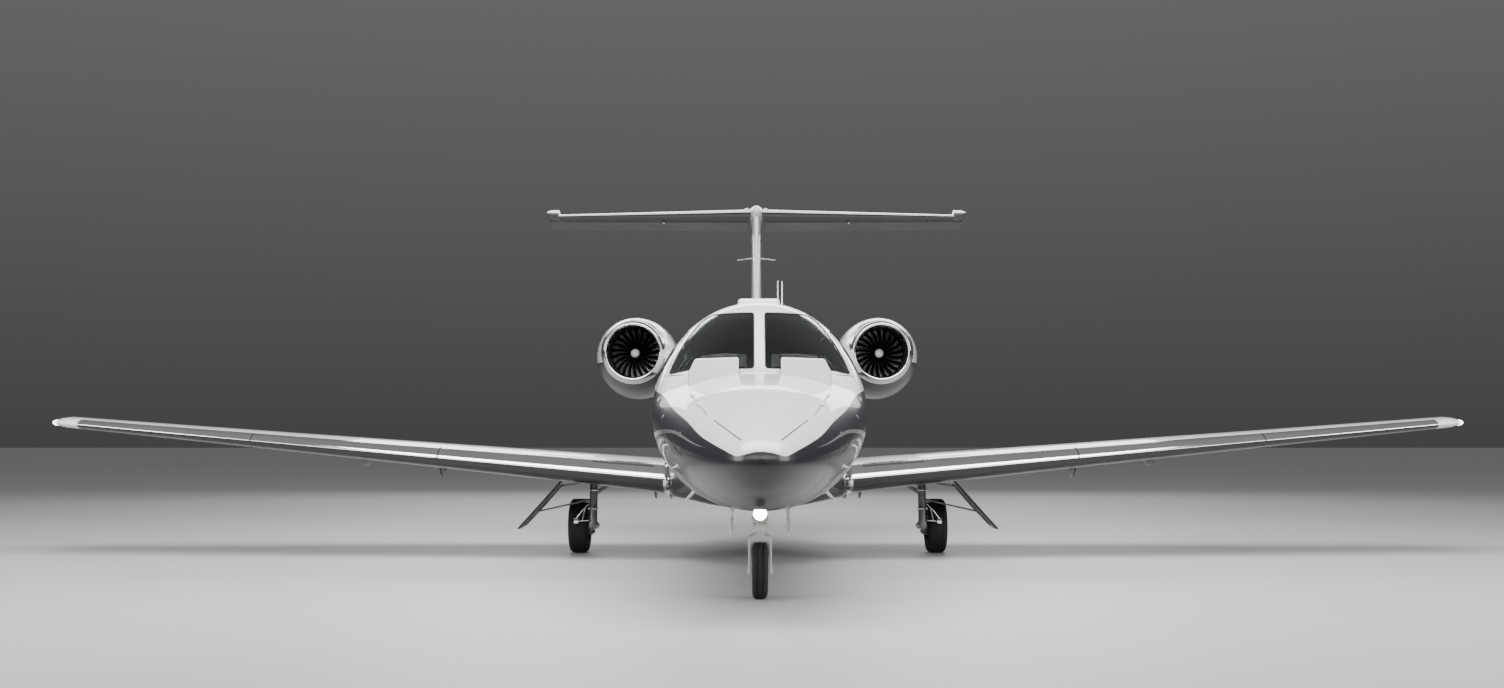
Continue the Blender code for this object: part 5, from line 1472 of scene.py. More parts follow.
RUDDER_HINGE = ((2.560, 11.940), (4.150, 12.300))
RUDDER_TIPS = ((2.560, 12.330), (4.150, 12.688))
fin = tube("fin_skin", fin_rings(np.concatenate([np.linspace(2.10, 2.64, 19), np.linspace(2.70, 4.23, 26)])),
           finishes["white_composite"])
hinge = [(0, y_at(s), z) for z, s in RUDDER_HINGE]
tips = [(0, y_at(s), z) for z, s in RUDDER_TIPS]
carve(fin, *cove_cutters("rudder", hinge, tips, (0.048, 0.040)))
piece(fin, "airframe", "white_composite", "fin")
print("fin:", len(fin.data.polygons), "faces, top at", FIN[-1][0], "m")

# %% Tailplane and bullet
tail_distances = np.concatenate([np.linspace(0.0, 2.90, 24),
                                 2.90 + 0.07 * np.sin(np.linspace(0.2, np.pi / 2, 6))])
half = tube("tailplane_left", wing_rings(TAILPLANE, tail_distances), finishes["tailplane"])
hinge = [(x, y_at(ELEVATOR_HINGE), TAIL_Z) for x in (0.135, 2.955)]
tips = [(0.135, y_at(12.775), TAIL_Z), (2.955, y_at(12.715), TAIL_Z)]
carve(half, *cove_cutters("elevator", hinge, tips, (0.036, 0.025)))
carve(half, block("horn notch", (2.788, y_at(11.0), 4.0), (3.2, 9.0, 4.6)))
piece(half, "airframe", "white_composite", "stabiliser")
piece(mirrored(half, "tailplane_right"), "airframe", "white_composite")

bullet_profile = smooth_path([(0.0, 0.004), (0.012, 0.024), (0.06, 0.050), (0.20, 0.083), (0.45, 0.100),
                              (0.85, 0.101), (1.20, 0.097), (1.50, 0.066), (1.63, 0.024)])
bullet = turned("tail_bullet", bullet_profile, (0, y_at(LENGTH - 1.63), 4.3155), (0, 1, 0),
                finishes["white_composite"], 48)
piece(bullet, "airframe", "white_composite")
dome_profile = smooth_path([(0.0, 0.004), (0.012, 0.020), (0.05, 0.034), (0.12, 0.038), (0.30, 0.030),
                            (0.40, 0.008)], 5)
horn_profile = smooth_path([(0.0, 0.003), (0.03, 0.013), (0.10, 0.017), (0.22, 0.012), (0.28, 0.003)], 5)
for side, word in SIDES:
    dome = turned("tailplane_root_cap_" + word, dome_profile, (side * 0.128, y_at(11.56), 4.342), (0, 1, 0),
                  finishes["white_composite"], 32)
    piece(dome, "airframe", "white_composite")
    horn = turned("elevator_hinge_pod_" + word, horn_profile, (side * 1.32, y_at(12.10), 4.242),
                  (0, 1, 0.05), finishes["white_composite"], 28)
    piece(horn, "airframe", "white_composite")
# The elevator's underside, below its drooped middle plane, is charcoal as painted shade.
frame["nodes"]["elevator"].material_slots[0].material = finishes["elevator"]
print("tailplane:", len(half.data.polygons), "faces a side")

# %% Tail cap and tail lamp
end_ring = body_surface([BODY[-1][0]], np.arange(0, 360, 5.0), -PROUD)[0]
end_middle = end_ring.mean(axis=0)
cap_rings = []
for shrink, reach in ((0.80, -0.03), (0.995, -0.004), (1.0, 0.0), (0.97, 0.022), (0.88, 0.044),
                      (0.70, 0.060), (0.45, 0.070), (0.26, 0.073)):
    cap_rings.append((end_ring - end_middle) * shrink + end_middle + (0, reach, 0))
piece(tube("tail_cap", cap_rings, finishes["livery"]), "airframe", "white_paint")
tail_lens = turned("tail_lamp_lens", [(0.066, 0.026), (0.078, 0.025), (0.088, 0.018), (0.092, 0.006)],
                   tuple(end_middle), (0, 1, 0), finishes["clear"], 36)
piece(tail_lens, "airframe", "tinted_glass")
print("tail cap closes the body at station", round(BODY[-1][0] + reach, 3))

# %% [markdown]
# ## Aerials
# An aerial is a thin blade with a lens section, swept back so that it sheds ice. One function lofts it
# between a root and a tip, so that it can stand on the roof, hang under the belly or lie out sideways from
# the fin.

# %% Blade and whip aerials


def lens_loop(points):
    """Shares of a chord out along one face and back along the other, and the sign of each face."""
    share = crowded(points)
    signs = np.concatenate([np.ones(points), -np.ones(points - 2)])
    return np.concatenate([share, share[-2:0:-1]])[None, :], signs[None, :]


def blade_aerial(name, root, tip, chords, thick, finish, lean=(1.0, 0.0, 0.0)):
    """Lens sections from root to tip, with half depth thick sqrt(u) (1 - u) at share u of the chord."""
    root, tip, lean = np.array(root, float), np.array(tip, float), np.array(lean, float)
    t = np.array((0.0, 0.04, 0.5, 0.94, 0.985, 1.0))[:, None]
    chord = chords[0] + (chords[1] - chords[0]) * t
    shrink = np.array((1.35, 1.0, 1.0, 1.0, 0.9, 0.6))[:, None]
    u, sign = lens_loop(12)
    depth = sign * 2.6 * thick * (0.3 + 0.7 * chord / chords[0]) * np.sqrt(u) * (1 - u) * shrink
    y = (u - 0.5) * chord * shrink
    middle = root + (tip - root) * t
    grid = middle[:, None] + np.stack([0 * y, y, 0 * y], -1) + depth[..., None] * lean
    return tube(name, grid, finish)


for side, word in SIDES:
    root = (side * 0.045, y_at(11.38), 3.641)
    aerial = blade_aerial("fin_aerial_" + word, root, (side * 0.264, y_at(11.575), 3.641), (0.22, 0.085),
                          0.009, finishes["white_composite"], (0, 0, 1))
    piece(aerial, "airframe", "white_composite")
roof_blade = blade_aerial("roof_blade_aerial", (0.195, y_at(5.40), 2.335), (0.195, y_at(5.49), 2.754),
                          (0.20, 0.085), 0.010, finishes["white"])
piece(roof_blade, "airframe", "white_paint")
whip = rod("roof_whip_aerial", (0.242, y_at(5.66), 2.330), (0.242, y_at(5.70), 2.769), 0.0085, None, 0.005)
carve(whip, turned("whip foot", [(-0.02, 0.030), (0.006, 0.030), (0.014, 0.022), (0.040, 0.014)],
                      (0.242, y_at(5.662), 2.342), (0.25, 0, 1), None, 32), operation="UNION")
whip.data.materials.append(finishes["white"])
piece(whip, "airframe", "white_paint")
plate_outline = round_corners([(-0.185, y_at(3.62)), (0.185, y_at(3.62)), (0.185, y_at(3.98)),
                               (-0.185, y_at(3.98))], 0.075)
plate_rings = []
for z, inset in ((2.335, -0.004), (2.366, -0.002), (2.382, 0.0), (2.402, 0.004), (2.410, 0.011),
                 (2.4142, 0.022), (2.415, 0.034)):
    plan = grown(plate_outline, -inset)
    plate_rings.append(np.column_stack([plan, np.full(len(plan), z)]))
roof_plate = tube("roof_aerial_plate", plate_rings, finishes["white"])
piece(roof_plate, "airframe", "white_paint")
belly_blade = blade_aerial("belly_aerial", (0.0, y_at(5.60), 0.530), (0.0, y_at(5.65), 0.441), (0.22, 0.10),
                           0.010, finishes["charcoal"])
piece(belly_blade, "airframe", "charcoal_composite")
print("aerials: 2 on the fin, 3 on the roof, 1 under the belly")


# %% [markdown]
# ## Engines
# Everything in an engine is turned about one axis, apart from the cowl, whose sections sink a little as
# they widen. A bright rolled lip starts the inlet, a dark lining runs in to the fan, and a long nozzle with
# a centre cone closes the back. The fan's blades are thin, twisted and overlap each other, so that no light
# comes through.

# %% Cowls, lips and ducts
NACELLE_X = 1.42
ENGINE_Z = 2.175
NACELLE = ((7.930, 0.372, 2.172), (8.150, 0.428, 2.153), (8.450, 0.468, 2.138), (8.850, 0.480, 2.134),
           (9.250, 0.452, 2.140), (9.650, 0.376, 2.155), (10.050, 0.258, 2.172))
NACELLE_INSIDE = ((10.050, 0.240, 2.175), (9.650, 0.346, 2.155), (9.250, 0.422, 2.140),
                  (9.020, 0.440, 2.137), (8.945, 0.292, 2.175), (7.930, 0.292, 2.175))


def cowl_rings(rows, x, facets=96):
    """Circles of each row's radius about (x, z), one per row."""
    station, radius, z = (np.asarray(rows)[:, k][:, None] for k in range(3))
    a = 2 * np.pi * np.arange(facets) / facets
    return np.stack([x + radius * np.cos(a), np.broadcast_to(y_at(station), (len(rows), facets)),
                     z + radius * np.sin(a)], -1)


cowl_stations = np.linspace(7.930, 10.050, 44)
cowl_outside = np.column_stack([cowl_stations, smooth_table(NACELLE)(cowl_stations)])
lip_profile = smooth_path([(0.1297, 0.3720), (0.065, 0.357), (0.022, 0.341), (0.004, 0.328), (0.0, 0.317),
                           (0.006, 0.305), (0.03, 0.2960), (0.1297, 0.2915)])
for side, word in SIDES:
    x = side * NACELLE_X
    grid = np.concatenate([cowl_rings(cowl_outside, x), cowl_rings(NACELLE_INSIDE, x)])
    # The cowl's lower half is charcoal as painted shade.
    cowl = ring_solid("engine_cowl_" + word, grid, finishes["nacelle"])
    piece(cowl, "airframe", "white_composite", "nacelle_" + word)
    lip = turned("bright_inlet_lip_" + word, lip_profile, (x, y_at(7.80), ENGINE_Z), (0, 1, 0),
                 finishes["lip"], 96, True)
    piece(lip, "airframe", "polished_metal", "inlet_lip_" + word)
    lining = [(7.925, 0.2914), (8.44, 0.2914), (8.44, 0.2890), (7.925, 0.2905)]
    duct = turned("inlet_duct_lining_" + word, lining, (x, y_at(0), ENGINE_Z), (0, 1, 0), finishes["duct"],
                  96, True)
    piece(duct, "airframe", "engine_metal")
print("cowls, lips and ducts are on")

# %% Fans
BLADES = 22
BLADE_ENDS = (0.088, 0.279)
VANES = 30


def blade_grids(x, number, facets=9, rows=12):
    """A blade from hub to tip: stagger and chord run between two values, and an arc bends it."""
    root, tip = BLADE_ENDS
    r = np.linspace(root, tip, rows)[:, None]
    share = (r - root) / (tip - root)
    stagger = np.radians(30 + 30 * share)
    chord = 0.070 + 0.028 * share
    u = np.linspace(-0.5, 0.5, facets)[None, :]
    bend = 0.10 * chord * (1 - 4 * u**2)
    turn = 2 * np.pi * number / BLADES + 0.10 * share**2
    along, across = chord * u, bend
    y = along * np.cos(stagger) - across * np.sin(stagger)
    sideways = along * np.sin(stagger) + across * np.cos(stagger)
    thick = (0.0018 + 0.0016 * (1 - share)) * np.sqrt(np.clip(1 - (2 * u) ** 2, 0.05, 1))
    faces = []
    for sign in (1, -1):
        s = sideways + sign * thick * np.cos(stagger)
        depth = y - sign * thick * np.sin(stagger)
        angle = turn + s / r
        faces.append(np.stack([x + r * np.cos(angle), y_at(8.340) + depth + 0 * r,
                               ENGINE_Z + r * np.sin(angle)], -1))
    return faces


for side, word in SIDES:
    x = side * NACELLE_X
    blades = [sheet_solid(f"blade {n}", *blade_grids(x, n)) for n in range(BLADES)]
    fan = joined("fan_blades_" + word, *blades)
    fan.data.materials.append(finishes["titanium"])
    soften(fan.data, 40.0)
    piece(fan, "fan_" + word, "steel", "fan_" + word)
    hub_profile = smooth_path([(0.030, 0.048), (0.075, 0.074), (0.14, 0.089), (0.20, 0.093), (0.268, 0.094)],
                              4)
    hub = turned("fan_hub_" + word, np.concatenate([[(0.026, 0.020)], hub_profile]),
                 (x, y_at(8.16), ENGINE_Z), (0, 1, 0), finishes["duct"], 64)
    piece(hub, "fan_" + word, "steel")
    cap = turned("spinner_cap_" + word,
                 smooth_path([(0.0, 0.004), (0.006, 0.022), (0.018, 0.038), (0.034, 0.050)], 5),
                 (x, y_at(8.157), ENGINE_Z), (0, 1, 0), finishes["gear"], 48)
    piece(cap, "fan_" + word, "steel")
    vanes = []
    for k in range(VANES):
        a = 2 * math.pi * (k + 0.5) / VANES
        out = np.array((math.cos(a), 0, math.sin(a)))
        across = np.array((-math.sin(a), 0, math.cos(a)))
        u = np.linspace(0, 1, 5)[:, None]
        r = np.array([0.075, 0.2908])[None, :, None]
        middle = np.array((x, y_at(8.405), ENGINE_Z)) + out * r + np.array((0, 0.05, 0)) * u[..., None]
        bend = across * 0.014 * (u[..., None] ** 2)
        vanes.append(sheet_solid(f"vane {k}", middle + bend, middle + bend + across * 0.0016))
    fitting("stator_vanes_" + word, vanes, "duct", "engine_metal")
print(BLADES, "blades in each fan")

# %% Nozzles and pylons
PYLON = ((0.37, 8.41, 9.93, 2.037, 0.150), (1.27, 8.55, 9.61, 2.117, 0.120))
for side, word in SIDES:
    x = side * NACELLE_X
    core = [(8.46, 0.012), (8.46, 0.2895), (8.94, 0.2895), (9.02, 0.190), (9.55, 0.190), (9.70, 0.236),
            (10.04, 0.236), (10.12, 0.231), (10.196, 0.2195), (10.200, 0.2165), (10.200, 0.2085),
            (10.19, 0.2065), (9.99, 0.197), (9.90, 0.110)]
    cone = smooth_path([(9.90, 0.110), (9.98, 0.104), (10.08, 0.078), (10.17, 0.040), (10.22, 0.008)], 5)
    profile = np.concatenate([core, cone[1:]])
    nozzle = turned("exhaust_nozzle_" + word, profile, (x, y_at(0), ENGINE_Z), (0, 1, 0), finishes["nozzle"],
                    72)
    piece(nozzle, "airframe", "engine_metal", "engine_core_" + word)
    rows = np.array(PYLON)
    px = np.linspace(*rows[:, 0], 13)
    lead, trail, z, thick = (np.interp(px, rows[:, 0], rows[:, k])[:, None] for k in range(1, 5))
    both, sign = there_and_back(crowded(26))
    heights = z + sign * thick * np.sqrt(both) * (1.04 - both)
    grid = np.stack([np.broadcast_to(side * px[:, None], heights.shape), y_at(lead + both * (trail - lead)),
                     heights], -1)
    pylon = tube("engine_pylon_" + word, grid, finishes["white_composite"])
    inner = cowl_rings(cowl_outside - (0, 0.004, 0), x, 48)
    carve(pylon, tube("inside of the cowl", inner, smooth=False))
    piece(pylon, "airframe", "white_composite", "pylon_" + word)
print("nozzles end at station", round(cone[-1][0], 2))

# %% [markdown]
# ## Wheels and tyres
# A tyre is turned from a profile with a bead, a bulged side wall and a flat tread that has straight grooves
# all round. The hub inside it has a web with lightening holes between two rim flanges, held together by
# small bolts.

# %% Tyres and hubs
NOSE_WHEEL = (0, y_at(1.80), 0.210)
MAIN_WHEEL = (1.86, y_at(6.47), 0.280)
MAIN_AXLE = (0, *MAIN_WHEEL[1:])


def on_circle(centre, radius, angle):
    """A point of a circle that faces along X."""
    return (centre[0], centre[1] + radius * math.cos(angle), centre[2] + radius * math.sin(angle))


def tyre_profile(half, radius, hub, grooves, depth=0.006, width=0.0035):
    """From bead to bead over the tread: side walls follow a quarter ellipse, grooves drop straight down."""
    wall = hub + 0.46 * (radius - hub)
    a = np.radians(np.linspace(-62, 78, 12))
    side = np.stack([half * (0.72 + 0.275 * np.cos(a)),
                     wall + (radius - 0.010 - wall) / math.sin(math.radians(78)) * np.sin(a)], -1)
    side[:, 1] = np.where(a < 0, wall + (wall - hub - 0.004) * np.sin(a) / math.sin(math.radians(62)),
                          side[:, 1])
    right = [(half * 0.60, hub),
             (half * 0.70, hub)] + [tuple(p) for p in side] + [(half * 0.70, radius - 0.004)]
    tread = []
    for place in sorted((half * g for g in grooves), reverse=True):
        lift = radius - 0.003 * (place / half) ** 2
        tread += [(place + width + 0.0008, lift), (place + width, lift - 0.0012),
                  (place + width * 0.7, lift - depth), (place - width * 0.7, lift - depth),
                  (place - width, lift - 0.0012), (place - width - 0.0008, lift)]
    left = [(-u, v) for u, v in reversed(right)]
    return right + [(half * 0.60, radius - 0.0012)] + tread + [(-half * 0.60, radius - 0.0012)] + left


def hexagon_heads(name, centre, radius, count, size, height, axis):
    """Bolt heads on a circle that faces along X: six sides, a chamfer and a flat top."""
    heads = []
    for k in range(count):
        place = on_circle(centre, radius, 2 * math.pi * (k + 0.25) / count)
        profile = [(0, size * 0.8), (0, size), (height * 0.7, size), (height, size * 0.8)]
        heads.append(turned(f"{name} {k}", profile, place, (axis, 0, 0), facets=6))
    return heads


def make_wheel(word, body, centre, half, radius, hub, bore, grooves, holes, bolt):
    """A grooved tyre, and a hub with drilled holes and two rings of bolts, turned about X."""
    tyre = turned("tyre_" + word, tyre_profile(half, radius - 0.0005, hub, grooves), centre, (1, 0, 0),
                  finishes["tyre"], 112, True)
    piece(tyre, body, "tyre_rubber", "tyre_" + word)
    rim, web = hub - 0.0004, hub * 0.62
    right = [(half * 0.56, rim), (half * 0.66, rim), (half * 0.69, rim + 0.004), (half * 0.72, rim),
             (half * 0.72, rim - 0.008), (half * 0.62, rim - 0.013), (half * 0.40, rim - 0.016),
             (half * 0.26, rim - 0.024), (half * 0.16, rim - 0.036), (half * 0.14, web),
             (half * 0.20, hub * 0.42), (half * 0.38, hub * 0.36), (half * 0.40, hub * 0.33),
             (half * 0.40, bore)]
    left = [(-u, v) for u, v in reversed(right)]
    wheel_hub = turned("hub_" + word, right + left, centre, (1, 0, 0), finishes["gear"], 96, True)
    drills = []
    for k in range(holes):
        x, y, z = on_circle(centre, 0.70 * hub, 2 * math.pi * k / holes)
        drills.append(rod(f"drill {k}", (x - half, y, z), (x + half, y, z), hub * 0.085))
    carve(wheel_hub, joined("hub drills", *drills))
    piece(wheel_hub, body, "steel", "hub_" + word)
    for side in (1, -1):
        start = (centre[0] + side * half * 0.165, centre[1], centre[2])
        name = f"hub_bolts_{word}_{'outer' if side * centre[0] >= 0 else 'inner'}_{side > 0:d}"
        fitting(name, hexagon_heads(name, start, hub * 0.50, 8, bolt, 0.007, side), "steel", "steel", body)


make_wheel("nose", "nose_wheel", NOSE_WHEEL, 0.060, NOSE_WHEEL[2], 0.105, 0.0180, (-0.34, 0.34), 8, 0.005)
for side, word in SIDES:
    make_wheel("main_" + word, "main_wheel_" + word, (side * MAIN_WHEEL[0], *MAIN_WHEEL[1:]), 0.1025,
               MAIN_WHEEL[2], 0.150, 0.0232, (-0.46, -0.16, 0.16, 0.46), 10, 0.0065)
print("three wheels with grooved tyres")

# %% [markdown]
# ## Nose gear
# A strut hangs in the bay and a fork turns on its foot. The fork is an upside-down U with rounded shoulders
# that thins towards the axle. The lamp sits in front of the strut in a turned housing. A door hangs on each
# side of the bay: a sheet that bows outwards, with a frame inside it.

# %% Nose strut, fork and lamp


def soft_prism(name, outline, axis, low, high, edge, finish=None, steps=3):
    """An outline drawn out along an axis. Its edges are quarter rounds of radius edge."""
    a = np.linspace(0, np.pi / 2, steps)
    depths = np.concatenate([low + edge * (1 - np.cos(a)), high - edge * (1 - np.cos(a[::-1]))])
    insets = np.concatenate([edge * (1 - np.sin(a)), edge * (1 - np.sin(a[::-1]))])
    rings = [outline_ring(grown(outline, -inset), axis, w) for w, inset in zip(depths, insets)]
    return tube(name, rings, finish)


def side_box(name, side, across, along, up, radius, segments=3):
    """A rounded box on one side of the aircraft, from its ranges across, along and up."""
    low, high = both_ways(side, *across)
    return rounded_box(name, (low, along[0], up[0]), (high, along[1], up[1]), radius, None, segments)


def collar(name, start, end, share, wide, radius, finish):
    """A ring with rounded edges round a bar, from one share of its length to another."""
    start, end = np.array(start, float), np.array(end, float)
    length = float(np.linalg.norm(end - start))
    low, high = share[0] * length, share[1] * length
    soft = min(0.004, (high - low) / 3)
    profile = [(low, radius), (low, wide - soft), (low + soft, wide), (high - soft, wide),
               (high, wide - soft), (high, radius)]
    return turned(name, profile, start, tuple(end - start), finish, 48)


nose_y = NOSE_WHEEL[1]
foot, head = (0, nose_y, 0.507), (0, nose_y, 1.0195)
strut_profile = [(0.0, 0.0585), (0.004, 0.0598), (0.048, 0.0598), (0.054, 0.056), (0.056, 0.0475),
                 (0.185, 0.0475), (0.190, 0.052), (0.215, 0.052), (0.220, 0.0475), (0.40, 0.0475),
                 (0.405, 0.056), (0.44, 0.056), (0.445, 0.0475), (0.5125, 0.0475)]
strut = turned("nose_strut", strut_profile, foot, (0, 0, 1), finishes["gear"], 64)
carve(strut, rod("drag brace", (0, y_at(1.78), 0.72), (0, y_at(1.30), 0.98), 0.021, end_radius=0.018,
                 facets=32), operation="UNION")
piece(strut, "airframe", "gear_paint", "nose_strut")
lugs = [rounded_box(f"brace lug {x}", (x - 0.013, y_at(1.255), 0.955), (x + 0.013, y_at(1.345), 1.0195),
                    0.006, None) for x in (0.036, -0.036)]
fitting("drag_brace_ends", lugs, "gear", "gear_paint")
brace_pin = rod("drag_brace_pin", (-0.056, y_at(1.30), 0.985), (0.056, y_at(1.30), 0.985), 0.010,
                finishes["steel"])
piece(brace_pin, "airframe", "steel")

half_u = [(0.0, 0.4775), (0.050, 0.4775), (0.074, 0.474), (0.0865, 0.464), (0.0905, 0.448), (0.0885, 0.40),
          (0.0880, 0.30), (0.0885, 0.246), (0.0955, 0.232), (0.0965, 0.210), (0.0955, 0.190), (0.088, 0.182)]
half_inner = [(0.070, 0.182), (0.066, 0.190), (0.0655, 0.228), (0.069, 0.250), (0.0700, 0.380),
              (0.068, 0.408), (0.058, 0.421), (0.040, 0.4245), (0.0, 0.4245)]
fork_half = np.array(half_u + half_inner)
fork_outline = np.concatenate([fork_half, (fork_half * (-1, 1))[::-1][1:-1]])
fork = soft_prism("nose_fork", fork_outline, "Y", nose_y - 0.036, nose_y + 0.036, 0.0045, finishes["gear"])
points = read_points(fork.data)
thin = 1 - 0.28 * np.clip((0.44 - points[:, 2]) / 0.20, 0, 1)
points[:, 1] = nose_y + (points[:, 1] - nose_y) * thin
write_points(fork.data, points)
crown = rounded_box("crown", (-0.066, nose_y - 0.049, 0.4255), (0.066, nose_y + 0.049, 0.4765), 0.012, None,
                    4)
post = turned("fork post", [(0.44, 0.058), (0.484, 0.056), (0.490, 0.0525), (0.5045, 0.0525)],
              (0, nose_y, 0), (0, 0, 1))
carve(fork, crown, post, operation="UNION")
piece(fork, "nose_fork", "gear_paint", "nose_fork")
axle = turned("nose_axle", [(-0.098, 0.008), (-0.0975, 0.0135), (-0.0965, 0.0172), (0.0965, 0.0172),
                            (0.0975, 0.0135), (0.098, 0.008)], NOSE_WHEEL, (1, 0, 0),
              finishes["steel"], 32)
piece(axle, "nose_fork", "steel")
links = []
for low, high in (((0.055, 0.468), (0.125, 0.530)), ((0.125, 0.530), (0.062, 0.592))):
    for x in (0.030, -0.030):
        links.append(rod("link", (x, nose_y + low[0], low[1]), (x * 0.4, nose_y + high[0], high[1]), 0.0075))
links.append(rod("apex pin", (-0.022, nose_y + 0.125, 0.530), (0.022, nose_y + 0.125, 0.530), 0.008))
links.append(turned("steering ring", [(0.575, 0.0500), (0.575, 0.0615), (0.579, 0.0645), (0.606, 0.0645),
                                      (0.610, 0.0615), (0.610, 0.0500)], (0, nose_y, 0), (0, 0, 1), None, 48,
                    True))
links.append(rod("link root pin", (-0.036, nose_y + 0.060, 0.592), (0.036, nose_y + 0.060, 0.592), 0.007))
fitting("torque_links", links, "gear", "gear_paint", "nose_fork")

lamp_at = (0, y_at(1.685), 0.640)
housing = [(0.020, 0.0525), (0.030, 0.0545), (0.044, 0.053), (0.062, 0.044), (0.074, 0.033), (0.078, 0.028),
           (0.080, 0.012)]
piece(turned("lamp_housing", housing, lamp_at, (0, 1, 0), finishes["gear"], 64), "airframe", "gear_paint")
bezel = [(0.0225, 0.0480), (0.003, 0.0480), (0.0, 0.0500), (0.0, 0.0530), (0.003, 0.0550), (0.0225, 0.0550)]
piece(turned("lamp_bezel", bezel, lamp_at, (0, 1, 0), finishes["chrome"], 64, True), "airframe", "steel")
lens = smooth_path([(0.0010, 0.003), (0.0018, 0.016), (0.0045, 0.032), (0.0085, 0.0430), (0.0140, 0.0477)],
                   5)
piece(turned("lamp_lens", lens, lamp_at, (0, 1, 0), finishes["lamp"], 64), "airframe", "tinted_glass")
bracket = rounded_box("lamp_bracket", (-0.020, y_at(1.752), 0.622), (0.020, y_at(1.765), 0.658), 0.004,
                      finishes["gear"])
piece(bracket, "airframe", "gear_paint")
print("nose gear: strut, fork, links and lamp")

# %% Nose gear doors
bow_outer = smooth_path([(0.2147, 0.700), (0.2150, 0.662), (0.2225, 0.622), (0.2240, 0.578), (0.2190, 0.535),
                         (0.2100, 0.499)], 8)
for side, word in SIDES:
    stations = y_at(np.linspace(1.215, 1.955, 12))
    outer = np.stack([outline_ring(bow_outer * (side, 1), "Y", y) for y in stations])
    inner = outer - (side * 0.0105, 0, 0)
    door = sheet_solid("nose_gear_door_" + word, outer, inner, finishes["white"])
    edge = round_corners([(y_at(1.22), 0.698), (y_at(1.95), 0.690), (y_at(1.95), 0.502),
                          (y_at(1.22), 0.502)], 0.06)
    carve(door, prism("edge", edge, "X", *both_ways(side, 0.15, 0.27)), operation="INTERSECT")
    piece(door, "airframe", "white_paint", "nose_gear_door_" + word)
    ribs = []
    for station in (1.32, 1.585, 1.85):
        rib_out = np.stack([bow_outer[4:-4, 0] - 0.0100, bow_outer[4:-4, 1]], -1)
        rib_in = rib_out - (0.009, 0)
        section_loop = np.concatenate([rib_out, rib_in[::-1]]) * (side, 1)
        ribs.append(prism("rib", section_loop, "Y", y_at(station - 0.010), y_at(station + 0.010)))
    ribs.append(rod("rail", (side * 0.2005, y_at(1.30), 0.600), (side * 0.2005, y_at(1.87), 0.600), 0.0045,
                    None, None, 12))
    fitting("nose_gear_door_frame_" + word, ribs, "gear", "gear_paint")
print("nose gear doors are", round(float(np.ptp(stations)) * 1000), "mm long")

# %% [markdown]
# ## Main gear
# Each main leg is a trailing link: a stout casting comes down from the wing, an arm runs back from its foot
# to the axle, and a bright shock strut joins the two. A brace holds the leg sideways, and two links carry
# the outer door.

# %% Legs, shock struts and brakes


def hose(name, points, radius=0.0045):
    """A flexible line along a smooth curve."""
    path = smooth_path([tuple(p) for p in points], 8)
    ahead = np.gradient(path, axis=0)
    normal = np.cross(ahead, (1.0, 0.2, 0.1))
    normal /= np.linalg.norm(normal, axis=1, keepdims=True)
    return bead(name, path, normal, radius * 2, radius, finishes["seal"], 8, False)


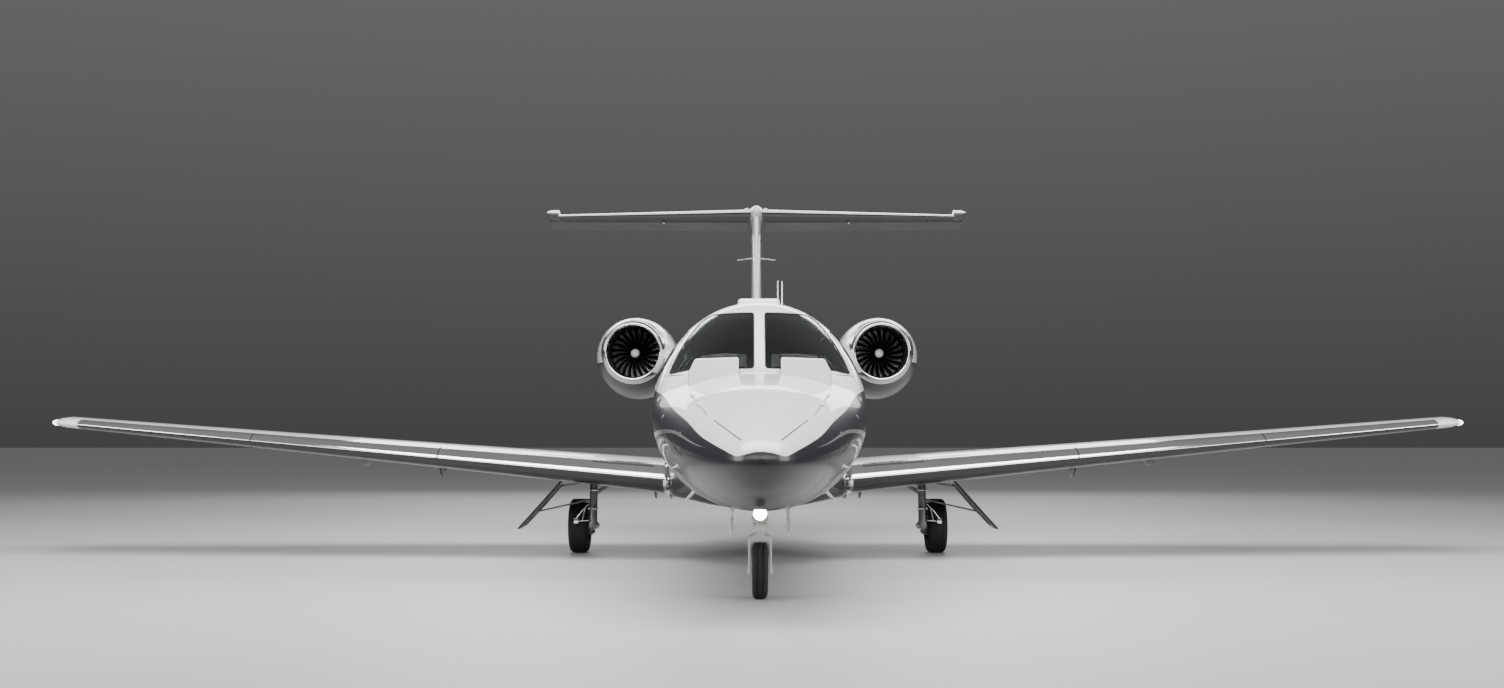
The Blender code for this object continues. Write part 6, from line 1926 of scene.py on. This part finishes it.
LEG_X = 1.690
LUG_Y = (y_at(6.147), y_at(6.198))
PIPES = (((1.735, 6.135, 0.520), (1.800, 6.125, 0.452)), ((1.800, 6.125, 0.452), (1.862, 6.130, 0.372)),
         ((1.772, 6.128, 0.482), (1.800, 6.125, 0.352)), ((1.735, 6.130, 0.350), (1.862, 6.130, 0.340)))
for side, word in SIDES:
    x = side * LEG_X
    top, ankle = (x, y_at(6.21), 0.9045), (x, y_at(6.16), 0.290)
    # The leg, shock cylinder, side brace, brake carrier and door links take the gear enamel darkened as
    # painted shade.
    leg = turned("main_leg_" + word, [(0.0, 0.036), (0.006, 0.046), (0.040, 0.046), (0.060, 0.040),
                                      (0.30, 0.0405), (0.44, 0.043), (0.52, 0.050), (0.575, 0.052),
                                      (0.617, 0.052)], ankle, tuple(np.array(top) - np.array(ankle)),
                 finishes["shade-darkened gear"], 64)
    a = np.radians(np.linspace(0, 360, 33)[:-1])
    arm_rows = ((6.118, 0.296, 0.020, 0.022), (6.126, 0.297, 0.036, 0.036), (6.16, 0.297, 0.040, 0.042),
                (6.24, 0.293, 0.031, 0.040), (6.36, 0.288, 0.029, 0.036), (6.44, 0.281, 0.034, 0.037),
                (6.48, 0.280, 0.036, 0.037), (6.500, 0.280, 0.030, 0.032), (6.506, 0.280, 0.018, 0.020))
    arm_rings = []
    for s, z, wide, tall in arm_rows:
        arm_rings.append([(x + wide * math.cos(t), y_at(s), z + tall * math.sin(t)) for t in a])
    arm = tube("trailing arm", arm_rings)
    lugs = [side_box(f"lug {z}", side, (1.70, 1.750), LUG_Y, (z - 0.021, z + 0.021), 0.006)
            for z in (0.55, 0.74)]
    carve(leg, arm, *lugs, operation="UNION")
    piece(leg, "airframe", "gear_paint", "main_leg_" + word)
    low, high = np.array((x, y_at(6.36), 0.305)), np.array((x, y_at(6.24), 0.72))
    along = high - low
    piece(rod("shock_piston_" + word, tuple(low), tuple(low + along * 0.62), 0.0165, finishes["chrome"],
              facets=40), "airframe", "steel")
    cylinder = turned("shock_cylinder_" + word, [(0.0, 0.019), (0.002, 0.0265), (0.022, 0.0275),
                                                 (0.030, 0.0245), (0.18, 0.0245), (0.19, 0.027),
                                                 (0.205, 0.027), (0.21, 0.018)], tuple(low + along * 0.50),
                      tuple(along), finishes["shade-darkened gear"], 48)
    piece(cylinder, "airframe", "gear_paint")
    ends = (x - side * 0.03, y_at(6.19), 0.634), (side * 1.28, y_at(6.19), 0.876)
    brace = rod("side_brace_" + word, *ends, 0.0195, finishes["shade-darkened gear"], facets=40)
    piece(brace, "airframe", "gear_paint")
    sleeve = collar("side_brace_sleeve_" + word, *ends, (0.34, 0.60), 0.0235, 0.018, finishes["steel"])
    piece(sleeve, "airframe", "steel")
    axle = turned("main_axle_" + word, [(1.672, 0.018), (1.674, 0.0222), (1.930, 0.0222), (1.934, 0.0150),
                                        (1.953, 0.0150), (1.955, 0.012)], MAIN_AXLE, (side, 0, 0),
                  finishes["steel"], 40)
    piece(axle, "airframe", "steel")
    nut = turned("axle_nut_" + word, [(1.934, 0.020), (1.935, 0.024), (1.946, 0.024), (1.949, 0.021)],
                 MAIN_AXLE, (side, 0, 0), finishes["steel"], 6)
    nut.data.shade_flat()
    piece(nut, "airframe", "steel")
    stack = [(1.724, 0.045), (1.724, 0.094)]
    for start in (0.0, 0.015, 0.030, 0.045):
        stack += [(1.725 + start, 0.0975), (1.733 + start, 0.0975), (1.734 + start, 0.086),
                  (1.738 + start, 0.086)]
    stack += [(1.784, 0.0975), (1.785, 0.094), (1.785, 0.045)]
    piece(turned("brake_discs_" + word, stack, MAIN_AXLE, (side, 0, 0), finishes["steel"], 64),
          "airframe", "steel")
    carrier = turned("carrier", [(1.709, 0.040), (1.709, 0.080), (1.712, 0.084), (1.7232, 0.084),
                                 (1.7232, 0.040)], MAIN_AXLE, (side, 0, 0), None, 48)
    fitting("brake_carrier_" + word, [carrier], "shade-darkened gear", "gear_paint", sharp=SHARP)
    caps = []
    for angle in (35, 80, 125, 170, 215, 260):
        place = on_circle(MAIN_AXLE, 0.064, math.radians(angle))
        caps.append(turned(f"piston {angle}", [(1.696, 0.010), (1.698, 0.0135), (1.7088, 0.0135)], place,
                           (side, 0, 0), None, 20))
    fitting("brake_pistons_" + word, caps, "chrome", "steel")
    line = hose("brake_hose_" + word, [(x + side * 0.012, y_at(6.105), 0.80),
                                       (x + side * 0.020, y_at(6.095), 0.62),
                                       (x + side * 0.024, y_at(6.085), 0.44),
                                       (x + side * 0.034, y_at(6.11), 0.355),
                                       (x + side * 0.040, y_at(6.24), 0.345),
                                       (x + side * 0.034, y_at(6.38), 0.335),
                                       (x + side * 0.022, y_at(6.425), 0.320)])
    piece(line, "airframe", "trim")
    clips = [rounded_box(f"clip {z}", (x - 0.052, y_at(6.100), z - 0.007),
                         (x + 0.052, y_at(6.235), z + 0.007), 0.003, None) for z in (0.66, 0.47)]
    fitting("hose_clips_" + word, clips, "steel", "steel")
    bank = []
    for ends in PIPES:
        ends = [(side * across, y_at(s), z) for across, s, z in ends]
        bank.append(rod("line", *ends, 0.0062, None, None, 12))
    bank.append(side_box("valve", side, (1.838, 1.886), (y_at(6.112), y_at(6.146)), (0.318, 0.372), 0.006))
    fitting("brake_valve_and_lines_" + word, bank, "chrome", "steel", sharp=SHARP)
print("main legs, brakes and hoses")

# %% Main gear doors
for side, word in SIDES:
    upper, lower = np.array((2.006, 0.751)), np.array((2.441, 0.269))
    slope = (lower - upper) / np.linalg.norm(lower - upper)
    out = np.array((-slope[1], slope[0]))
    length = float(np.linalg.norm(lower - upper))
    plan = round_corners([(y_at(5.98), 0.0), (y_at(6.36), 0.0), (y_at(6.36), length), (y_at(5.98), length)],
                         0.045)
    plate = soft_prism("main_gear_door_" + word, plan, "Z", -0.0085, 0.0085, 0.003)
    y, v, w = read_points(plate.data).T
    placed = np.stack([side * (upper[0] + slope[0] * v + out[0] * w), y,
                       upper[1] + slope[1] * v + out[1] * w], -1)
    write_points(plate.data, placed)
    if side > 0:
        plate.data.flip_normals()
    plate.data.materials.append(finishes["charcoal"])
    piece(plate, "airframe", "charcoal_paint", "main_gear_door_" + word)
    parts = []
    for z0, x0, z1 in ((0.43, 2.288, 0.55), (0.69, 2.052, 0.74)):
        parts.append(rod(f"link {z0}", (side * x0, y_at(6.17), z0 + 0.004), (side * 1.772, y_at(6.17), z1),
                         0.0085))
        parts.append(side_box(f"foot {z0}", side, (1.751, 1.768), LUG_Y, (z1 - 0.020, z1 + 0.020), 0.004))
    for station in (6.03, 6.31):
        rib = []
        for t, w in ((0.04, -0.0085), (0.07, -0.020), (0.5, -0.026), (0.93, -0.020), (0.96, -0.0085)):
            rib.append((side * (upper[0] + slope[0] * length * t + out[0] * w),
                        upper[1] + slope[1] * length * t + out[1] * w))
        parts.append(prism(f"door rib {station}", rib, "Y", y_at(station - 0.006), y_at(station + 0.006)))
    fitting("main_gear_door_links_" + word, parts, "shade-darkened gear", "gear_paint")
print("main gear doors are", round(length * 1000), "mm deep")

# %% [markdown]
# ## Belly fairing
# A long fairing closes the gap between the round body and the wing that passes under it. Its sections have
# a flat bottom and sides that flare outwards to meet the wing. A cubic runs through its rows from end to
# end.

# %% Belly fairing
BELLY = (
    (4.36, 0.50, 0.72, 1.20),
    (4.62, 0.70, 0.600, 1.28),
    (4.90, 0.82, 0.540, 1.34),
    (5.20, 0.8597, 0.522, 1.37),
    (7.30, 0.8597, 0.522, 1.37),
    (7.70, 0.820, 0.545, 1.34),
    (8.15, 0.720, 0.640, 1.30),
    (8.60, 0.520, 0.850, 1.26),
)
BELLY_RISE = 0.115
BELLY_SHAPE = ((0.30, 0.0), (0.52, 0.26), (0.70, 0.54), (0.86, 0.80), (0.96, 0.98), (1.0, 1.25))
belly_rows = smooth_table(BELLY)
stations = np.concatenate([np.linspace(4.36, 5.20, 26), np.linspace(5.35, 7.15, 14),
                           np.linspace(7.30, 8.60, 30)])
half, low, high = belly_rows(stations).T
share = smooth_path(BELLY_SHAPE)
rings = []
for width, bottom, top in zip(half, low, high):
    right = [(width * u, bottom + BELLY_RISE * v) for u, v in share]
    right += [(width, top - 0.10), (width - 0.02, top - 0.04), (width - 0.10, top)]
    rings.append(right + [(-x, z) for x, z in reversed(right)])
rings = np.array(rings)
belly_y = np.broadcast_to(y_at(stations)[:, None], rings.shape[:2])
belly = tube("belly_fairing", np.stack([rings[..., 0], belly_y, rings[..., 1]], -1))
inside_body = tube("inside of the body",
                   body_surface(np.linspace(4.2, 8.9, 60), np.arange(0, 360, 3.0), -0.0005), smooth=False)
carve(belly, inside_body)
belly.data.materials.clear()
belly.data.materials.append(finishes["livery"])
piece(belly, "airframe", "charcoal_composite", "belly_fairing")
print("belly fairing:", len(belly.data.polygons), "faces")

# %% [markdown]
# ## Details of the nose
# Two flat nozzles blow warm air over the windscreen from its foot. Probes stand off the sides of the nose
# on short masts. Thin dark lines show where covers, hatches and skin panels meet: each is a flat bead laid
# on the surface.

# %% Windscreen air nozzles and probes
AIR_NOZZLE = ((0.160, 1.56), (0.160, 1.817), (0.496, 1.806), (0.548, 1.700), (0.548, 1.56))
for side, word in SIDES:
    outline = round_corners([(side * x, z) for x, z in AIR_NOZZLE], 0.020)
    outline = outline[::side]
    nozzle = soft_prism("windscreen_air_nozzle_" + word, grown(outline, -0.002), "Y", y_at(1.93),
                        y_at(2.058), 0.010, finishes["white"], 5)
    piece(nozzle, "airframe", "white_paint", "windscreen_air_nozzle_" + word)
    line = soft_prism("nozzle_seal_" + word, grown(outline, 0.003), "Y", y_at(1.995), y_at(2.004), 0.002,
                      finishes["seal"], 3)
    piece(line, "airframe", "trim")
    slot = rod("slot", (side * 0.185, y_at(2.0), 1.8165), (side * 0.480, y_at(2.0), 1.807), 0.0045, None,
               None, 12)
    fitting("nozzle_slit_" + word, [slot], "seal", "trim")

MAST_HEIGHT = 0.075


def point_and_normal(station, degrees):
    """A point of the body, and the way out of the surface there as a step of 0.1 m."""
    near, deep = (body_surface([station], [degrees], inset)[0, 0] for inset in (0.0, 0.1))
    return near, near - deep


near, step = point_and_normal(1.50, -48.0)
out = step / np.linalg.norm(step)
end = near + out * MAST_HEIGHT
for side, word in SIDES:
    flip = np.array((side, 1, 1))
    base, tip = near * flip, end * flip
    outward = out * flip
    probe = turned("pitot_tube_" + word, [(-0.008, 0.0080), (0.0, 0.0120), (0.100, 0.0115), (0.128, 0.0103),
                                          (0.1515, 0.0078), (0.1515, 0.0040), (0.140, 0.0035)],
                   tip + np.array((0, 0.006, 0)), (0, -1, 0), finishes["chrome"], 32)
    piece(probe, "airframe", "steel")
    t = np.linspace(0, 1, 7)[:, None]
    u, sign = lens_loop(10)
    across = np.cross(outward, (0, 1, 0))
    middle = base - outward * 0.01 + outward * (MAST_HEIGHT + 0.012) * t
    back = (u - 0.42) * (0.062 - 0.022 * t)
    depth = sign * 0.038 * np.sqrt(u) * (1 - u) * (1 - 0.3 * t)
    mast_grid = middle[:, None] + back[..., None] * np.array((0, 1, 0)) + depth[..., None] * across
    piece(tube("pitot_mast_" + word, mast_grid, finishes["white"]), "airframe", "white_paint")
    pad = turned("pitot_pad_" + word, [(-0.004, 0.036), (0.0035, 0.036), (0.0055, 0.033)], base,
                 tuple(outward), finishes["steel"], 40)
    piece(pad, "airframe", "steel")
    vane_base, vane_out = point_and_normal(1.10, -20.0)
    stub = turned("angle_probe_" + word, [(-0.003, 0.020), (0.004, 0.020), (0.006, 0.018), (0.008, 0.009),
                                          (0.048, 0.0045), (0.050, 0.002)], vane_base * flip,
                  tuple(vane_out * flip), finishes["steel"], 32)
    piece(stub, "airframe", "steel")
print("probes stand", round(MAST_HEIGHT * 1000), "mm off the nose")

# %% Lines on the skin


def onto_front(outline):
    """Points of the nose seen from ahead at (x, z), ahead of the windscreen."""
    x, z = np.asarray(outline, float).T
    return np.stack([x, y_at(station_of(np.abs(x), z, 0.02, 1.9)), z], -1)


def seam(name, path, normal, closed=False):
    """A dark line 3 mm wide on a surface."""
    return bead(name, path, normal, 0.003, 0.0009, finishes["seal"], 6, closed)


def ring_line(station, low, high):
    """A line round the body at one station, between two angles of its section."""
    path = body_surface([station], np.arange(low, high + 0.01, 2.0), -PROUD)[0]
    return seam(f"ring {station}", path, body_normal(path))


def long_line(low, high, degrees):
    """A line along the body at one angle of its section."""
    path = body_surface(np.arange(low, high + 0.001, 0.06), [degrees], -PROUD)[:, 0]
    return seam(f"roof {degrees}", path, body_normal(path))


lines = []
for side, _ in SIDES:
    seen = np.linspace((side * 0.318, 1.320), (side * 0.128, 1.186), 24)
    vee = onto_front(seen)
    normal = body_normal(vee)
    lines.append(bead("nose line", vee + normal * 0.0028, normal, 0.0075, 0.0016, finishes["seal"], 6,
                      False))
for station in (2.12, 3.60, 4.40, 7.92, 9.30, 10.60):
    over_fairing = BELLY[0][0] < station < BELLY[-1][0]
    lines.append(ring_line(station, *((-128, 308) if over_fairing else (-178, 358))))
lines += [long_line(4.42, 7.90, degrees) for degrees in (72.0, 108.0)]
line_work("skin_seams", lines, "seal", "trim")

foot = []
for side, _ in SIDES:
    path = onto_nose(np.linspace((side * 0.745, 1.690), (side * 0.02, 1.694), 40))
    normal = body_normal(path)
    foot.append(bead("foot", path + normal * 0.003, normal, 0.010, 0.0022, finishes["white"], 8, False))
line_work("windscreen_foot_strip", foot, "chrome", "polished_metal")

cowl_lines = []
cowl_curve = smooth_table(NACELLE)
for side, _ in SIDES:
    x = side * NACELLE_X
    for station in (8.42, 9.22, 9.90):
        ring = cowl_rings(np.column_stack([[station], cowl_curve([station])]), x)[0]
        outward = ring - ring.mean(axis=0)
        outward /= np.linalg.norm(outward, axis=1, keepdims=True)
        cowl_lines.append(seam(f"cowl ring {station}", ring, outward, True))
    for degrees in (-20.0, 200.0, 90.0):
        s = np.linspace(8.42, 9.22, 14)
        radius, middle = cowl_curve(s).T
        a = math.radians(degrees)
        outward = np.tile((math.cos(a), 0.0, math.sin(a)), (len(s), 1))
        path = np.stack([x + radius * math.cos(a), y_at(s), middle + radius * math.sin(a)], -1)
        cowl_lines.append(seam(f"cowl line {degrees}", path, outward))
line_work("cowl_seams", cowl_lines, "seal", "trim")
print("lines on the skin:", len(lines), "and on the cowls:", len(cowl_lines))

# %% [markdown]
# ## Seats
# Eight leather seats share one cushion and one back, each a bag of cloth over foam. The bag starts as a
# slightly small rounded box with an even net of faces. Pressure blows it up as cloth, and no point may move
# further than the foam would let it. Sewn channels then press in along their lines, and copies go to every
# seat.

# %% Stuffed pads
NET_STEP = 0.009
BLOW_FRAMES = 20


def stuffed(name, size, cap, radius=0.036):
    """A pad about the origin: cloth under pressure, each point held within cap of its start."""
    size = np.array(size)
    start = rounded_box(name, -size / 2, size / 2, radius, None, 4)
    even = start.modifiers.new("even net", "REMESH")
    even.mode = "VOXEL"
    even.voxel_size = NET_STEP
    net = bpy.data.meshes.new_from_object(start.evaluated_get(bpy.context.evaluated_depsgraph_get()))
    start.modifiers.clear()
    start.data = net
    rest = read_points(net)
    cloth = start.modifiers.new("cover", "CLOTH")
    cloth.settings.quality = 5
    cloth.settings.mass = 0.3
    cloth.settings.use_pressure = True
    cloth.settings.uniform_pressure_force = 4.0
    cloth.settings.effector_weights.gravity = 0.0
    cloth.point_cache.frame_start, cloth.point_cache.frame_end = 1, BLOW_FRAMES
    for number in range(1, BLOW_FRAMES + 1):
        bpy.context.scene.frame_set(number)
    blown = bpy.data.meshes.new_from_object(start.evaluated_get(bpy.context.evaluated_depsgraph_get()))
    moved = read_points(blown)
    start.modifiers.clear()
    bpy.context.scene.frame_set(1)
    moved -= moved.mean(axis=0) - rest.mean(axis=0)
    step = moved - rest
    length = np.linalg.norm(step, axis=1, keepdims=True)
    moved = rest + step * np.minimum(1, cap / np.maximum(length, 1e-9))
    bpy.data.objects.remove(start)
    return net, moved


def channel(points, along, places, faces_up, depth=0.007, width=0.0075):
    """Presses a sewn line in: depth exp(-(d / width)^2) at distance d, on the side that faces up."""
    up = np.clip(points[:, faces_up] / 0.03, 0, 1)
    for place in places:
        away = points[:, along] - place
        points[:, faces_up] -= up * depth * np.exp(-((away / width) ** 2))
    return points


def place_pad(name, net, points, corner, across, up, out, body="airframe", node=()):
    """A copy of the pad, whose three own directions become across, up and out from its corner."""
    mesh = net.copy()
    mesh.name = name
    turn = np.array([across, up, out], float)
    write_points(mesh, points @ turn + np.array(corner))
    if np.linalg.det(turn) < 0:
        mesh.flip_normals()
    pad = place_mesh(name, mesh, finishes["leather"], sharp=60.0)
    return piece(pad, body, "leather", *node)


squab_net, squab = stuffed("squab", (0.415, 0.425, 0.104), 0.011)
squab = channel(channel(squab, 0, (-0.138, 0.138), 2), 1, (-0.07, 0.07), 2, 0.005)
squab[:, 2] = np.maximum(squab[:, 2], -0.054)
back_net, back = stuffed("back", (0.395, 0.520, 0.078), 0.010)
back = channel(channel(back, 0, (-0.125, 0.125), 2), 1, (-0.13, 0.0, 0.13), 2, 0.005)
head_net, head = stuffed("head", (0.265, 0.125, 0.068), 0.009, 0.026)
print("pads:", len(squab), len(back), len(head), "points",
      "")

# %% Seats in their places
FLOOR_Z = 0.970
SEATS = ((0.30, 2.86, 1), (-0.30, 2.86, 1), (0.40, 5.00, -1), (-0.40, 5.00, -1), (0.40, 6.20, 1),
         (-0.40, 6.20, 1), (-0.40, 7.15, 1), (0.40, 7.15, 1))
shells = []
for number, (x, s, facing) in enumerate(SEATS, 1):
    base = FLOOR_Z + 0.001
    node = (("cockpit_seats",) if number < 2 else ("cabin_seats",) if number == 3 else ())
    place_pad(f"seat_squab_{number}", squab_net, squab, (x, y_at(s - facing * 0.005), base + 0.262),
              (1, 0, 0), (0, -facing, 0), (0, 0, 1), node=node)
    low = np.array((x, y_at(s + facing * 0.205), base + 0.335))
    high = np.array((x, y_at(s + facing * 0.302), base + 0.925))
    up = (high - low) / np.linalg.norm(high - low)
    out = np.cross((1, 0, 0), up)
    out = out if out[1] * facing < 0 else -out
    place_pad(f"seat_back_{number}", back_net, back, low + up * 0.215, (1, 0, 0), up, out)
    place_pad(f"seat_head_{number}", head_net, head, low + up * 0.537 + out * 0.006, (1, 0, 0), up, out)
    shell = [(s + facing * u, base + v) for u, v in ((0.222, 0.245), (0.252, 0.245), (0.372, 0.905),
                                                     (0.366, 0.925), (0.345, 0.925), (0.335, 0.905))]
    shell = round_corners([(y_at(a), b) for a, b in shell], 0.010, 3)
    shells.append(soft_prism(f"shell {number}", shell, "X", x - 0.198, x + 0.198, 0.008))
    shells.append(rounded_box(f"pan {number}", (x - 0.212, y_at(s) - 0.213, base + 0.176),
                              (x + 0.212, y_at(s) + 0.213, base + 0.206), 0.012, None))
    leg = []
    for z, wide, deep in ((0.022, 0.138, 0.138), (0.040, 0.134, 0.134), (0.060, 0.112, 0.120),
                          (0.150, 0.106, 0.114), (0.178, 0.130, 0.132)):
        corners = round_corners([(-wide, -deep), (wide, -deep), (wide, deep), (-wide, deep)], 0.035, 5)
        leg.append(np.column_stack([x + corners[:, 0], y_at(s) + corners[:, 1],
                                    np.full(len(corners), base + z)]))
    shells.append(tube(f"leg {number}", leg))
    if number > 2:
        front, rear = sorted((y_at(s - facing * 0.14), y_at(s + facing * 0.235)))
        post_y = y_at(s + facing * 0.09)
        for arm in (-0.234, 0.234):
            shells.append(rounded_box(f"arm {number} {arm}", (x + arm - 0.021, front, base + 0.465),
                                      (x + arm + 0.021, rear, base + 0.505), 0.014, None, 4))
            shells.append(rounded_box(f"post {number} {arm}",
                                      (x + arm - 0.012, post_y - 0.035, base + 0.180),
                                      (x + arm + 0.012, post_y + 0.035, base + 0.470), 0.008, None, 3))
fitting("seat_shells", shells, "trim", "trim", sharp=SHARP)
rails = []
for x, start, end in ((0.30, 2.66, 3.06), (-0.30, 2.66, 3.06), (0.40, 4.78, 7.36), (-0.40, 4.78, 7.36)):
    for k in (-0.085, 0.085):
        rails.append(rounded_box(f"rail {x} {k}", (x + k - 0.012, y_at(start), FLOOR_Z + 0.0004),
                                 (x + k + 0.012, y_at(end), FLOOR_Z + 0.020), 0.003, None, 2))
fitting("seat_rails", rails, "steel", "steel")
print(len(SEATS), "seats, each with three pads")

# %% [markdown]
# ## Cockpit and cabin trim
# Three displays in soft-edged bezels, a row of knobs and a hood fill the panel. A pedestal with two levers
# stands between the front seats. Ledges run along the cabin walls, and the skin's inner face has a pale
# lining.

# %% Displays, hood and pedestal
HOOD_HALF = 0.62
bezels, screens, knobs = [], [], []
for x, wide in ((-0.335, 0.145), (0.0, 0.140), (0.335, 0.145)):
    outline = round_corners([(x - wide, 1.425), (x + wide, 1.425), (x + wide, 1.635), (x - wide, 1.635)],
                            0.016, 4)
    bezels.append(soft_prism(f"bezel {x}", outline, "Y", y_at(2.419), y_at(2.431), 0.003))
    screens.append(soft_prism(f"screen {x}", grown(outline, -0.018), "Y", y_at(2.4295), y_at(2.4325), 0.001))
    for k in range(6):
        place = (x - wide + 0.03 + k * (2 * wide - 0.06) / 5, y_at(2.431), 1.4335)
        knobs.append(turned(f"key {x} {k}", [(-0.001, 0.0048), (0.003, 0.0048), (0.0036, 0.004)], place,
                            (0, 1, 0), facets=6))
for x in (-0.165, 0.165):
    for z in (1.47, 1.53, 1.59):
        knobs.append(turned(f"knob {x} {z}",
                            [(-0.002, 0.013), (0.003, 0.012), (0.016, 0.010), (0.018, 0.008)],
                            (x, y_at(2.421), z), (0, 1, 0), facets=14))
for items, name, finish, slot in ((bezels, "display_bezels", "panel", "avionics"),
                                  (screens, "display_screens", "screen", "avionics"),
                                  (knobs, "panel_knobs", "steel", "steel")):
    fitting(name, items, finish, slot, sharp=SHARP)
hood_rows = []
for s, z, drop in ((2.235, 1.668, 0.006), (2.30, 1.688, 0.010), (2.40, 1.694, 0.014), (2.50, 1.684, 0.014),
                   (2.525, 1.670, 0.008)):
    u = np.linspace(-1, 1, 25)
    arch = z - 0.045 * u**4
    across = HOOD_HALF * np.concatenate([u, u[::-1]])
    heights = np.concatenate([arch, arch[::-1] - drop])
    hood_rows.append([(a, y_at(s), b) for a, b in zip(across, heights)])
piece(tube("glareshield", hood_rows, finishes["panel"]), "airframe", "avionics")
pedestal = round_corners([(y_at(2.425), 0.975), (y_at(2.425), 1.385), (y_at(2.55), 1.340),
                          (y_at(2.98), 1.215), (y_at(3.02), 0.975)], 0.03)
block_piece = soft_prism("centre_pedestal", pedestal, "X", -0.072, 0.072, 0.010, finishes["panel"], 4)
piece(block_piece, "airframe", "avionics")
levers = []
for x in (-0.026, 0.026):
    levers.append(rod(f"lever {x}", (x, y_at(2.66), 1.28), (x * 1.1, y_at(2.64), 1.395), 0.0055, None, None,
                      14))
    levers.append(rounded_box(f"grip {x}", (x * 1.1 - 0.020, y_at(2.622), 1.388),
                              (x * 1.1 + 0.020, y_at(2.660), 1.412), 0.009, None, 4))
for k in range(4):
    levers.append(turned(f"dial {k}", [(-0.004, 0.015), (0.006, 0.014), (0.018, 0.011), (0.020, 0.009)],
                         (0.035 * (1 if k % 2 else -1), y_at(2.80 + 0.07 * (k // 2)),
                          1.270 - 0.0205 * (k // 2)), (0, 0.28, 0.96), None, 16))
fitting("throttle_levers", levers, "steel", "steel", sharp=SHARP)

ledges = []
for side, word in SIDES:
    outline = [(side * 0.690, 1.250), (side * 0.800, 1.262), (side * 0.808, 1.330),
               (side * 0.795, 1.336), (side * 0.700, 1.328), (side * 0.688, 1.318)][::side]
    ledges.append(soft_prism(f"ledge {word}", round_corners(outline, 0.008, 3), "Y", y_at(4.42), y_at(7.80),
                             0.004))
    table = [(side * 0.50, 1.392), (side * 0.690, 1.392), (side * 0.690, 1.412),
             (side * 0.50, 1.412)][::side]
    ledges.append(soft_prism(f"table {word}", table, "Y", y_at(5.38), y_at(5.84), 0.006))
fitting("cabin_ledges", ledges, "trim", "trim", sharp=SHARP)

skin = fuselage.data
skin.materials.append(finishes["trim"])
centres, normals = read_faces(skin, "center"), read_faces(skin, "normal")
middle_height = body_rows(np.clip(centres[:, 1] + LENGTH / 2, 0, 12.2))[:, 3]
outward = np.stack([centres[:, 0], centres[:, 2] - middle_height], -1)
inward = np.sum(outward * normals[:, [0, 2]], axis=1) < -0.25 * np.linalg.norm(outward, axis=1)
inward &= centres[:, 1] > y_at(2.02)
set_finish_places(skin, inward)
print("lined faces of the skin:", int(inward.sum()))

# %% [markdown]
# ## Floor
# A plain pale floor carries the soft shadow that shows the aircraft stands on its wheels.

# %% Studio floor
FLOOR_GREY = (0.52, 0.52, 0.52)
floor = place_mesh("studio_floor", bpy.data.meshes.new("studio_floor"), smooth=False)
floor.data.from_pydata([(-80, -60, 0), (80, -60, 0), (80, 140, 0), (-80, 140, 0)], [], [(0, 1, 2, 3)])
floor_finish, floor_tree, floor_shader = start_material("pale_floor", FLOOR_GREY, 0.5)
add_unevenness(floor_tree, floor_shader, FLOOR_GREY, (0.45, 0.60), tint=0.03, broad=0.15, fine=8.0)
floor.data.materials.append(floor_finish)
floor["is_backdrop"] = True
print("the floor is", round(floor.dimensions.x), "m wide")

# %% [markdown]
# ## Size
# Both boxes, of the solids and of the dressed aircraft, are printed side by side. The dressed aircraft has
# to stay within the box of its solids.

# %% Compare the boxes and finish
dressed_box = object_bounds()
for name, corner, dressed in zip(("lowest", "highest"), solids_box, dressed_box):
    print(name, "corner of the solids", [round(float(v), 3) for v in corner], "dressed",
          [round(float(v), 3) for v in dressed])
